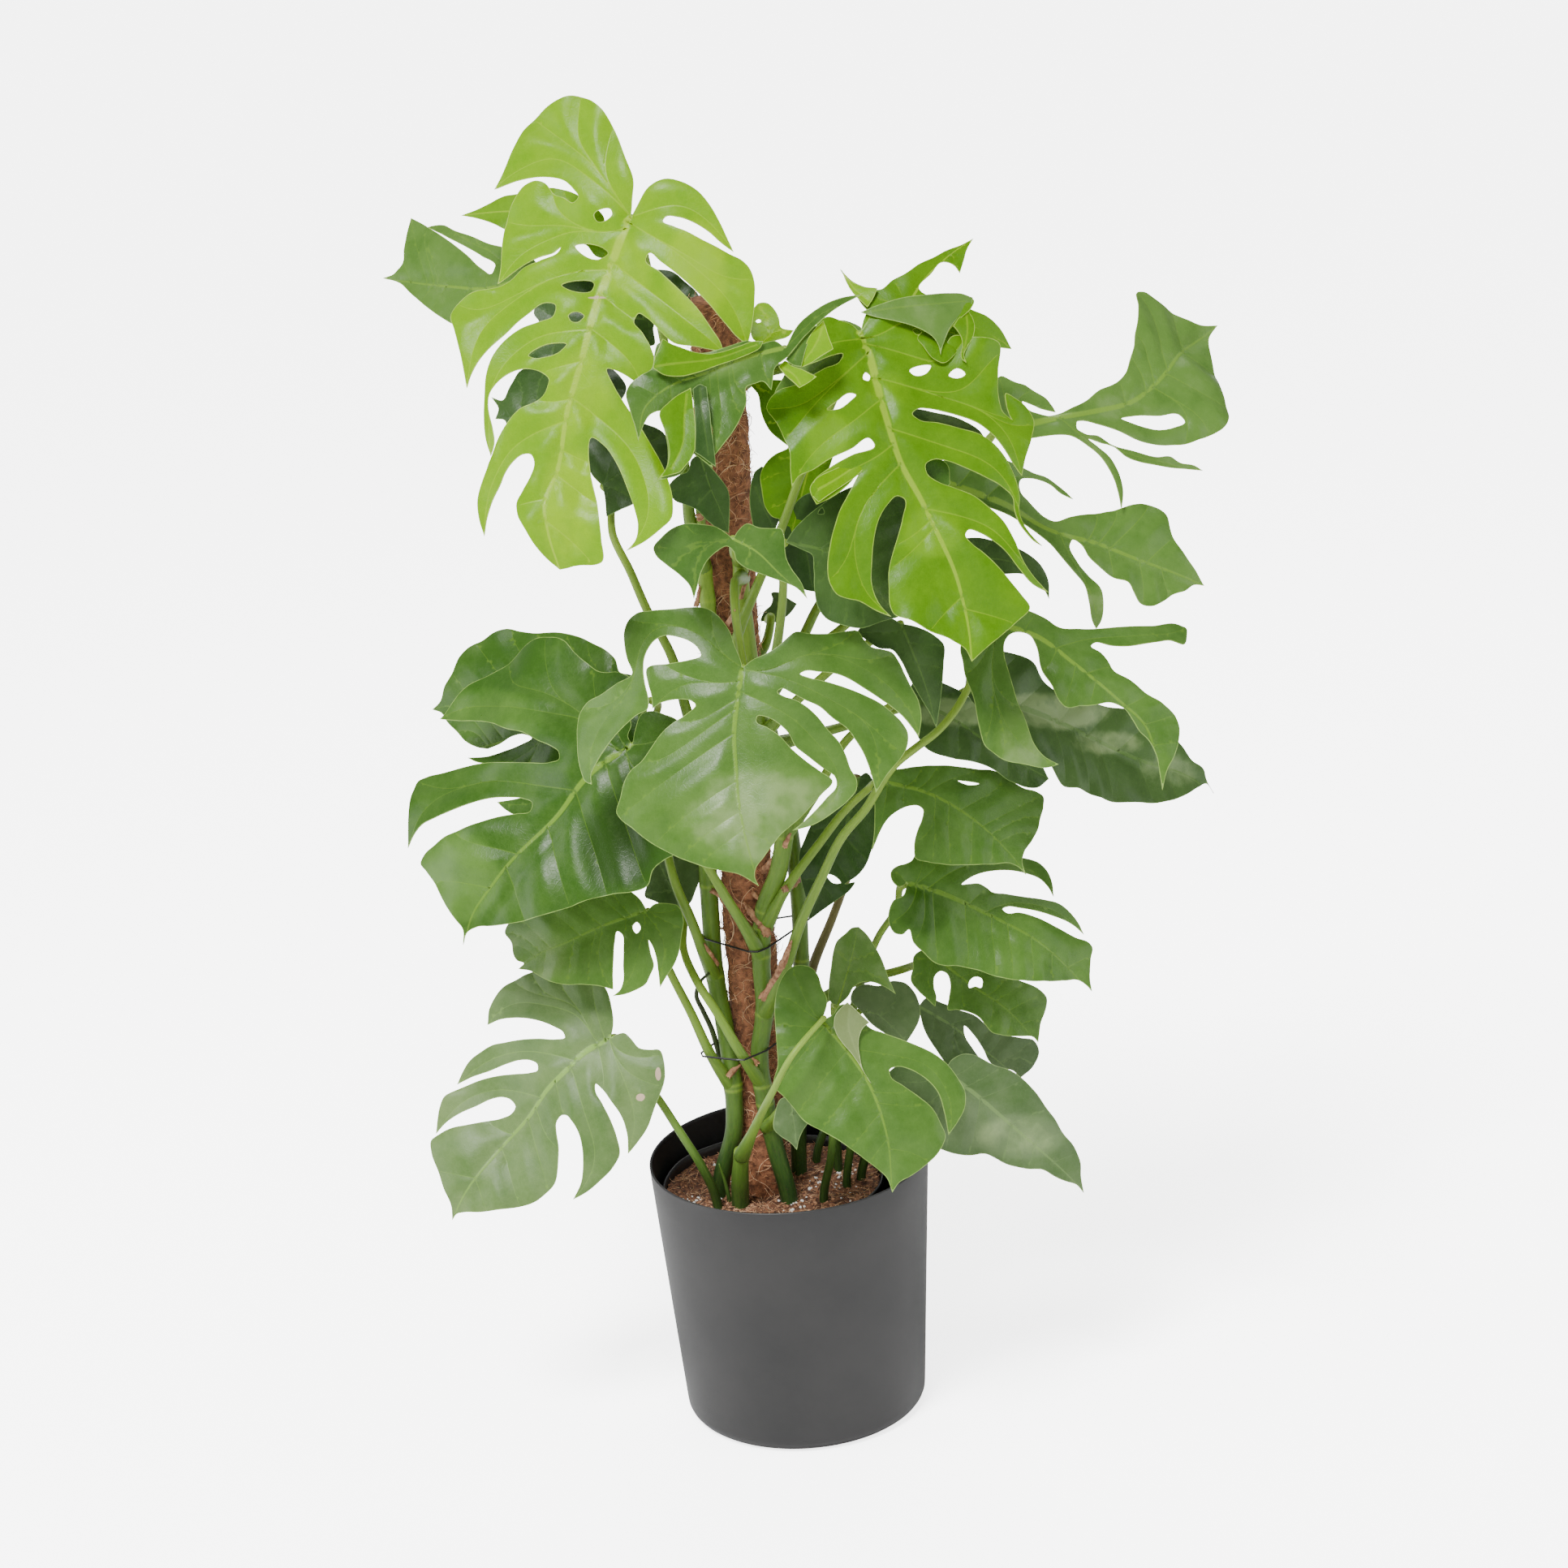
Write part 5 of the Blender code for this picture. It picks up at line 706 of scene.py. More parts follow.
        outline="""1240,757 1262,752 1275,756 1286,763 1300,774 1330,775 1370,772 1420,769 1460,765 1467,768
        1467,780 1462,791 1445,786 1430,789 1410,793 1390,796 1370,795 1350,791 1344,797 1355,805 1365,815
        1372,828 1390,840 1410,855 1430,870 1445,883 1451,900 1452,915 1448,930 1441,945 1436,970* 1432,950
        1427,930 1415,911 1403,902 1395,890 1384,875 1370,869 1350,871 1330,873 1312,873 1303,865 1292,846
        1283,830 1277,810 1274,795 1268,783 1258,779 1246,781 1238,790 1236,808 1240,827 1247,850 1257,875
        1265,895 1275,915 1288,928 1308,938* 1292,943 1265,941 1245,938 1230,931 1215,920 1208,905 1203,890
        1197,865 1190,845 1185,825 1182,800 1190,782 1210,780""",
        holes=(), midrib="1275,785 1320,820 1370,860 1410,895"),
    "leaf_11": dict(
        joint="1190,850", depth=0.03, turn=0.50, tilt=0.55, sag=(0.10, 0.10), end="1500,975",
        outline="""1190,830 1198,812 1215,804 1237,805 1256,809 1271,818 1281,832 1300,850 1350,866 1400,880
        1440,900 1455,915 1470,935 1486,946 1490,957 1500,975* 1491,963 1480,968 1460,980 1435,989 1400,989
        1370,987 1350,980 1330,971 1312,967 1303,957 1295,945 1260,925 1220,900 1200,875""",
        holes=(), midrib="1260,872 1345,905 1420,940 1470,957"),
    "leaf_12": dict(
        joint="1120,858", depth=-0.05, turn=0.30, tilt=0.50, sag=(0.08, 0.08), end="1292,960",
        outline="""1124,842 1140,836 1162,842 1185,853 1208,878 1225,905 1250,925 1280,940 1292,960* 1277,971
        1262,969 1245,962 1228,951 1210,942 1190,938 1170,935 1152,930 1137,920 1128,905 1115,880""",
        holes=(), midrib="1170,885 1230,925"),
    "leaf_13": dict(
        joint="915,822", depth=-0.20, turn=-0.08, tilt=0.55, sag=(0.10, 0.10), end="935,1092",
        outline="""912,812 905,795 900,780 891,766 882,756 872,750 850,749 830,751 802,753 785,756 775,764
        770,777 770,795 773,812 779,830 760,842 740,855 722,864 714,876 711,893 711,915 713,937 717,953
        722,964 730,968* 729,955 736,940 746,924 757,909 771,894 785,882 798,874 799,860 795,843 793,826
        794,812 799,800 808,789 820,784 836,786 850,791 859,798 864,809 850,814 825,818 797,826 799,842
        803,858 804,873* 812,867 825,863 840,862 852,864 857,868 845,880 830,890 815,905 801,925 790,940
        778,952 770,968 766,985 761,1004 766,1011 780,1022 795,1034 815,1046 835,1056 850,1062 870,1069
        895,1075 910,1078 924,1085 935,1092* 930,1080 932,1069 941,1058 951,1043 961,1030 971,1020 983,1009
        996,995 1011,978 1025,960 1010,949 993,937 975,922 960,906 945,896 932,889 933,883 946,884 960,892
        972,904 979,918 995,931 1012,944 1029,957 1030,965 1017,982 1001,1000 988,1013 976,1023* 1000,1016
        1030,997 1046,984 1055,972 1055,959 1048,947 1042,930 1034,914 1020,899 1008,884 995,872 980,863
        965,858 958,853 963,849 975,854 990,862 1010,871 1025,884 1045,899 1055,913 1063,926 1071,946
        1079,976* 1090,958 1101,945 1110,934 1118,919 1118,902 1111,890 1099,878 1084,866 1066,857 1040,847
        1016,840 995,835 986,831 992,828 1010,829 1034,832 1048,838 1063,847 1082,859 1099,871 1112,882
        1122,894 1132,908* 1135,881 1131,862 1122,845 1114,829 1107,814 1098,802 1086,799 1074,797 1065,789
        1056,777 1043,778 1020,782 995,782 981,780 971,787 961,796 945,806 928,813""",
        holes=(), midrib="910,850 906,880 904,905 906,940 909,980 916,1020 926,1060"),
    "leaf_14": dict(
        joint="778,918", depth=-0.08, turn=-0.40, tilt=0.55, sag=(0.10, 0.08), end="568,1163",
        outline="""774,906 779,896 779,884 787,868 789,852 784,840 774,833 762,829 750,829 736,826 720,815
        708,804 698,791 680,786 660,787 645,795 635,805 620,818 600,833 580,845 560,865 548,878 540,885*
        560,887 585,888 610,893 630,901 650,905 664,913 682,921 691,928 692,936 680,940 655,940 625,940
        595,941 567,945 542,952 525,957 515,963 512,975 508,1005 503,1045* 510,1032 520,1020 540,1010 563,1000
        582,992 602,985 622,982 642,983 654,989 652,998 635,1002 615,1007 595,1015 575,1023 555,1032 540,1043
        525,1054 519,1064 525,1073 533,1086 542,1102 552,1120 562,1135 567,1142 568,1163* 573,1147 585,1141
        605,1140 630,1137 655,1132 680,1126 700,1119 725,1110 755,1102 780,1100 797,1092 805,1072 820,1060
        838,1050 850,1020 855,985 850,945 842,910 834,887 820,881 805,877 792,881 785,896""",
        holes=(), midrib="740,945 715,970 690,1000 650,1040 610,1085 580,1125"),
    "leaf_15": dict(
        joint="800,862", depth=0.05, turn=-0.40, tilt=0.55, sag=(0.10, 0.08), end="568,926",
        outline="""792,845 780,833 765,829 759,813 748,802 733,794 714,785 695,780 672,779 650,779 638,777
        622,774 610,779 598,789 583,798 573,810 562,828 550,846 542,862 530,873* 541,877 548,888 558,899
        572,913 585,919 597,921* 612,915 626,907 645,904 655,909 640,917 618,925 600,931 575,933* 585,938
        598,941 630,950 675,955 665,975 640,983 612,988* 622,997 634,1004 665,1004 710,990 755,955 785,915
        795,885""",
        holes=(), midrib="740,880 680,895 630,908"),
    "leaf_16": dict(
        joint="797,1122", depth=-0.06, turn=-0.35, tilt=0.55, sag=(0.10, 0.08), end="637,1193",
        outline="""806,1114 822,1113 835,1116 841,1130 839,1150 836,1174 830,1190 821,1204 814,1217* 811,1196
        808,1178 803,1164 799,1158 802,1175 806,1190 802,1202 797,1213 785,1220 770,1225 754,1227* 764,1219
        768,1208 768,1190 768,1168 765,1150 760,1147 757,1160 756,1182 755,1202 755,1219* 740,1215 720,1213
        695,1213 680,1210 665,1203 653,1196 637,1193* 644,1186 636,1183 631,1175 628,1160 620,1148 632,1130
        660,1118 700,1100 740,1090 775,1097 790,1110""",
        holes=("779,1141 784,1136 789,1143 784,1150",),
        midrib="765,1132 735,1143 700,1160 660,1177"),
    "leaf_17": dict(
        joint="838,1120", depth=-0.01, turn=-0.20, tilt=0.40, sag=(0.10, 0.08), end="808,1058",
        outline="""830,1116 818,1115 806,1110 795,1105 799,1087 805,1070 815,1060 836,1053 850,1062 861,1064
        863,1080 857,1098 851,1112 844,1118""",
        holes=(), midrib="830,1100 820,1080"),
    "leaf_18": dict(
        joint="752,1278", depth=-0.05, turn=-0.30, tilt=0.50, sag=(0.08, 0.08), end="557,1503",
        outline="""756,1263 754,1240 748,1220 735,1205 710,1196 680,1194 655,1198 638,1206 620,1216 608,1230
        601,1243 598,1262* 612,1256 630,1254 650,1255 668,1259 685,1266 696,1273 698,1279 688,1281 665,1280
        640,1281 620,1284 605,1287 590,1296 578,1306 568,1322 562,1336* 580,1326 600,1319 620,1311 640,1306
        655,1307 664,1312 665,1319 655,1322 635,1323 610,1325 590,1330 572,1338 560,1344 549,1351 543,1365
        540,1380 538,1397* 550,1383 565,1372 585,1362 600,1354 615,1351 627,1355 633,1363 627,1372 615,1377
        595,1381 575,1386 555,1391 542,1398 533,1406 534,1420 540,1440 548,1462 557,1485 557,1503* 563,1496
        575,1494 592,1494 615,1491 640,1487 660,1480 672,1469 683,1456 687,1440 688,1415 687,1396 688,1383
        694,1375 701,1375 709,1383 716,1396 720,1415 720,1435 716,1457 705,1478* 725,1468 742,1455 757,1440
        765,1423 763,1405 755,1380 745,1360 736,1344 736,1336 743,1342 755,1357 768,1378 773,1397 774,1422*
        785,1408 797,1390 805,1367 812,1345 818,1323 816,1305 811,1293 800,1293 787,1291 778,1280 770,1273
        762,1274""",
        holes=(), midrib="720,1298 700,1320 675,1345 655,1370 625,1402 600,1435 575,1472"),
    "leaf_19": dict(
        joint="1012,1258", depth=-0.15, turn=0.12, tilt=0.50, sag=(0.08, 0.10), end="1100,1469",
        outline="""1017,1245 1019,1233 1012,1216 1008,1202 1001,1193 990,1189 976,1191 965,1202 958,1218
        954,1240 955,1265 957,1290 958,1312 954,1338 966,1351 979,1366 992,1382 1012,1393 1040,1410 1062,1426
        1082,1441 1093,1451 1100,1469* 1108,1457 1122,1449 1140,1436 1154,1423 1162,1410 1165,1401 1158,1383
        1147,1364 1130,1350 1112,1337 1097,1326 1096,1318 1106,1314 1122,1318 1141,1330 1155,1346 1163,1370
        1169,1398* 1180,1382 1188,1365 1188,1345 1180,1330 1165,1310 1150,1298 1130,1288 1110,1280 1090,1273
        1072,1266 1058,1250 1048,1238 1036,1238 1026,1250""",
        holes=(), midrib="1040,1290 1072,1338 1086,1375 1095,1412 1098,1445"),
    "leaf_20": dict(
        joint="1032,1240", depth=-0.09, turn=0.15, tilt=0.30, sag=(0.08, 0.05), end="1057,1142",
        outline="""1022,1233 1021,1215 1024,1190 1027,1172 1031,1160 1042,1150 1050,1143 1058,1142* 1066,1149
        1076,1163 1086,1181 1094,1202 1104,1225* 1090,1216 1078,1211 1064,1210 1053,1215 1045,1228""",
        holes=(), midrib="1042,1205 1052,1170"),
    "leaf_21": dict(
        joint="1060,1245", depth=-0.05, turn=0.25, tilt=0.60, sag=(0.08, 0.05), end="1117,1284",
        outline="""1048,1232 1052,1219 1066,1213 1082,1215 1100,1209 1116,1212 1127,1224 1133,1240 1133,1255
        1126,1270 1117,1284* 1102,1280 1088,1272 1074,1262""",
        holes=(), midrib="1080,1250 1100,1266"),
    "leaf_22": dict(
        joint="1118,1088", depth=-0.08, turn=0.38, tilt=0.55, sag=(0.08, 0.08), end="1348,1220",
        outline="""1106,1093 1098,1085 1098,1073 1106,1067 1115,1065 1121,1062 1128,1052 1150,1045 1190,1048
        1235,1055 1265,1057 1280,1063 1290,1073 1297,1087 1300,1104* 1293,1092 1283,1082 1267,1075 1248,1071
        1225,1072 1205,1077 1190,1085 1184,1090 1195,1089 1207,1088 1217,1092 1224,1098 1240,1100 1265,1104
        1290,1108 1307,1113 1319,1122 1331,1136 1338,1150* 1327,1140 1317,1134 1300,1128 1280,1122 1260,1118
        1243,1116 1237,1119 1241,1124 1256,1124 1275,1130 1300,1142 1325,1154 1343,1161 1347,1166 1346,1180
        1344,1200 1348,1220* 1340,1212 1331,1207 1310,1209 1285,1211 1260,1211 1235,1207 1215,1200 1200,1194
        1180,1190 1165,1190 1150,1185 1138,1175 1126,1161 1120,1145 1111,1152 1102,1150 1096,1138 1095,1122
        1100,1110 1112,1104""",
        holes=(), midrib="1170,1104 1210,1121 1260,1150 1300,1180 1330,1205"),
    "leaf_23": dict(
        joint="1082,962", depth=-0.10, turn=0.35, tilt=0.55, sag=(0.08, 0.08), end="1265,1077",
        outline="""1072,952 1084,947 1105,948 1130,944 1155,943 1180,945 1205,948 1228,951 1245,961 1262,970
        1280,974 1288,979 1288,992 1284,1008 1280,1022 1272,1036 1262,1050 1260,1060 1265,1077* 1256,1068
        1247,1064 1225,1065 1200,1066 1170,1066 1145,1062 1128,1057 1127,1045 1130,1025 1136,1008 1137,998
        1130,993 1120,993 1108,998 1095,1008 1085,1025 1080,1038 1076,1048* 1078,1028 1078,1005 1077,985
        1074,972""",
        holes=("1180,962 1192,963 1206,966 1193,968",), midrib="1140,976 1200,1011 1235,1042 1252,1060"),
    "leaf_24": dict(
        joint="1152,1178", depth=-0.02, turn=0.38, tilt=0.50, sag=(0.08, 0.08), end="1280,1284",
        outline="""1165,1180 1200,1190 1240,1203 1265,1213 1280,1221 1287,1229 1286,1246 1281,1263 1280,1284*
        1274,1278 1255,1277 1235,1276 1221,1272 1214,1264 1205,1254 1190,1246 1178,1244 1168,1245 1170,1228
        1172,1212 1168,1199 1160,1196 1153,1202 1152,1215 1155,1228 1153,1240* 1143,1230 1132,1220 1124,1208
        1126,1192 1127,1178 1138,1170""",
        holes=("1195,1217 1196,1208 1203,1203 1210,1205 1209,1217 1203,1215",),
        midrib="1200,1215 1240,1245 1265,1270"),
    "leaf_25": dict(
        joint="1132,1240", depth=0.02, turn=0.38, tilt=0.45, sag=(0.08, 0.08), end="1258,1328",
        outline="""1140,1230 1160,1236 1180,1244 1202,1252 1215,1264 1232,1274 1255,1279 1273,1283 1279,1296
        1275,1311 1258,1328* 1249,1319 1235,1316 1223,1311 1212,1292 1200,1275 1188,1264 1189,1274 1198,1290
        1207,1303 1214,1313* 1195,1315 1176,1319 1161,1303 1148,1284 1137,1264""",
        holes=(), midrib="1170,1262 1215,1295 1240,1315"),
    "leaf_26": dict(
        joint="1165,1322", depth=-0.07, turn=0.38, tilt=0.45, sag=(0.08, 0.10), end="1334,1470",
        outline="""1170,1308 1185,1299 1202,1301 1220,1311 1240,1318 1257,1328 1270,1342 1285,1360 1300,1380
        1314,1401 1325,1415 1330,1430 1330,1447 1334,1470* 1325,1460 1312,1456 1298,1450 1285,1442 1265,1440
        1245,1435 1230,1427 1215,1421 1200,1423 1180,1422 1162,1417 1140,1408 1118,1385 1101,1352 1093,1328
        1106,1313 1132,1311 1150,1316""",
        holes=(), midrib="1190,1340 1240,1380 1290,1425 1318,1452"),
    "leaf_27": dict(
        joint="1058,958", depth=0.04, turn=0.20, tilt=0.35, sag=(0.08, 0.08), end="998,1133",
        outline="""1067,952 1077,965 1079,985 1079,1010 1075,1045 1068,1065 1055,1080 1042,1089 1054,1087
        1048,1096 1035,1106 1015,1120 998,1133* 992,1110 985,1080 983,1055 990,1036 1000,1015 1018,991
        1036,970 1048,960""",
        holes=("1018,1077 1027,1079 1036,1088 1026,1088",), midrib="1045,1010 1025,1060 1008,1105"),
    "leaf_28": dict(
        joint="903,664", depth=-0.24, turn=0.0, tilt=0.35, sag=(0.08, 0.08), end="995,738",
        outline="""895,657 884,650 865,646 845,645 830,650 815,662 805,676 808,684 820,695 838,709 850,722
        855,738* 860,720 864,705 872,690 884,679 896,673 904,680 907,690 918,699 932,705 948,711 965,717
        981,724 995,738* 987,717 975,700 969,688 967,675 966,660 963,652 950,651 935,650 920,645 911,652""",
        holes=(), midrib="930,678 958,704"),
    "leaf_29": dict(
        joint="1110,768", depth=-0.13, turn=0.10, tilt=0.40, sag=(0.08, 0.08), end="1154,897",
        outline="""1098,762 1080,766 1065,770 1057,777 1070,791 1083,799 1099,801 1109,813 1121,837 1135,861
        1147,881 1154,897* 1158,870 1161,842 1163,815 1163,794 1150,782 1128,772""",
        holes=(), midrib="1125,805 1142,850"),
    "leaf_30": dict(
        joint="968,668", depth=-0.18, turn=0.22, tilt=0.42, sag=(0.08, 0.08), end="1107,760",
        outline="""976,655 992,638 1012,622 1040,604 1070,596 1105,605 1128,640 1130,690 1120,735 1107,760*
        1086,766 1060,774 1038,770 1020,763 1008,748 1004,725 1003,700 1001,684 988,677""",
        holes=("1008,633 1013,626 1015,633",), midrib="1020,680 1070,715"),
    "leaf_31": dict(
        joint="1012,500", depth=-0.04, turn=-0.10, tilt=0.35, sag=(0.08, 0.08), end="973,667",
        outline="""1005,485 985,474 955,468 925,474 934,486 938,508 948,530 970,549* 988,545 970,553 952,562
        937,585 939,606 943,625 952,637 964,641 970,652 973,667* 984,650 1000,620 1020,580 1030,540""",
        holes=(), midrib="1000,560 985,620"),
    "leaf_32": dict(
        joint="862,560", depth=-0.07, turn=0.0, tilt=0.30, sag=(0.08, 0.05), end="898,657",
        outline="""852,566 848,580 836,586 824,600 832,617 845,622 858,628 872,642 886,652 898,657* 899,630
        897,604 884,585 872,571""",
        holes=(), midrib="875,600 888,630"),
    "leaf_33": dict(
        joint="938,424", depth=0.0, turn=0.0, tilt=0.50, sag=(0.05, 0.05), end="978,407",
        outline="""928,418 925,400 928,382 934,374 944,373 954,381 960,393 962,403 978,407* 972,414 955,420
        945,425""",
        holes=("931,396 935,393 938,396 934,398",), midrib="952,410"),
    "leaf_34": dict(
        joint="975,1350", depth=-0.105, turn=0.10, tilt=0.45, sag=(0.08, 0.08), end="982,1417",
        outline="""985,1350 993,1368 996,1382 990,1392 985,1403 982,1417* 974,1408 962,1400 954,1392 955,1372
        962,1354""",
        holes=(), midrib="977,1375 981,1400"),
    "leaf_35": dict(
        joint="742,285", depth=0.02, turn=-0.40, tilt=0.60, sag=(0.08, 0.06), end="568,265",
        outline="""745,272 725,250 705,238 685,234 660,234 635,240 620,243 605,250 585,259 568,265* 590,270
        605,275 622,283 650,292 680,296 705,299 722,302 735,316 750,316 752,298""",
        holes=(), midrib="700,275 640,262"),
    "leaf_36": dict(
        joint="838,398", depth=0.045, turn=-0.05, tilt=0.50, sag=(0.08, 0.06), end="648,441",
        outline="""850,396 862,385 862,366 845,348 825,334 806,333 780,338 740,343 700,344 678,352 664,368
        657,385 664,396 655,420 648,441* 670,446 700,443 725,428 750,418 780,422 806,424 806,400 822,391""",
        holes=(), midrib="790,392 730,395 680,415"),
    "leaf_37": dict(
        joint="945,764", depth=0.08, turn=0.20, tilt=0.40, sag=(0.08, 0.05), end="982,744",
        outline="""938,766 941,754 950,745 952,737 950,731 960,730 972,738 982,744* 976,753 966,762
        955,767""",
        holes=(), midrib="962,752"),
}

# The fold along the midrib: its depth and width as parts of the leaf's length
GROOVE_DEPTH, GROOVE_WIDTH = 0.022, 0.10
FLATTEN_ROUNDS, FLATTEN_PACE = 16, 0.6


def pixels(text):
    """The pixels in a line of text, and which of them are sharp tips."""
    words = text.split()
    spots = [[float(part) for part in word.rstrip("*").split(",")] for word in words]
    return np.array(spots), [word.endswith("*") for word in words]


class Blade:
    """The flat frame of one leaf (x across, y along the midrib) and the curved surface over it."""

    def __init__(self, name):
        self.facts = BLADES[name]
        turn, tilt = self.facts["turn"], self.facts["tilt"]
        self.joint = picture_point(*pixels(self.facts["joint"])[0][0], self.facts["depth"])
        self.normal = np.array((math.sin(turn) * math.cos(tilt), -math.cos(turn) * math.cos(tilt),
                                math.sin(tilt)))
        ray = picture_rays(pixels(self.facts["end"])[0])[0]
        along = EYE + ray * (((self.joint - EYE) @ self.normal) / (ray @ self.normal)) - self.joint
        self.length = float(np.linalg.norm(along))
        self.along = along / self.length
        self.across = np.cross(self.along, self.normal)

    def height(self, flat):
        """How far the curved surface lies above the flat frame."""
        side_sag, tip_sag = self.facts["sag"]
        across, along = flat[:, 0] / self.length, flat[:, 1] / self.length
        groove = GROOVE_DEPTH * (1.0 - np.exp(-np.abs(across) / GROOVE_WIDTH))
        return self.length * (groove - side_sag * (2 * across) ** 2 - tip_sag * along * np.abs(along))

    def flatten(self, spots):
        """Where pixels of the picture fall in the flat frame."""
        rays = picture_rays(spots)
        lift = np.zeros(len(rays))
        for _ in range(FLATTEN_ROUNDS):
            reach = ((self.joint - EYE) @ self.normal + lift) / (rays @ self.normal)
            away = EYE + rays * reach[:, None] - self.joint
            flat = np.stack((away @ self.across, away @ self.along), axis=1)
            lift = lift + FLATTEN_PACE * (self.height(flat) - lift)
        return flat

    def place(self, flat, extra):
        """The real places of points in the flat frame, this far above the curved surface."""
        lift = self.height(flat) + extra
        level = self.joint + flat[:, :1] * self.across + flat[:, 1:2] * self.along
        return level + lift[:, None] * self.normal


# Climbing stems and leaf stalks
# Thick jointed green stems climb the pole, dark near the soil. Long smooth stalks grow from their joints, wide
# and sheathing at the foot, with a short pale knee where they meet the blade. Young shoots come straight from
# the soil. A route is pixels, each with a depth (y) where it does not lie against the pole.
STEMS = {
    "stem_front": dict(root=(-0.003, -0.040), radius=0.0095,
                       route="""956,1416 943,1359 936,1295 942,1247 938,1183 942,1120 960,1070,-0.055
                           966,1020,-0.058 955,960,-0.05 940,900 928,840 920,780 914,725 911,665"""),
    "stem_left": dict(root=(-0.076, -0.010), radius=0.0095,
                      route="""905,1385 903,1333 893,1263 881,1200 876,1136 873,1088 870,1000 872,900 875,820
                          872,740 866,690"""),
    "stem_short": dict(root=(-0.055, -0.041), radius=0.0095, route="912,1446,-0.052 914,1418,-0.062"),
    "stem_back": dict(root=(0.010, 0.032), radius=0.0085,
                      route="""985,1330,0.032 987,1180,0.03 984,1110,0.03 970,1000,0.032 948,900,0.037
                          925,800,0.040 913,700,0.040 905,600,0.041 900,500,0.042 896,430,0.042"""),
    "shoot_left": dict(root=(-0.080, -0.040), radius=0.0055, single=True,
                       widths=(0.0055, 0.0050, 0.0045, 0.0040, 0.0038),
                       route="865,1438,-0.055 838,1395,-0.062 810,1352,-0.055 780,1312,-0.035"),
    "shoot_middle": dict(root=(0.034, -0.045), radius=0.005, single=True,
                         widths=(0.0055, 0.0045, 0.0040, 0.0036, 0.0034),
                         route="1024,1425,-0.055 1028,1360,-0.065 1032,1300,-0.075"),
    "shoot_grey": dict(root=(0.060, -0.010), radius=0.005, single=True,
                       widths=(0.0050, 0.0045, 0.0040, 0.0036, 0.0034),
                       route="1050,1400,-0.015 1056,1330,-0.02"),
    "shoot_tall": dict(root=(0.052, 0.030), radius=0.005, single=True,
                       widths=(0.0055, 0.0050, 0.0045, 0.0038, 0.0036),
                       route="1030,1330,0.01 1055,1230,-0.005 1083,1153,-0.035 1106,1116,-0.05"),
    "shoot_back": dict(root=(0.030, 0.060), radius=0.005, single=True,
                       widths=(0.0050, 0.0045, 0.0040, 0.0036, 0.0034),
                       route="1040,1350,0.06 1090,1285,0.06"),
    "shoot_right": dict(root=(0.076, 0.002), radius=0.005, single=True,
                        widths=(0.0055, 0.0050, 0.0045, 0.0040, 0.0038),
                        route="1085,1390,-0.01 1125,1350,-0.03"),
}

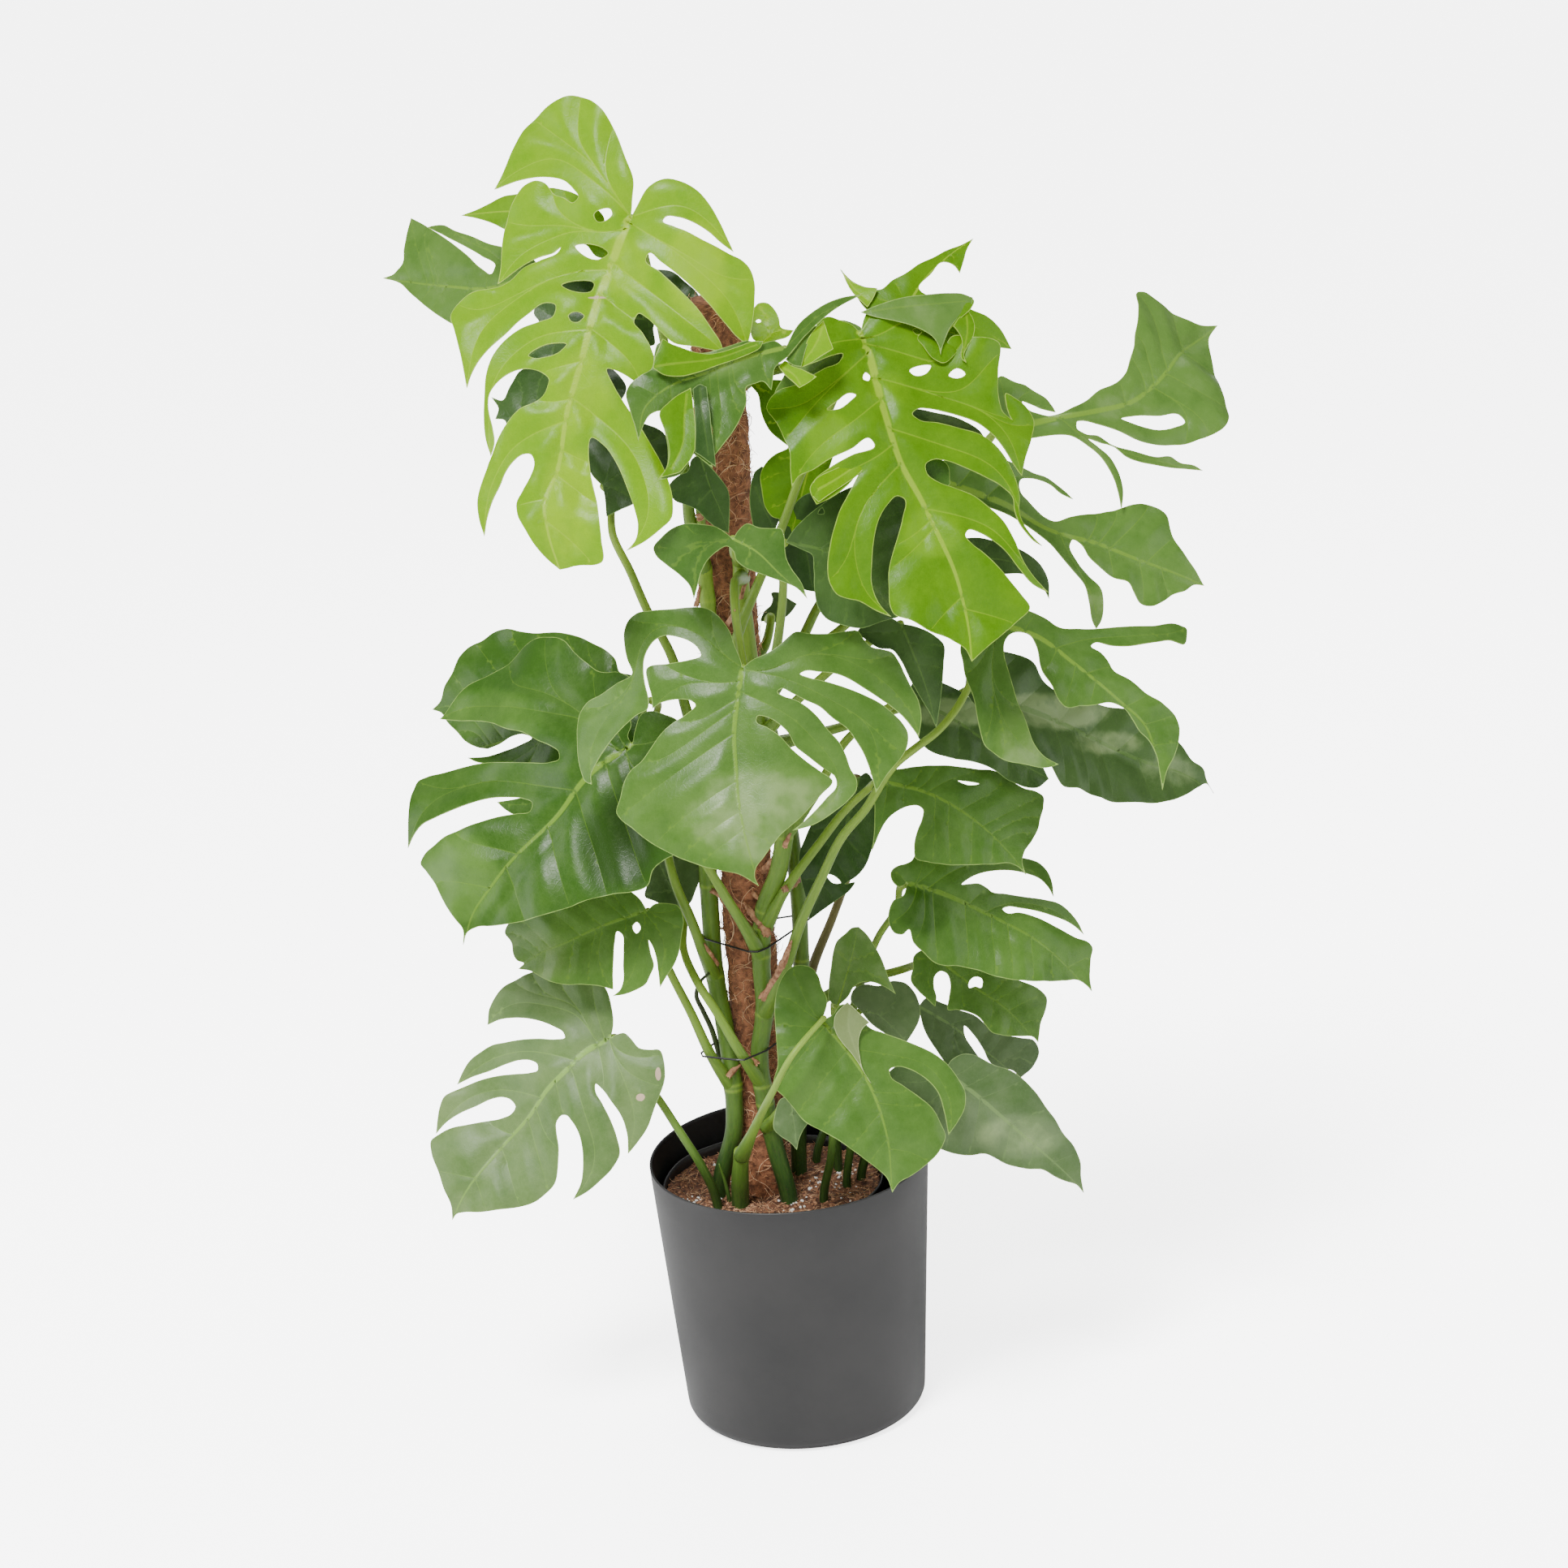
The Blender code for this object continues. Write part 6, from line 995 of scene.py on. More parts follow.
STALK_WIDTHS = (0.0088, 0.0056, 0.0048, 0.0044, 0.0040, 0.0038)
STALKS = {
    "leaf_01": dict(stem="stem_left", route="""866,700 850,640,-0.045 845,590,-0.045 836,520,-0.04
        818,420,-0.03 798,330,-0.05"""),
    "leaf_02": dict(stem="stem_back", route="897,445,0.042 885,405,0.085 820,360,0.12 740,340,0.135"),
    "leaf_03": dict(stem="stem_left", route="""871,950 846,876,-0.030 828,810,-0.03 796,749,-0.03
        776,703,-0.025 756,662,-0.01"""),
    "leaf_04": dict(stem="stem_left", route="""872,900 893,830,-0.064 918,758,-0.075 940,705,-0.085
        965,645,-0.09 985,590,-0.09 1015,520,-0.08 1045,450,-0.085"""),
    "leaf_05": dict(stem="stem_back", route="898,464,0.042 925,452,0.035 946,442,-0.03 958,436,-0.11"),
    "leaf_06": dict(stem="stem_back", route="900,484,0.042 935,462,0.045 980,450,0.045 1050,430,0.04"),
    "leaf_07": dict(stem="stem_back", route="""910,664,0.040 950,640,0.048 1000,600,0.06 1100,555,0.09
        1180,540,0.10"""),
    "leaf_08": dict(stem="stem_back", route="""940,870,0.038 972,820,0.032 991,782,0.03 1010,744,0.03
        1060,690,0.03 1105,640,0.03"""),
    "leaf_09": dict(stem="stem_back", route="936,858,0.038 980,818,0.028 1030,780,0.01 1090,730,-0.02"),
    "leaf_10": dict(stem="stem_front", route="""942,1250 953,1225,-0.062 968,1191,-0.075 988,1134,-0.09
        1013,1080,-0.105 1039,1029,-0.115 1064,1000,-0.12 1105,940,-0.12 1129,921,-0.12 1156,900,-0.11
        1177,875,-0.10 1205,820,-0.085"""),
    "leaf_11": dict(stem="stem_back", route="951,918,0.036 1040,895,0.07 1120,870,0.09"),
    "leaf_12": dict(stem="stem_front", route="""966,1030,-0.058 1000,985,-0.045 1045,910,-0.03
        1090,874,-0.015"""),
    "leaf_13": dict(stem="stem_front", route="""914,712 909,714,-0.09 905,724,-0.14 906,755,-0.168
        911,790,-0.165"""),
    "leaf_14": dict(stem="stem_front", route="""938,1178 918,1143,-0.06 899,1113,-0.068 870,1065,-0.075
        835,1010,-0.065 800,955,-0.05"""),
    "leaf_15": dict(stem="stem_left", route="""881,1205 865,1168,-0.03 850,1130,-0.04 832,1088,-0.04
        818,1030,-0.015 805,960,0.03 800,905,0.07"""),
    "leaf_16": dict(stem="stem_left", route="""903,1340 876,1300,-0.045 851,1247,-0.05 825,1196,-0.045
        808,1155,-0.035"""),
    "leaf_17": dict(stem="stem_front", route="""939,1335 911,1295,-0.062 883,1247,-0.062 857,1206,-0.045
        842,1168,-0.015"""),
    "leaf_18": dict(stem="shoot_left"),
    "leaf_19": dict(stem="stem_short", in_front=True, route="""914,1424,-0.062 934,1381,-0.135
        953,1343,-0.20 975,1302,-0.215"""),
    "leaf_20": dict(stem="shoot_middle"),
    "leaf_21": dict(stem="shoot_grey"),
    "leaf_22": dict(stem="shoot_tall"),
    "leaf_23": dict(stem="stem_front", route="941,1145 975,1085,-0.06 1005,1045,-0.06 1040,1000,-0.06"),
    "leaf_24": dict(stem="stem_back", route="986,1250,0.031 1040,1215,0.05 1110,1195,0.045"),
    "leaf_25": dict(stem="shoot_back"),
    "leaf_26": dict(stem="shoot_right"),
    "leaf_27": dict(stem="stem_back", route="""986,1270,0.031 1002,1190,0.045 1026,1130,0.06 1050,1060,0.08
        1060,1000,0.085"""),
    "leaf_28": dict(stem="stem_front", route="912,690 909,687,-0.10 904,680,-0.17"),
    "leaf_29": dict(stem="stem_front", route="938,908 985,860,-0.075 1050,805,-0.09"),
    "leaf_30": dict(stem="stem_front", route="928,845 952,818,-0.085 961,770,-0.11 965,719,-0.135"),
    "leaf_31": dict(stem="stem_back", route="909,648,0.040 944,618,0.042 965,572,0.03 995,525,0.01"),
    "leaf_32": dict(stem="stem_left", route="867,705 864,650,-0.047 862,605,-0.045"),
    "leaf_33": dict(stem="stem_back", route="898,456,0.042 920,442,0.045"),
    "leaf_34": dict(stem="stem_front", route="945,1388 958,1372,-0.070"),
    "leaf_35": dict(stem="stem_back", route="896,437,0.042 884,385,0.055 850,325,0.045 800,298,0.045"),
    "leaf_36": dict(stem="stem_back", route="899,478,0.042 878,448,0.068"),
    "leaf_37": dict(stem="stem_back", in_front=True, route="927,812,0.040 940,800,0.050"),
}

STEM_DARK, STEM_GREEN, STEM_PALE = (0.024, 0.062, 0.014), (0.125, 0.235, 0.030), (0.33, 0.49, 0.055)
STEM_BROWN = (0.15, 0.075, 0.050)
# How green a stem, a stalk and a shoot are from foot to tip: 0 dark, 0.5 green, 1 pale
STEM_SHADES, STALK_SHADES = (0.0, 0.30, 0.45, 0.52, 0.62, 0.75), (0.5, 0.62, 0.72, 0.8)
SHOOT_SHADES = (0.15, 0.3, 0.5, 0.62, 0.7)
STEM_SIDES, STALK_SIDES = 20, 14
STEM_TAPER = np.array((1.0, 1.0, 1.0, 0.8))
# How deep a stem stands in the soil, how far above it the route starts, and how far it stays off the pole
STEM_BURIED, STEM_CLEAR, POLE_GAP = 0.045, 0.004, 0.0015
# Near the soil stems get darker: over this height, down to this share of their shade
SOIL_SHADE_HEIGHT, DARKEST_SHADE = 0.13, 0.15
# A joint is met within this distance. It is a swelling and a pale ring, each with its half length.
JOINT_REACH, JOINT_SWELL, JOINT_LENGTH, RING_LENGTH = 0.03, 0.07, 0.006, 0.0016
# The knee below a blade: how far back it lies, how much it swells and its half length, and the same for its
# paler colour
KNEE_BACK, KNEE_SWELL, KNEE_LENGTH = 0.014, 0.16, 0.009
KNEE_PALE_BACK, KNEE_PALE, KNEE_PALE_LENGTH = 0.012, 0.12, 0.012
# A stalk bends to meet its blade squarely from this far off, and stops this short of it behind and before it
STALK_BEND, STALK_GAP_BEHIND, STALK_GAP_BEFORE = 0.024, 0.0032, 0.001
# Stalks that are unlike the others: brown = how far they have turned purple brown, slim = their width at the
# tip by the others'
STALK_LOOKS = {"leaf_27": {"brown": 0.75, "slim": 0.9}, "leaf_19": {"slim": 0.70}}

stem_skin, given, out = group_of("stem skin", {
    "Dark": COLOUR, "Green": COLOUR, "Pale": COLOUR, "Brown": COLOUR, "Gloss": FLOAT})
tree = stem_skin


def reading(tree, name, output="Fac"):
    """What a piece's attribute says."""
    return wire(tree, "ShaderNodeAttribute", attribute_name=name).outputs[output]


grain = reading(tree, "grain", "Vector")
long_grain = wire(tree, "ShaderNodeVectorMath", {0: grain, 1: (1.4, 1.4, 22.0)}, operation="MULTIPLY")
short_grain = wire(tree, "ShaderNodeVectorMath", {0: grain, 1: (3.0, 3.0, 400.0)}, operation="MULTIPLY")
streak = noise(tree, long_grain.outputs[0], 1.5, 4.0, 0.6)
speck = noise(tree, short_grain.outputs[0], 1.6, 2.0, 0.5)
shade = sums(tree, "MULTIPLY_ADD", sums(tree, "SUBTRACT", streak, 0.5), 0.5, reading(tree, "shade"))
colour = blended(tree, stretched(tree, shade, 0.0, 0.5), given["Dark"], given["Green"])
colour = blended(tree, stretched(tree, shade, 0.5, 1.0), colour, given["Pale"])
colour = blended(tree, sums(tree, "MULTIPLY", reading(tree, "ring"), 0.45), colour, given["Pale"])
speckle = sums(tree, "MULTIPLY", stretched(tree, speck, 0.62, 0.74), 0.35)
colour = blended(tree, speckle, colour, given["Brown"])
colour = blended(tree, reading(tree, "brown"), colour, given["Brown"])
skin = wire(tree, "ShaderNodeBsdfPrincipled", {
    "Base Color": colour, "Roughness": sums(tree, "MULTIPLY_ADD", streak, 0.15, given["Gloss"]),
    "Specular IOR Level": 0.3,
    "Subsurface Weight": 0.08, "Subsurface Radius": (0.004, 0.006, 0.002), "Subsurface Scale": 0.5,
    "Normal": bumped(tree, speck, 0.0002)})
tree.links.new(skin.outputs[0], out)
stem_finish = finish_from("stem green", stem_skin, {"Green": STEM_GREEN, "Dark": STEM_DARK, "Pale": STEM_PALE,
                                                    "Brown": STEM_BROWN, "Gloss": 0.34})


def beside_pole(across, down, radius):
    """The real place at a pixel where a stem of this radius lies against the front half of the pole."""
    distance = POLE_RADIUS + radius + POLE_GAP
    depth = -distance
    for _ in range(8):
        place = picture_point(across, down, depth)
        offset = min(distance, abs(place[0] - pole_axis(place[2])))
        depth = -math.sqrt(distance * distance - offset * offset)
    return picture_point(across, down, depth)


def route_places(text, radius):
    """A route in text: pixels that lie against the pole, or pixels with a depth."""
    places = []
    for word in text.split():
        parts = [float(part) for part in word.split(",")]
        places.append(beside_pole(*parts, radius) if len(parts) == 2 else picture_point(*parts))
    return places


def stalk_end(name):
    """The last two places of a stalk, where it meets its blade from behind or from the front."""
    blade = Blade(name)
    if STALKS[name].get("in_front"):
        return [blade.joint + blade.normal * STALK_BEND, blade.joint + blade.normal * STALK_GAP_BEFORE]
    return [blade.joint - blade.normal * STALK_BEND, blade.joint - blade.normal * STALK_GAP_BEHIND]


def bell(distance, length):
    """1 at no distance, and fast down to 0 further off than this length."""
    return np.exp(-(distance / length) ** 2)


def green_tube(route, radii, sides, joints, shades, knee=False, brown=0.0, step=0.003):
    """A stem or a stalk as (places, faces, numbers), with a ring at each joint that is met on the way."""
    line, reach = even_line(smooth_line(route, step), step)
    share = reach / reach[-1]
    radius = np.interp(share, np.linspace(0, 1, len(radii)), radii)
    ring = np.zeros(len(line))
    for joint in joints:
        gap = np.linalg.norm(line - joint, axis=1)
        at = reach[np.argmin(gap)]
        if gap.min() < JOINT_REACH:
            radius = radius * (1 + JOINT_SWELL * bell(reach - at, JOINT_LENGTH))
            ring = np.maximum(ring, bell(reach - at, RING_LENGTH))
    shade = np.interp(share, np.linspace(0, 1, len(shades)), shades)
    shade *= np.clip(DARKEST_SHADE + (line[:, 2] - SOIL_TOP) / SOIL_SHADE_HEIGHT, DARKEST_SHADE, 1.0)
    if knee:
        radius *= 1 + KNEE_SWELL * bell(reach[-1] - reach - KNEE_BACK, KNEE_LENGTH)
        shade += KNEE_PALE * bell(reach[-1] - reach - KNEE_PALE_BACK, KNEE_PALE_LENGTH)
    places, faces, grain = tube(line, radius, sides)
    numbers = {"grain": grain, "shade": np.repeat(shade, sides), "ring": np.repeat(ring, sides),
               "brown": np.full(len(places), brown)}
    return places, faces, numbers


for name, facts in STEMS.items():
    radius = facts["radius"]
    ground = np.array((*facts["root"], SOIL_TOP))
    route = [ground - (0.0, 0.0, STEM_BURIED), ground + (0.0, 0.0, STEM_CLEAR)]
    route += route_places(facts["route"], radius)
    grown = [stalk for stalk in STALKS if STALKS[stalk]["stem"] == name]
    if facts.get("single"):
        route += stalk_end(grown[0])
        parts = [green_tube(route, facts["widths"], STALK_SIDES, [], SHOOT_SHADES, knee=True)]
    else:
        feet = [route_places(STALKS[stalk]["route"], radius)[0] for stalk in grown]
        nodes = feet + route[3::4]
        parts = [green_tube(route, radius * STEM_TAPER, STEM_SIDES, nodes, STEM_SHADES)]
        for stalk in grown:
            way = route_places(STALKS[stalk]["route"], radius) + stalk_end(stalk)
            look = STALK_LOOKS.get(stalk, {})
            widths = np.array(STALK_WIDTHS) * np.linspace(1.0, look.get("slim", 1.0), len(STALK_WIDTHS))
            parts.append(green_tube(way, widths, STALK_SIDES, [], STALK_SHADES, knee=True,
                                    brown=look.get("brown", 0.0)))
    places, faces, numbers = gather(parts)
    add_piece(name + "_skin", places, faces, [stem_finish], (name,), "stem", numbers)
    standing.append((places, faces))

# Loose bits on the stems
# Brown papery sheaths stay in the forks where the stalks leave the stems, dry and curled with torn ends. One
# thin dark air root hangs beside the left stem, and a small green shoot stands in the soil. Each sheath has its
# route in pixels and its half width.
SHEATHS = {
    "sheath_a": ("947,1153 940,1141 928,1127 915,1110", 0.0052),
    "sheath_b": ("938,1232 951,1216 963,1192 975,1159", 0.0050),
    "sheath_c": ("938,1076 948,1066 959,1055 974,1027", 0.0046),
    "sheath_d": ("964,1097 981,1087 998,1069", 0.0038),
    "sheath_e": ("885,1190 878,1180 868,1163", 0.0026),
    "sheath_f": ("897,1327 903,1319 913,1312", 0.0034),
    "sheath_g": ("934,1312 927,1306 920,1296", 0.0030),
    "sheath_h": ("876,1097 886,1102 893,1118", 0.0030),
    "sheath_i": ("926,1098 931,1104 936,1110", 0.0026),
    "sheath_j": ("913,738 917,722 924,703", 0.0022),
    "sheath_k": ("893,775 899,764 906,751", 0.0030),
    "sheath_l": ("857,748 860,738 862,722", 0.0026),
    "sheath_m": ("861,633 866,645 876,652", 0.0034),
}
SHEATH_THICKNESS, SHEATH_LIFT, SHEATH_SEED = 0.0005, 0.0045, 70
sheath_finish = plain_finish("papery sheath", (0.26, 0.105, 0.050), (0.60, 0.32, 0.17), scale=190.0,
                             gloss=0.65, grain=900.0, depth=0.0006)
surfaces = [BVHTree.FromPolygons([Vector(place) for place in places.tolist()], faces)
            for places, faces in standing]


def depth_at(across, down):
    """The depth (y) of the nearest stem or pole at a pixel, or nothing."""
    ray = Vector(picture_rays((across, down))[0])
    hits = [surface.ray_cast(Vector(EYE), ray)[0] for surface in surfaces]
    found = [hit.y for hit in hits if hit is not None]
    return min(found) if found else None


def thin_shell(rows, thickness):
    """A closed thin sheet over a grid of places."""
    down, across = rows.shape[:2]
    slope_one, slope_two = np.gradient(rows, axis=0), np.gradient(rows, axis=1)
    normal = np.cross(slope_one, slope_two)
    normal /= np.maximum(np.linalg.norm(normal, axis=2), 1e-12)[:, :, None]
    if (normal.reshape(-1, 3) @ AHEAD).mean() > 0:
        normal = -normal
    count = down * across
    above, below = rows + normal * thickness / 2, rows - normal * thickness / 2
    places = np.concatenate((above.reshape(-1, 3), below.reshape(-1, 3)))
    faces = []
    for row in range(down - 1):
        for column in range(across - 1):
            corner = row * across + column
            quad = (corner, corner + 1, corner + across + 1, corner + across)
            faces += [quad, tuple(count + spot for spot in quad[::-1])]
    ring = list(range(across)) + [row * across + across - 1 for row in range(1, down)]
    ring += [(down - 1) * across + column for column in range(across - 2, -1, -1)]
    ring += [row * across for row in range(down - 2, 0, -1)]
    for one, two in zip(ring, ring[1:] + ring[:1]):
        faces.append((two, one, one + count, two + count))
    first, second, third = places[list(faces[0][:3])]
    if np.cross(second - first, third - first) @ AHEAD > 0:
        faces = [face[::-1] for face in faces]
    return places, faces


for turn, (name, (text, wide)) in enumerate(SHEATHS.items()):
    draw = np.random.default_rng(SHEATH_SEED + turn)
    spots = even_line(smooth_line(pixels(text)[0], 1.5), 2.0)[0]
    depths = [depth_at(*spot) for spot in spots]
    known = [index for index, depth in enumerate(depths) if depth is not None]
    slope = np.polyfit(known, [depths[index] for index in known], 1)
    line = np.array([picture_point(*spot, np.polyval(slope, index) - SHEATH_LIFT)
                     for index, spot in enumerate(spots)])
    share = np.linspace(0, 1, len(line))
    half = wide * (0.55 + 0.45 * np.sin(math.pi * (0.25 + 0.6 * share))) * (1 - 0.75 * share ** 3)
    ahead = np.gradient(line, axis=0)
    side = np.cross(ahead, AHEAD)
    side /= np.linalg.norm(side, axis=1)[:, None]
    rows = []
    for across in np.linspace(-1, 1, 9):
        torn = 1 + 0.22 * draw.uniform(-1, 1, len(line)) * (abs(across) > 0.9)
        ragged = line + ahead * (draw.uniform(-0.7, 0.7) * (np.abs(share - 0.5) > 0.4))[:, None]
        curl = 0.8 * wide * across ** 2 - 0.12 * wide * math.cos(across * 9 + turn)
        rows.append(ragged + side * (half * torn * across)[:, None] + AHEAD * curl)
    add_piece(name, *thin_shell(np.stack(rows, axis=1), SHEATH_THICKNESS), [sheath_finish], (), "stem")

AIR_ROOT = """874,1199,-0.022 864,1208,-0.022 858,1226,-0.022 866,1245,-0.020 876,1266,-0.018 885,1295,-0.016
    893,1330,-0.014 898,1356,-0.012"""
AIR_ROOT_WIDTHS, AIR_ROOT_SHADES = (0.0014, 0.0026, 0.0030, 0.0030, 0.0026), (0.05, 0.0, 0.1, 0.0, 0.1)
places, faces, numbers = green_tube(route_places(AIR_ROOT, 0.0), AIR_ROOT_WIDTHS, 8, [], AIR_ROOT_SHADES,
                                    brown=0.15)
add_piece("air_root", places, faces, [stem_finish], (), "stem", numbers)
SMALL_SHOOT_FOOT, SMALL_SHOOT_TIP = (900, 1484), (886, 1434)
SMALL_SHOOT_WIDTHS, SMALL_SHOOT_SHADES = (0.0026, 0.0024, 0.0016, 0.0006), (0.3, 0.5, 0.6)
ray = picture_rays(SMALL_SHOOT_FOOT)[0]
foot = EYE + ray * (SOIL_TOP - 0.003 - EYE[2]) / ray[2]
tip = picture_point(*SMALL_SHOOT_TIP, foot[1] - 0.004)
places, faces, numbers = green_tube([foot, (foot + tip) / 2 + (0.001, 0.0, 0.0), tip], SMALL_SHOOT_WIDTHS,
                                    10, [], SMALL_SHOOT_SHADES)
add_piece("small_shoot", places, faces, [stem_finish], (), "stem", numbers)

# Leaf blades: their surface
# Thin leathery blades, glossy above and duller and paler below. A raised pale midrib runs to the tip, one main
# vein runs out into each lobe, the surface swells a little between the veins, and a fine pale line follows the
# edge. Pale wisps and many of the paler patches on the faces are painted highlights, and where they are strong
# they turn to a pale grey green painted highlight colour.
LEAF_THICKNESS = 0.0008
EDGE_BAND = 0.0015
# Blades from this length up have the full swell and waves, and smaller ones as much less as they are shorter
FULL_LENGTH = 0.25
# How much a blade swells between its veins where SWELLS says nothing, how far from a vein that takes, and how
# far its edge bends down and over what width
USUAL_SWELL, SWELL_WIDTH, EDGE_DROP, EDGE_DROP_WIDTH = 0.0042, 0.012, 0.0018, 0.006
# The slow waves of a blade: their height, their size, and how far round the joint the blade stays calm
WAVE_HEIGHT, WAVE_SIZE, WAVE_START, WAVE_SEED = 0.0085, 0.075, 0.05, 40
# How the mesh is cut, in metres: the triangles of long and of short blades, the outline, the holes, the lines
# of the veins, the samples of an edge and of a vein, the margin that the even triangles leave free, and the
# cells that keep points from doubling
WIDE_MESH, FINE_MESH, LONG_BLADE = 0.0052, 0.0042, 0.2
OUTLINE_STEP, HOLE_STEP, VEIN_STEP, EDGE_STEP, VEIN_SAMPLE, CLEAR_MARGIN, CELL = (
    0.0032, 0.0025, 0.002, 0.001, 0.0005, 0.0030, 0.0006)
# Veins: how much a way along the midrib costs by one across, how wide the midrib is by the blade's length, and
# how wide a side vein is by the midrib. SIDE_RANK marks side veins, as 1 marks the midrib.
VEIN_LEAN, MIDRIB_WIDTH, SIDE_WIDTH, SIDE_RANK = 0.62, 0.0115, 0.19, 0.42
# Out of reach in the search for the way of a vein
FAR = 9.0
# How far the edge may be from a vein, by the blade's length, where VEIN_GAPS says nothing, and the least
# distance that brings one more vein
USUAL_VEIN_GAP, LEAST_VEIN_GAP = 0.075, 0.018
# The search for veins: how much dearer a way is at the edge and how far from it that reaches, the rounds that
# smooth a vein, how far from the edge it ends, the shortest one, and how often one more vein is tried
EDGE_COST, EDGE_COST_WIDTH, SMOOTH_ROUNDS, VEIN_END, LEAST_VEIN, MORE_VEINS = 3, 0.005, 26, 0.003, 0.016, 14
# How much of its width the midrib loses on its way, and a side vein likewise
MIDRIB_TAPER, SIDE_TAPER = 0.82, 0.55
# Rows of mesh points beside the midrib and beside a side vein, by the half width of the vein
MIDRIB_ROWS, SIDE_ROWS = (-1.9, -1.0, 1.0, 1.9), (-1.8, 1.8)
# The relief by the half width of the vein: above, the midrib rises between two furrows and side veins are sunk,
# and below all of them stand out
MIDRIB_RISE, FURROW_DEPTH, FURROW_PLACE, FURROW_WIDTH, SIDE_SINK, UNDER_RISE = 0.30, 0.12, 1.45, 0.5, 0.45, 0.9
# The colour of a vein ends at this many half widths. The skin is lighter for about this far beside the midrib,
# and beside side veins by this share of that.
VEIN_COLOUR_END, BESIDE_WIDTH, BESIDE_SIDE_VEINS = 1.9, 0.008, 0.45
# The faint cross lines: how far they are set off from one vein to the next, and how much they slant
RUNG_SHIFT, RUNG_SLANT = 0.0027, 0.8
# The next to last value of each tone is how much its upper face takes painted haziness (pale wisps and the painted
# highlight colour), and how much its specular level rises with it
LEAF_TONES = {
    "young": dict(base=(0.150, 0.355, 0.000), light=(0.27, 0.49, 0.001), vein=(0.38, 0.58, 0.03),
                  edge=(0.50, 0.68, 0.12), under=(0.26, 0.40, 0.06), gloss=0.32, side=0.40, rib=(1.0, 0.75),
                  painted_haze_and_shine=0.12, slot="young_leaf"),
    "fresh": dict(base=(0.070, 0.200, 0.001), light=(0.15, 0.33, 0.004), vein=(0.30, 0.48, 0.02),
                  edge=(0.40, 0.58, 0.09), under=(0.20, 0.33, 0.05), gloss=0.33, side=0.38, rib=(1.0, 0.70),
                  painted_haze_and_shine=0.15, slot="fresh_leaf"),
    "grown": dict(base=(0.042, 0.118, 0.011), light=(0.105, 0.215, 0.036), vein=(0.20, 0.36, 0.035),
                  edge=(0.34, 0.52, 0.12), under=(0.15, 0.26, 0.07), gloss=0.31, side=0.26, rib=(0.95, 0.35),
                  painted_haze_and_shine=0.35, slot="leaf"),
    "dark": dict(base=(0.022, 0.062, 0.011), light=(0.062, 0.125, 0.030), vein=(0.105, 0.20, 0.04),
                 edge=(0.22, 0.36, 0.10), under=(0.10, 0.18, 0.06), gloss=0.33, side=0.24, rib=(0.75, 0.35),
                 painted_haze_and_shine=0.40, slot="dark_leaf"),
    "grey": dict(base=(0.055, 0.115, 0.026), light=(0.135, 0.205, 0.082), vein=(0.20, 0.32, 0.10),
                 edge=(0.30, 0.44, 0.15), under=(0.17, 0.25, 0.10), gloss=0.40, side=0.25, rib=(0.70, 0.35),
                 painted_haze_and_shine=0.45, slot="grey_leaf"),
    "silver": dict(base=(0.066, 0.145, 0.028), light=(0.175, 0.270, 0.088), vein=(0.25, 0.44, 0.08),
                   edge=(0.34, 0.52, 0.15), under=(0.17, 0.25, 0.10), gloss=0.40, side=0.30, rib=(1.0, 0.45),
                   painted_haze_and_shine=0.50, slot="grey_leaf"),
    "pale": dict(base=(0.17, 0.24, 0.07), light=(0.24, 0.31, 0.12), vein=(0.30, 0.40, 0.15),
                 edge=(0.50, 0.62, 0.26), under=(0.17, 0.25, 0.10), gloss=0.46, side=0.30, rib=(0.8, 0.5),
                 painted_haze_and_shine=0.3, slot="leaf"),
}
# The leaves of each tone; all others are "grown"
TONED = {
    "young": "leaf_01 leaf_33",
    "fresh": "leaf_04 leaf_06 leaf_31 leaf_35",
    "dark": "leaf_03 leaf_09 leaf_11 leaf_12 leaf_27 leaf_29 leaf_30 leaf_32 leaf_36",
    "grey": "leaf_17 leaf_21 leaf_25 leaf_26 leaf_34 leaf_37",
    "silver": "leaf_18",
}
LEAF_TONE = {name: kind for kind, names in TONED.items() for name in names.split()}
# Places on single leaves that are paler or darker: centre and half size in pixels, and how much. Most of the
# paler ones are painted highlights, which take the pale painted highlight colour where they are strong; the two
# on leaf_05 are a paler tone of its own, and those below 0 make a place darker.
PAINTED_HIGHLIGHT_AND_TONE_PATCHES = {
    "leaf_05": ((862, 442, 78, 26, 1.0), (833, 540, 26, 60, 1.0)),
    "leaf_01": ((858, 335, 42, 70, 1.1), (705, 620, 42, 75, 0.7), (712, 480, 50, 60, 0.5),
                (772, 330, 35, 45, 0.5)),
    "leaf_13": ((745, 900, 60, 75, 0.2), (940, 1005, 120, 66, 1.5)),
    "leaf_14": ((560, 1080, 60, 60, 0.7), (600, 890, 75, 45, 0.5), (765, 1040, 55, 70, -0.5)),
    "leaf_16": ((650, 1185, 65, 45, 0.9),),
    "leaf_08": ((1352, 760, 48, 42, 1.3),),
    "leaf_10": ((1262, 925, 40, 60, 1.0),),
    "leaf_11": ((1295, 876, 78, 26, 2.1), (1362, 915, 50, 17, 1.3), (1440, 950, 40, 22, 0.5)),
    "leaf_12": ((1175, 878, 55, 22, 2.0), (1240, 925, 40, 14, 1.0)),
    "leaf_22": ((1140, 1120, 40, 40, -0.5),),
    "leaf_26": ((1255, 1400, 60, 30, 1.2), (1190, 1380, 50, 40, 0.4)),
    "leaf_31": ((940, 520, 30, 60, -0.5),),
    "leaf_04": ((1020, 545, 34, 45, 0.9), (1000, 640, 50, 70, 0.3), (1150, 655, 42, 36, 0.8),
                (1095, 480, 30, 26, 0.4)),
}
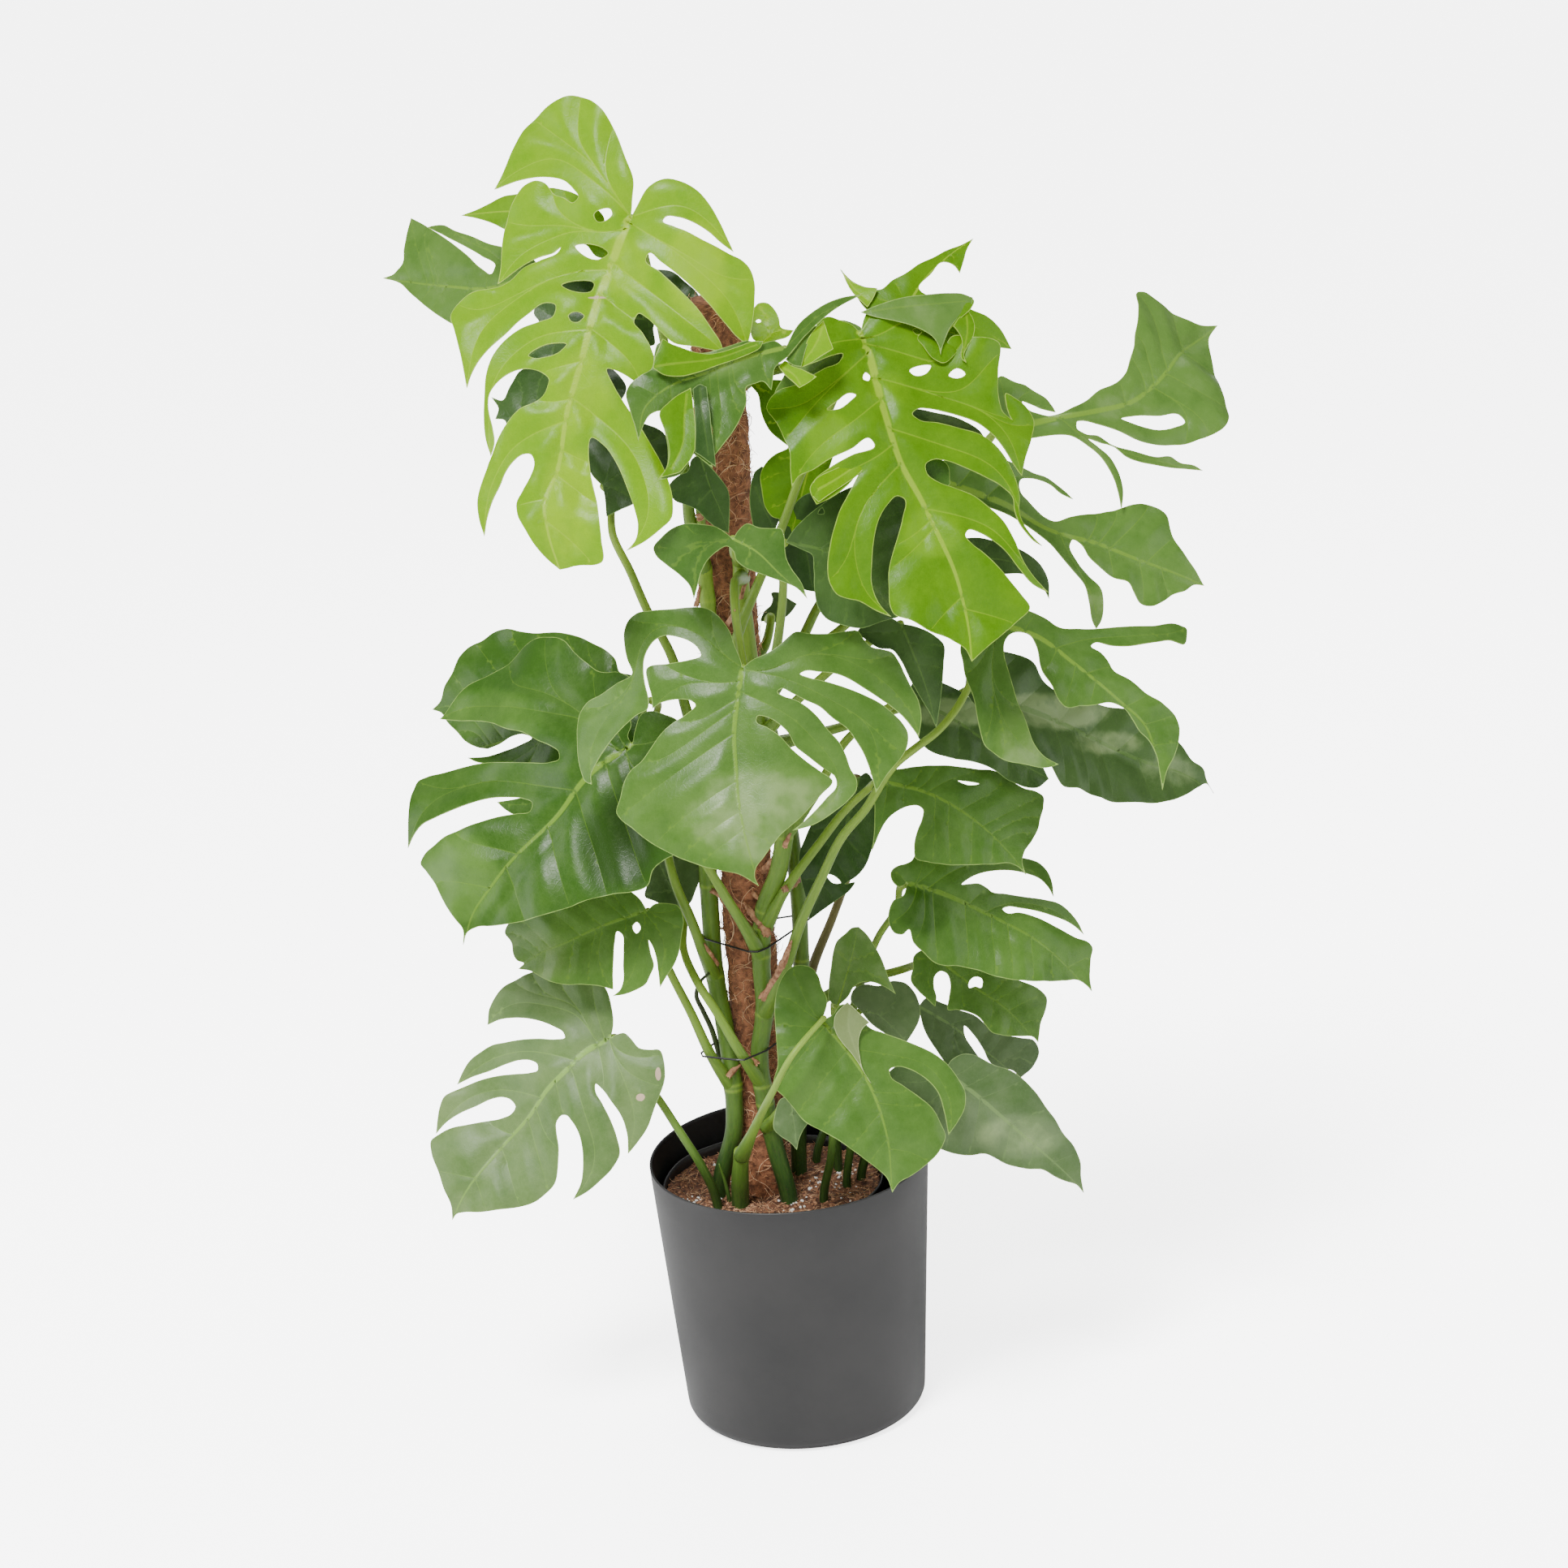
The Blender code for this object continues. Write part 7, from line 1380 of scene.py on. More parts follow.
# How much paler (above 0) or darker than its tone a whole leaf or loose sheet is
LEAF_SHADES = {
    "leaf_02": 0.60, "leaf_07": 0.70, "leaf_08": 0.40, "leaf_09": 0.30, "leaf_10": 0.20, "leaf_11": 0.55,
    "leaf_12": 0.30, "leaf_13": 0.30, "leaf_14": -0.20, "leaf_15": -0.20, "leaf_16": 0.40, "leaf_18": 0.15,
    "leaf_19": 0.30, "leaf_20": 1.00, "leaf_21": 0.60, "leaf_22": 0.20, "leaf_23": 0.15, "leaf_24": 0.40,
    "leaf_29": 0.50, "leaf_30": 0.50, "leaf_35": 0.60, "leaf_04_back": 1.0, "leaf_04_gap": -0.1,
    "leaf_04_strip": -0.3, "leaf_04_lobe": 0.9, "leaf_04_inner": 1.0,
}
# Leaves that swell between their veins, or have their veins apart, by another measure than USUAL_SWELL or
# USUAL_VEIN_GAP
SWELLS = {"leaf_27": 0.0052, "leaf_12": 0.0045, "leaf_01": 0.0055, "leaf_04": 0.0050, "leaf_14": 0.0044}
VEIN_GAPS = {"leaf_27": 0.045, "leaf_12": 0.06}
# Leaves whose midrib stands out less than on the others
RIB_SHARES = {"leaf_16": 0.5, "leaf_22": 0.5, "leaf_23": 0.6, "leaf_24": 0.5}
# Loose sheets: the leaf whose surface each follows, its tone, how far it lies in front of that leaf (or behind
# it, below 0), its outline in pixels and its vein. Those in front are folded lobes and curls, and a lobe of
# another tone (leaf_04_strip). Those behind fill places where another lobe or another leaf shows.
FOLDS = {
    "leaf_05_fold": ("leaf_05", "fresh", 0.007, """802,458* 804,446 808,436 813,424* 824,430 836,433 856,437
        876,437 893,433 911,427 929,422 939,423* 936,430 924,437 911,442 884,451 858,461 836,467 816,466""",
        "806,456 840,450 880,443 930,427"),
    "leaf_05_lobe": ("leaf_05", "fresh", 0.005, """810,592* 819,580 823,567 823,549 818,531 812,509 822,498
        835,487 851,478* 854,502 856,538 855,556* 850,568 842,578 837,584 824,588""",
        "846,486 843,515 840,550 826,580"),
    "leaf_05_tail": ("leaf_05", "dark", 0.003, """855,560* 856,538 855,505 853,480* 862,474 870,478* 873,500
        876,530 880,560 881,577* 872,570 862,563""", "862,480 866,520 872,560"),
    "leaf_19_fold": ("leaf_19", "pale", 0.008, """1072,1336* 1062,1319 1050,1301 1037,1286 1030,1276
        1026,1265* 1028,1252 1035,1243 1043,1236* 1051,1243 1060,1252 1070,1261* 1062,1268 1058,1278 1057,1290
        1059,1303 1061,1314""", "1046,1244 1044,1262 1050,1285 1064,1318"),
    "leaf_04_back": ("leaf_04", "grown", -0.012, """1018,400* 1036,390 1062,398 1066,440 1050,458 1022,466
        1002,478 985,488 966,492* 958,480 966,462 975,448 1000,430""", "1058,420 1030,432 1000,455 972,482"),
    "leaf_04_lobe": ("leaf_04", "grown", 0.005, """1060,386* 1071,381 1093,373 1117,367 1139,365 1166,364
        1185,366 1196,371* 1195,379 1189,385 1177,397 1167,410 1162,422 1158,434 1157,441* 1154,430 1147,420
        1137,413 1120,405 1102,399 1080,393""", "1066,386 1110,380 1150,377 1188,375"),
    "leaf_04_curl": ("leaf_04", "fresh", 0.008, """1190,387* 1195,395 1198,407 1196,420 1189,432 1185,442
        1188,452* 1182,447 1181,440 1183,431 1181,420 1175,412 1171,408* 1178,397""",
        "1188,392 1189,412 1184,440"),
    "leaf_04_gap": ("leaf_04", "fresh", -0.005, """1118,400* 1122,396 1150,394 1180,400* 1184,420 1174,440
        1161,449 1150,444 1134,424 1122,410""", "1124,402 1150,406 1178,410"),
    "leaf_04_inner": ("leaf_04", "dark", -0.016, """1116,500* 1130,496 1155,500 1190,510 1214,526 1224,546*
        1216,556 1190,550 1160,538 1126,528 1118,514""", "1118,508 1160,518 1218,548"),
    "leaf_07_tail": ("leaf_04", "grown", -0.014, """1132,562* 1150,556 1172,566 1176,588* 1160,600 1140,596
        1130,580""", "1136,566 1150,580 1168,590"),
    "leaf_31_flap": ("leaf_05", "young", -0.003, """1016,392* 1018,397 1022,410 1028,428* 1013,437 997,447
        987,451* 989,440 993,425 998,413 1007,401""", "1016,396 1010,415 990,446"),
    "leaf_31_side": ("leaf_05", "grown", -0.004, """1005,396* 1008,402 1000,414 995,426 991,440 988,451*
        980,449 973,445 969,441* 980,428 990,415 998,403""", "1004,400 992,416 978,442"),
    "leaf_31_foot": ("leaf_05", "young", -0.005, """961,449* 970,442 975,447 985,451 1007,463* 997,470
        986,476* 978,468 970,461""", "966,450 980,460 988,472"),
    "leaf_31_back": ("leaf_31", "dark", -0.010, """925,592* 930,580 938,574* 950,584 960,600 962,630 954,652*
        940,654 928,652* 924,630 923,610""", "930,600 940,625 950,645"),
    "leaf_31_shade": ("leaf_31", "dark", -0.004, """967,634* 975,626 988,612 1003,606 1020,611 1022,636
        1018,664 1014,690 1008,712 1004,729* 990,726 980,716 973,704* 968,690 966,660""",
        "975,640 990,670 1000,720"),
    "leaf_04_strip": ("leaf_04", "young", 0.004, """998,601* 1003,593 1030,577 1055,566 1075,554* 1072,566
        1060,582 1040,597 1024,608 1008,620* 1001,612""", "1004,606 1030,590 1066,566"),
    "leaf_06_flap": ("leaf_06", "young", 0.004, """1036,332* 1043,343 1052,350 1063,355 1080,358* 1076,368
        1068,381* 1060,373 1050,362 1043,350""", "1038,336 1052,357 1068,372"),
}

# Dry brown marks on single leaves: centre and half size in pixels
MARKS = {"leaf_18": ((811, 1323, 3.5, 8.0), (789, 1352, 5.5, 4.5)), "leaf_01": ((736, 367, 11.0, 1.6),)}

# A pale grey green painted highlight, mixed into a leaf where it is painted lighter than its light colour, and the
# brown of the dry marks
LEAF_PAINTED_HIGHLIGHT, LEAF_SCAR = (0.42, 0.54, 0.24, 1.0), (0.60, 0.45, 0.31, 1.0)
# How far the faint cross lines beside the veins are apart
LEAF_RUNG = 0.0075
leaf_skin, given, out = group_of("leaf skin", {
    "Base": COLOUR, "Light": COLOUR, "Vein": COLOUR, "Edge": COLOUR, "Gloss": FLOAT, "Glow": FLOAT,
    "Haze": FLOAT})
tree = leaf_skin
flat = reading(tree, "flat", "Vector")
cloud = stretched(tree, noise(tree, flat, 26.0, 3.0), 0.3, 0.7)
mottle = noise(tree, flat, 130.0, 4.0, 0.6)
net = wire(tree, "ShaderNodeTexVoronoi", {"Vector": flat, "Scale": 210.0}, feature="DISTANCE_TO_EDGE")
net = stretched(tree, net.outputs[0], 0.0, 0.09, 1.0, 0.0)
ladder = sums(tree, "MULTIPLY", reading(tree, "ladder"), 2 * math.pi / LEAF_RUNG)
ladder = wire(tree, "ShaderNodeMath", {0: ladder}, operation="SINE").outputs[0]
near = reading(tree, "near")
rungs = sums(tree, "MULTIPLY", stretched(tree, ladder, 0.6, 1.0), near)
# share starts from pale: a leaf's own lighter or darker tone plus the patches, most of them painted highlights
drift = stretched(tree, noise(tree, flat, 38.0, 2.0), 0.36, 0.64, 0.6, 1.2)
share = sums(tree, "MULTIPLY", reading(tree, "pale"), drift)
# Slow wisps of paler colour as painted haziness: a soft painted highlight spread over the leaf
painted_haze_wisps = stretched(tree, noise(tree, flat, 14.0, 2.0), 0.36, 0.62)
for look, much in ((rungs, 0.10), (near, 0.25), (cloud, 0.35), (sums(tree, "SUBTRACT", mottle, 0.5), 0.5),
                   (net, 0.10), (painted_haze_wisps, sums(tree, "MULTIPLY", given["Haze"], 0.8))):
    share = sums(tree, "MULTIPLY_ADD", look, much, share)
colour = blended(tree, share, given["Base"], given["Light"])
# Where a place is painted lighter than the light colour, it turns towards the pale painted highlight colour, as
# much as the tone's share of painted haziness says
painted_highlight = sums(tree, "MULTIPLY", stretched(tree, share, 1.15, 2.3), given["Haze"])
colour = blended(tree, painted_highlight, colour, LEAF_PAINTED_HIGHLIGHT)
dim = stretched(tree, reading(tree, "pale"), -1.0, 0.0, 0.35, 1.0)
dim = wire(tree, "ShaderNodeCombineXYZ", {0: dim, 1: dim, 2: dim}).outputs[0]
colour = blended(tree, 1.0, colour, dim, "MULTIPLY")
line = stretched(tree, reading(tree, "vein"), 0.30, 0.55)
colour = blended(tree, sums(tree, "MULTIPLY", line, reading(tree, "rank")), colour, given["Vein"])
edge = stretched(tree, reading(tree, "margin"), 0.42, 0.62)
colour = blended(tree, sums(tree, "MULTIPLY", edge, 0.75), colour, given["Edge"])
scar = sums(tree, "MULTIPLY_ADD", sums(tree, "SUBTRACT", mottle, 0.5), 0.8, reading(tree, "mark"))
colour = blended(tree, stretched(tree, scar, 0.35, 0.6), colour, LEAF_SCAR)
relief = sums(tree, "MULTIPLY_ADD", net, 0.35, sums(tree, "MULTIPLY_ADD", rungs, 0.5, mottle))
# The painted haziness share also raises the specular level, which is real gloss
skin = wire(tree, "ShaderNodeBsdfPrincipled", {
    "Base Color": colour, "Roughness": sums(tree, "MULTIPLY_ADD", mottle, 0.22, given["Gloss"]), "IOR": 1.42,
    "Specular IOR Level": sums(tree, "MULTIPLY_ADD", given["Haze"], 0.35, 0.22),
    "Normal": bumped(tree, relief, 0.00012)})
glow = wire(tree, "ShaderNodeBsdfTranslucent", {"Color": colour})
lit = wire(tree, "ShaderNodeMixShader", {0: given["Glow"], 1: skin.outputs[0], 2: glow.outputs[0]})
tree.links.new(lit.outputs[0], out)


def leaf_finishes(kind):
    """The upper face, the lower face and the edge of a leaf of this tone."""
    facts = LEAF_TONES[kind]
    base, light, vein, edge = (facts[key] for key in ("base", "light", "vein", "edge"))
    made = []
    # For each face: its colours, gloss, translucent glow and share of painted haziness; the under face takes a
    # fixed share of the painted highlight, the edge none
    for part, colours, gloss, glow, painted_haze_and_shine in (
            ("", (base, light, vein, edge), facts["gloss"] - 0.1, 0.10, facts["painted_haze_and_shine"]),
            (" under", (facts["under"], light, vein, edge), 0.50, 0.10, 0.3),
            (" edge", (edge, edge, edge, edge), 0.40, 0.2, 0.0)):
        values = dict(zip(("Base", "Light", "Vein", "Edge"), colours), Gloss=gloss, Glow=glow, Haze=painted_haze_and_shine)
        made.append(finish_from("leaf " + kind + part, leaf_skin, values))
    return made


def inside(points, loop):
    """Which points lie inside a closed loop, by counting the edges that each one is left of."""
    x, y = points[:, 0], points[:, 1]
    result = np.zeros(len(points), bool)
    for (x0, y0), (x1, y1) in zip(loop, np.roll(loop, -1, axis=0)):
        if y0 != y1:
            result ^= ((y0 > y) != (y1 > y)) & (x < (x1 - x0) * (y - y0) / (y1 - y0) + x0)
    return result


def outside(points, loops):
    """Which points lie in none of these loops."""
    result = np.ones(len(points), bool)
    for loop in loops:
        result &= ~inside(points, loop)
    return result


def nearest(points, targets):
    """For each point, the nearest target and how far off it is."""
    finder = KDTree(len(targets))
    for index, target in enumerate(targets.tolist()):
        finder.insert((*target, 0.0), index)
    finder.balance()
    found = [finder.find((*point, 0.0)) for point in points.tolist()]
    return np.array([item[1] for item in found]), np.array([item[2] for item in found])


def closed_line(loop, step):
    """Places at an even distance round a closed loop."""
    return even_line(np.concatenate((loop, loop[:1])), step)[0][:-1]


def rightward(line, closed=False):
    """The direction square to a flat line at each of its points, to its right."""
    step = np.roll(line, -1, axis=0) - np.roll(line, 1, axis=0) if closed else np.gradient(line, axis=0)
    return np.stack((step[:, 1], -step[:, 0]), 1) / np.maximum(np.linalg.norm(step, axis=1), 1e-9)[:, None]


def triangles(loops, loose, lines=()):
    """Triangles of the flat blade, inside the first loop and outside the others, with edges along the lines."""
    points, edges = [], []
    for loop in loops:
        base = len(points)
        points += loop.tolist()
        edges += [(base + index, base + (index + 1) % len(loop)) for index in range(len(loop))]
    for line in lines:
        edges += [(len(points) + index, len(points) + index + 1) for index in range(len(line) - 1)]
        points += line.tolist()
    points += loose.tolist()
    flat, _, faces, _, _, _ = delaunay_2d_cdt([Vector(point) for point in points], edges, [], 0, 1e-6)
    flat = np.array([tuple(point) for point in flat])
    faces = np.array([tuple(face) for face in faces])
    middle = flat[faces].mean(axis=1)
    keep = inside(middle, loops[0]) & outside(middle, loops[1:])
    used, faces = np.unique(faces[keep], return_inverse=True)
    flat, faces = flat[used], faces.reshape(-1, 3)
    one, two = flat[faces[:, 1]] - flat[faces[:, 0]], flat[faces[:, 2]] - flat[faces[:, 0]]
    turned_over = one[:, 0] * two[:, 1] - one[:, 1] * two[:, 0] < 0
    faces[turned_over] = faces[turned_over][:, ::-1]
    return flat, faces


def smooth_outline(flat, sharp, step):
    """The outline as smooth runs between its sharp tips."""
    tips = [index for index, tip in enumerate(sharp) if tip]
    closed = np.concatenate((flat, flat[:1]))
    runs = [smooth_line(closed[start:end + 1], step)[:-1]
            for start, end in zip(tips, tips[1:] + [len(flat)])]
    return np.concatenate(runs)


def vein_lines(blade, loop, holes, tips, grid, spacing, widest):
    """The midrib and one vein to each lobe and to each wide part of the edge, as (line, half widths)."""
    spine = np.concatenate((np.zeros((1, 2)), blade.flatten(pixels(blade.facts["midrib"])[0]),
                            blade.flatten(pixels(blade.facts["end"])[0])))
    spine, reach = even_line(smooth_line(spine, 0.003), VEIN_STEP)
    flat, faces = triangles([loop] + holes, grid)
    pairs = np.unique(np.sort(np.concatenate((faces[:, :2], faces[:, 1:], faces[:, ::2])), axis=1), axis=0)
    ends = flat[pairs]
    edge = np.concatenate([closed_line(each, VEIN_STEP) for each in [loop] + holes])
    gap = nearest(ends.mean(axis=1), edge)[1]
    cost = np.linalg.norm(ends[:, 0] - ends[:, 1], axis=1) * (1 + EDGE_COST * np.exp(-gap / EDGE_COST_WIDTH))
    links = [[] for _ in flat]
    for (one, two), price in zip(pairs.tolist(), cost.tolist()):
        links[one].append((two, price))
        links[two].append((one, price))
    at, off = nearest(flat, spine)
    total = np.where(off < spacing * 0.8, VEIN_LEAN * reach[at] + off, FAR).tolist()
    before = [-1] * len(flat)
    queue = [(price, index) for index, price in enumerate(total) if price < FAR]
    heapq.heapify(queue)
    while queue:
        price, here = heapq.heappop(queue)
        if price > total[here]:
            continue
        for there, more in links[here]:
            if price + more < total[there]:
                total[there] = price + more
                before[there] = here
                heapq.heappush(queue, (price + more, there))
    width = MIDRIB_WIDTH * blade.length
    veins = [(spine, width * (1 - MIDRIB_TAPER * reach / reach[-1]), 1.0)]

    def grow(target):
        """Adds the vein that ends at this place, along the cheapest way from the midrib."""
        here = int(nearest(target[None], flat)[0][0])
        path = [here]
        while before[here] >= 0:
            here = before[here]
            path.append(here)
        path = np.concatenate((flat[path], spine[at[here]][None]))[::-1]
        if len(path) < 4:
            return
        for _ in range(SMOOTH_ROUNDS):
            path[1:-1] = (path[:-2] + 2 * path[1:-1] + path[2:]) / 4
        line, along = even_line(path, VEIN_STEP)
        share = along / along[-1]
        keep = along < along[-1] - VEIN_END
        if keep.sum() > 4:
            veins.append((line[keep], (width * SIDE_WIDTH * (1 - SIDE_TAPER * share))[keep], SIDE_RANK))

    for tip in sorted(tips, key=lambda spot: -np.linalg.norm(spot)):
        if nearest(tip[None], spine)[1][0] > LEAST_VEIN:
            grow(tip)
    rest = loop[::2]
    for _ in range(MORE_VEINS):
        known = np.concatenate([line for line, _, _ in veins])
        gaps = nearest(rest, known)[1]
        if gaps.max() < max(LEAST_VEIN_GAP, widest * blade.length):
            break
        worst = rest[np.argmax(gaps)]
        count = len(veins)
        grow(worst)
        rest = rest[np.linalg.norm(rest - worst, axis=1) > 0.012]
        if len(veins) == count and not len(rest):
            break
    return veins


def oval(pixel, x, y, wide, tall):
    """0 in the middle of an oval on the picture, 1 on its edge, and more outside it."""
    return ((pixel[:, 0] - x) / wide) ** 2 + ((pixel[:, 1] - y) / tall) ** 2


def make_sheet(name, blade, index, loop, holes, veins, kind, cad, lift, spacing):
    """A sheet over a blade: a fine upper face, the same face below it with raised ribs, and the edge between."""
    edge = np.concatenate([closed_line(each, EDGE_STEP) for each in [loop] + holes])
    tone = LEAF_TONES[kind]
    bands = []
    for each in [loop] + holes:
        out = rightward(each, closed=True)
        bands += [each + out * EDGE_BAND, each - out * EDGE_BAND]

    def free(points):
        return inside(points, loop) & (nearest(points, edge)[1] > EDGE_BAND * 0.75) & outside(points, holes)

    def cell_of(point):
        return tuple(np.round(point / CELL).astype(int).tolist())

    lines, ribs = [], []
    for line, widths, rank in veins:
        line, widths = line[::2], widths[::2]
        out = rightward(line)
        ribs += [line + out * widths[:, None] * way for way in (MIDRIB_ROWS if rank == 1 else SIDE_ROWS)]
        good = free(line)
        cuts = np.flatnonzero(np.diff(np.concatenate(([False], good, [False])).astype(int)))
        lines += [line[start:end] for start, end in zip(cuts[::2], cuts[1::2]) if end - start > 1]
    taken = {cell_of(point) for each in [loop] + holes + lines for point in each}
    loose = []
    for group in [np.concatenate(bands)] + ribs:
        for point in group[free(group)]:
            if cell_of(point) not in taken:
                taken.add(cell_of(point))
                loose.append(point)
    for x, y, wide, tall in MARKS.get(name, ()):
        ways = [(x + dx * wide * 0.25, y + dy * tall * 0.25) for dx in range(-6, 7) for dy in range(-6, 7)]
        ways = blade.flatten(np.array(ways))
        loose += list(ways[free(ways)])
    loose = np.array(loose)
    grid = even_grid(loop, holes, spacing)
    grid = grid[nearest(grid, edge)[1] > CLEAR_MARGIN]
    grid = grid[nearest(grid, np.concatenate([loose] + lines))[1] > spacing * 0.45]
    flat, faces = triangles([loop] + holes, np.concatenate((loose, grid)), lines)
    count = len(flat)

    samples = [even_line(line, VEIN_SAMPLE)[0] for line, _, _ in veins]
    width = np.concatenate([np.interp(np.linspace(0, 1, len(line)), np.linspace(0, 1, len(widths)), widths)
                            for line, (_, widths, _) in zip(samples, veins)])
    rank = np.concatenate([np.full(len(line), value) for line, (_, _, value) in zip(samples, veins)])
    along = np.concatenate([np.arange(len(line)) * VEIN_SAMPLE + turn * RUNG_SHIFT
                            for turn, line in enumerate(samples)])
    at, off = nearest(flat, np.concatenate(samples))
    rim = nearest(flat, edge)[1]
    half = width[at]
    main = rank[at] == 1.0
    ridge = np.clip(1 - (off / half) ** 2, 0, 1)
    size = min(1.0, blade.length / FULL_LENGTH)
    rib = tone["rib"][0] + (tone["rib"][1] - tone["rib"][0]) * np.clip(flat[:, 1] / blade.length, 0, 1)
    rib *= RIB_SHARES.get(name, 1.0)
    swell = SWELLS.get(name, USUAL_SWELL) * size * (1 - bell(off, SWELL_WIDTH))
    swell -= EDGE_DROP * size * np.exp(-rim / EDGE_DROP_WIDTH)
    wave = WAVE_HEIGHT * size * lumps(flat + index * 3.1, WAVE_SIZE, WAVE_SEED + index)
    wave *= 1 - np.exp(-np.linalg.norm(flat, axis=1) / WAVE_START)
    furrow = bell(off - FURROW_PLACE * half, FURROW_WIDTH * half)
    places = blade.place(flat, swell + wave + lift)
    corners = places[faces]
    across = np.cross(corners[:, 1] - corners[:, 0], corners[:, 2] - corners[:, 0])
    normals = np.zeros_like(places)
    for corner in range(3):
        np.add.at(normals, faces[:, corner], across)
    normals /= np.linalg.norm(normals, axis=1)[:, None]
    rise = np.where(main, MIDRIB_RISE * ridge - FURROW_DEPTH * furrow, -SIDE_SINK * ridge)
    upper = places + normals * (LEAF_THICKNESS / 2 + half * rise)[:, None]
    lower = places - normals * (LEAF_THICKNESS / 2 + half * UNDER_RISE * ridge)[:, None]

    directed = {(int(start), int(end)) for face in faces for start, end in zip(face, np.roll(face, -1))}
    border = sorted(pair for pair in directed if (pair[1], pair[0]) not in directed)
    solid = faces.tolist() + (faces[:, ::-1] + count).tolist()
    for start, end in border:
        solid += [(start, start + count, end + count), (start, end + count, end)]
    which = [0] * len(faces) + [1] * len(faces) + [2] * (2 * len(border))
    pixel = picture_spots(places)
    # pale: the leaf's own lighter or darker tone, plus the patches on both faces, most of them painted highlights
    pale = np.full(count, LEAF_SHADES.get(name, 0.0))
    for *spot, much in PAINTED_HIGHLIGHT_AND_TONE_PATCHES.get(name, ()):
        pale += much * np.clip(1.6 - 1.6 * oval(pixel, *spot), 0, 1)
    mark = np.zeros(count)
    for spot in MARKS.get(name, ()):
        mark = np.maximum(mark, np.clip(1.5 - oval(pixel, *spot), 0, 1))
    numbers = {
        "vein": np.clip(1 - off / (VEIN_COLOUR_END * half), 0, 1), "rank": np.where(main, rib, tone["side"]),
        "near": np.exp(-off / BESIDE_WIDTH) * np.where(main, 1.0, BESIDE_SIDE_VEINS),
        "ladder": along[at] - RUNG_SLANT * off, "margin": np.clip(1 - rim / EDGE_BAND, 0, 1), "pale": pale,
        "mark": mark,
        "flat": np.concatenate((flat, np.full((count, 1), index * 0.31)), axis=1)}
    numbers = {key: np.concatenate((values, values)) for key, values in numbers.items()}
    mesh = add_piece(name + "_blade", np.concatenate((upper, lower)), solid, finishes[kind], cad, tone["slot"],
                     numbers, which).data
    rim_edges = {tuple(sorted(pair)) for pair in border}
    rim_edges |= {(one + count, two + count) for one, two in rim_edges}
    pairs = np.zeros(len(mesh.edges) * 2, np.int32)
    mesh.edges.foreach_get("vertices", pairs)
    hard = [tuple(sorted(pair)) in rim_edges for pair in pairs.reshape(-1, 2).tolist()]
    mesh.edges.foreach_set("use_edge_sharp", hard)


def even_grid(loop, holes, spacing):
    """Places all over the flat blade, in rows that are set off by half a step."""
    low, high = loop.min(axis=0), loop.max(axis=0)
    columns = np.arange(low[0], high[0], spacing * 0.866)
    rows = [np.arange(low[1] + (turn % 2) * spacing / 2, high[1], spacing) for turn in range(len(columns))]
    grid = np.concatenate([np.stack((np.full(len(row), x), row), 1) for x, row in zip(columns, rows)])
    return grid[inside(grid, loop) & outside(grid, holes)]


def make_leaf(name, index, kind):
    """One whole leaf with its cuts, holes and veins."""
    blade = Blade(name)
    spots, sharp = pixels(blade.facts["outline"])
    flat = np.concatenate((np.zeros((1, 2)), blade.flatten(spots)))
    spacing = WIDE_MESH if blade.length > LONG_BLADE else FINE_MESH
    loop = smooth_outline(flat, [True] + sharp, OUTLINE_STEP)
    holes = [smooth_line(blade.flatten(pixels(hole)[0]), HOLE_STEP, closed=True)
             for hole in blade.facts["holes"]]
    edge = np.concatenate([closed_line(each, EDGE_STEP) for each in [loop] + holes])
    grid = even_grid(loop, holes, spacing)
    grid = grid[nearest(grid, edge)[1] > CLEAR_MARGIN]
    widest = VEIN_GAPS.get(name, USUAL_VEIN_GAP)
    veins = vein_lines(blade, loop, holes, flat[1:][np.array(sharp)], grid, spacing, widest)
    make_sheet(name, blade, index, loop, holes, veins, kind, (name,), 0.0, spacing)


def make_fold(name, index, leaf, kind, lift, text, vein):
    """A loose sheet that follows the surface of a leaf, a little way in front of it or behind it."""
    blade = Blade(leaf)
    spots, sharp = pixels(text)
    loop = smooth_outline(blade.flatten(spots), sharp, OUTLINE_STEP)
    line = even_line(smooth_line(blade.flatten(pixels(vein)[0]), VEIN_STEP), VEIN_STEP)[0]
    veins = [(line, np.linspace(0.0012, 0.0006, len(line)), SIDE_RANK)]
    make_sheet(name, blade, index, loop, [], veins, kind, (), lift, FINE_MESH)


FIRST_FOLD = 50
finishes = {kind: leaf_finishes(kind) for kind in LEAF_TONES}
for index, name in enumerate(BLADES):
    make_leaf(name, index, LEAF_TONE.get(name, "grown"))
for index, (name, facts) in enumerate(FOLDS.items()):
    make_fold(name, FIRST_FOLD + index, *facts)

# Wire ties
# Thin black coated wire pulled round the pole and the stems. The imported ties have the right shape, so only
# their surface is made here.
wire_finish = plain_finish("coated wire", (0.012, 0.012, 0.012), (0.02, 0.02, 0.02), scale=50.0, gloss=0.35,
                           grain=300.0, depth=0.00005)
for name in ("tie_upper", "tie_lower"):
    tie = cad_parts[name]
    tie.data.materials.clear()
    tie.data.materials.append(wire_finish)

# Floor, light and camera
# A plain pale floor that runs on behind, a sun and large soft lights from the left, the right, the front and
# behind, and a camera where the picture was taken from. The floor and the world are lighter to the camera
# (shown) than in the light they give to the plant.
FLOOR_REACH, FLOOR_ALBEDO, FLOOR_SHOWN, FLOOR_GLOW = 40.0, 0.8, 2.2, 3.0
WORLD_LIGHT, WORLD_SHOWN = 0.22, 5.8
KEY_POWER, KEY_SPREAD, KEY_WAY = 4.1, math.radians(20), (0.42, 0.80, -1.35)
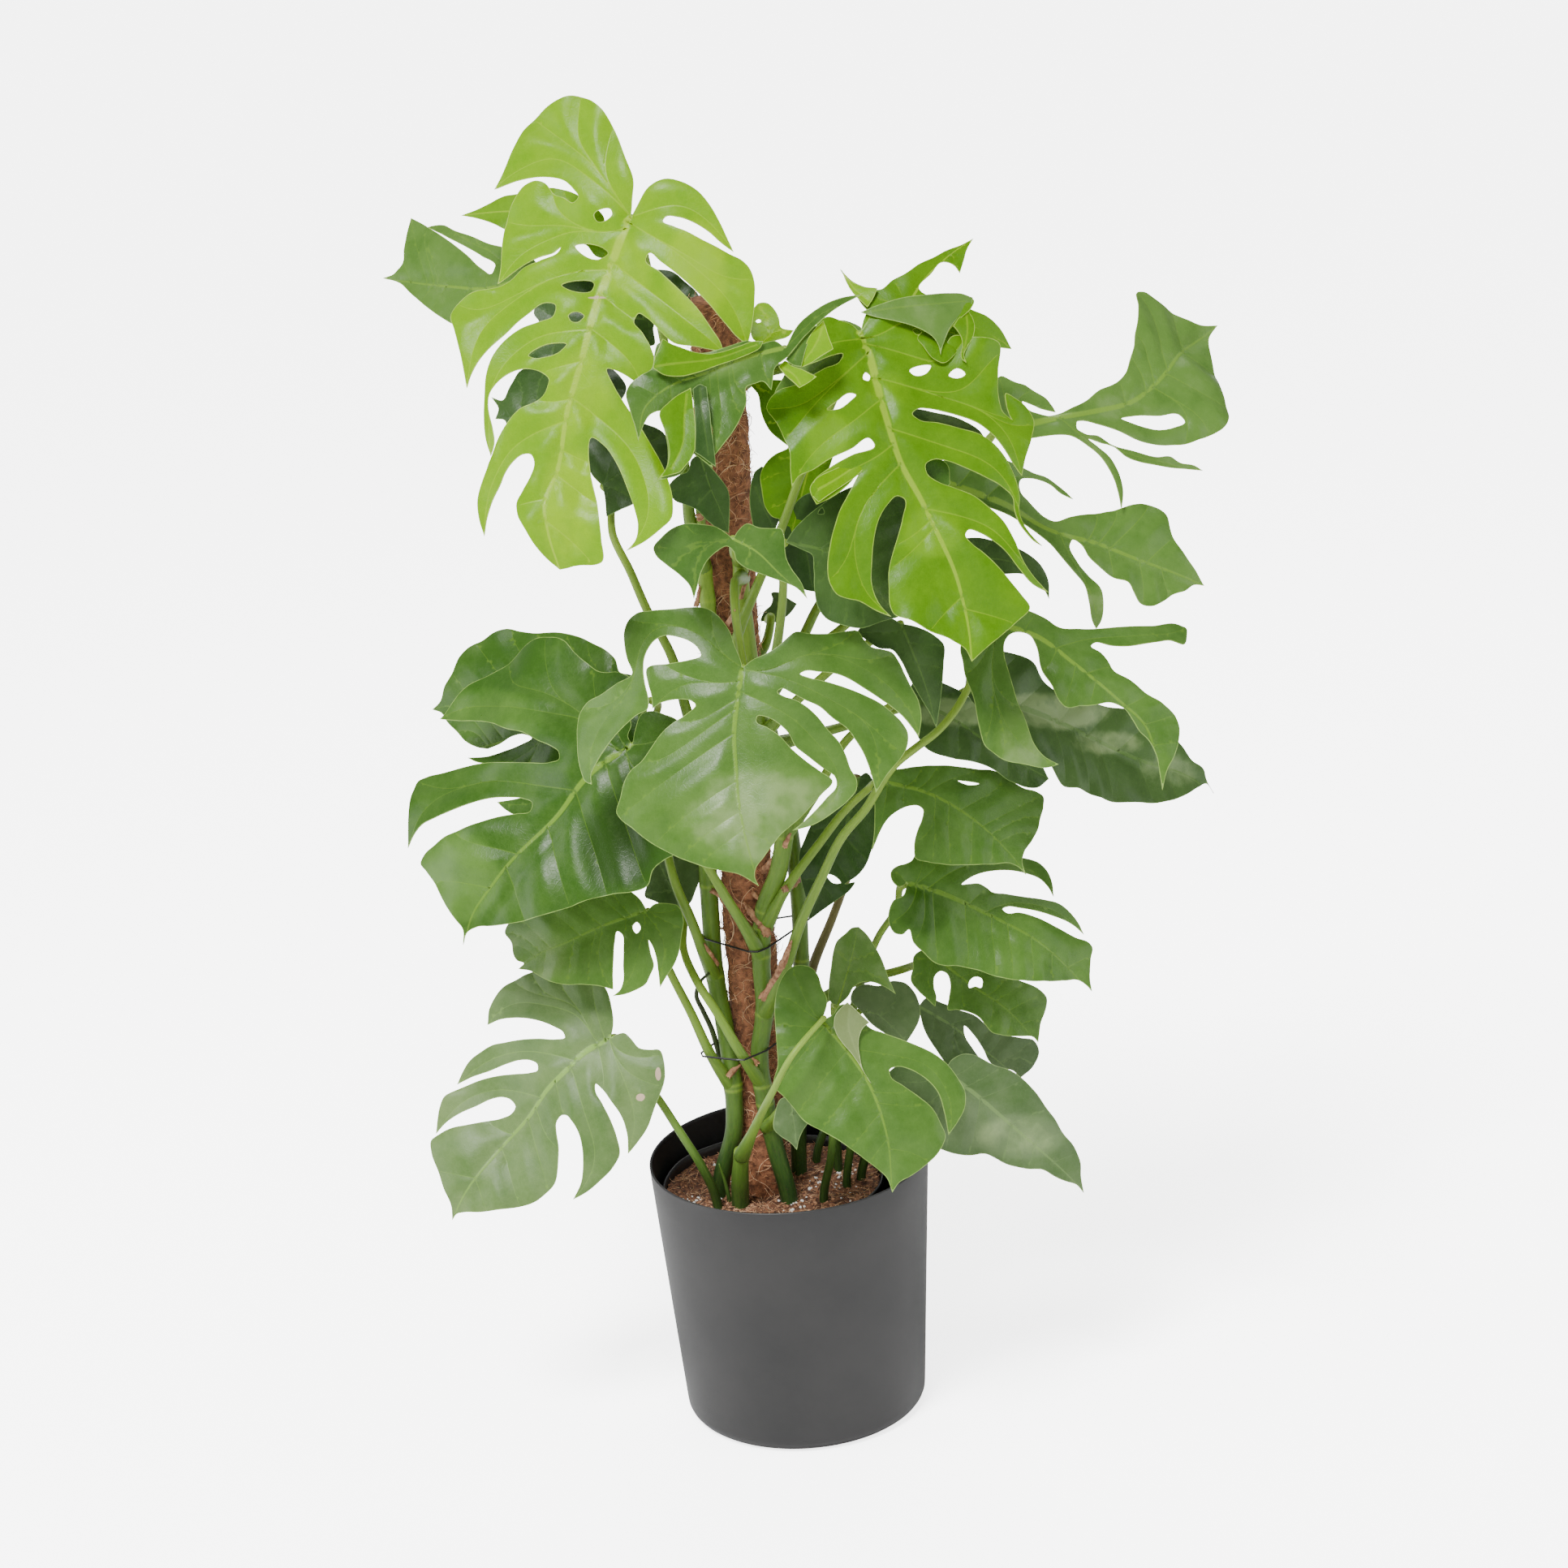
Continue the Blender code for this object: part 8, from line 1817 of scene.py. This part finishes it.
# Large lights: where each stands, what it is aimed at, its width and height, and its power in watts
LIGHTS = {
    "front": ((0.2, -3.3, 1.5), (0, 0, 0.7), (2.6, 2.0), 44.0),
    "left": ((-2.5, -0.3, 1.0), (0, 0, 0.5), (1.0, 2.4), 31.0),
    "right": ((2.7, -0.8, 1.3), (0, 0, 0.6), (1.0, 2.4), 21.0),
    "back": ((0.3, 2.0, 3.0), (0, 0, 0.6), (2.4, 1.4), 45.0),
}
floor = bpy.data.objects.new("floor", bpy.data.meshes.new("floor"))
corners = [(x * FLOOR_REACH, y * FLOOR_REACH, 0) for x, y in ((-1, -1), (1, -1), (1, 1), (-1, 1))]
floor.data.from_pydata(corners, [], [(0, 1, 2, 3)])
paper = bpy.data.materials.new("pale floor")
paper.use_nodes = True
tree = paper.node_tree
tree.nodes.clear()
seen = tree.nodes.new("ShaderNodeLightPath").outputs["Is Camera Ray"]
grey = stretched(tree, seen, 0.0, 1.0, FLOOR_ALBEDO, FLOOR_SHOWN)
grey = wire(tree, "ShaderNodeCombineColor", {0: grey, 1: grey, 2: grey})
matte = wire(tree, "ShaderNodeBsdfDiffuse", {"Color": grey.outputs[0]})
glow = wire(tree, "ShaderNodeEmission", {"Strength": sums(tree, "MULTIPLY", seen, FLOOR_GLOW)})
both = wire(tree, "ShaderNodeAddShader", {0: matte.outputs[0], 1: glow.outputs[0]})
tree.links.new(both.outputs[0], tree.nodes.new("ShaderNodeOutputMaterial").inputs["Surface"])
floor.data.materials.append(paper)
bpy.context.scene.collection.objects.link(floor)
floor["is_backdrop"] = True

world = bpy.data.worlds.new("studio")
world.use_nodes = True
tree = world.node_tree
seen = tree.nodes.new("ShaderNodeLightPath").outputs["Is Camera Ray"]
shine = stretched(tree, seen, 0.0, 1.0, WORLD_LIGHT, WORLD_SHOWN)
tree.nodes["Background"].inputs["Color"].default_value = (1.0, 1.0, 1.0, 1.0)
tree.links.new(shine, tree.nodes["Background"].inputs["Strength"])
bpy.context.scene.world = world


def add_lamp(light, place, way):
    """A lamp at this place that shines this way."""
    lamp = bpy.data.objects.new(light.name, light)
    lamp.location = place
    lamp.rotation_mode = "QUATERNION"
    lamp.rotation_quaternion = Vector(way).to_track_quat("-Z", "Y")
    bpy.context.scene.collection.objects.link(lamp)
    lamp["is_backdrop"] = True
    return lamp


key = bpy.data.lights.new("key", "SUN")
key.energy = KEY_POWER
key.angle = KEY_SPREAD
add_lamp(key, (0, 0, 0), KEY_WAY)
for name, (place, aim, size, power) in LIGHTS.items():
    light = bpy.data.lights.new(name, "AREA")
    light.shape = "RECTANGLE"
    light.size, light.size_y = size
    light.energy = power
    add_lamp(light, place, Vector(aim) - Vector(place)).visible_glossy = name != "front"

camera = bpy.data.cameras.new("camera")
camera.sensor_width = 36.0
camera.lens = PICTURE_FOCUS * camera.sensor_width / PICTURE_SIZE
camera.clip_end = 100.0
viewer = bpy.data.objects.new("camera", camera)
turn = Matrix((ACROSS, UPWARD, -AHEAD)).transposed().to_4x4()
viewer.matrix_world = Matrix.Translation(EYE) @ turn
bpy.context.scene.collection.objects.link(viewer)
bpy.context.scene.camera = viewer

low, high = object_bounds()
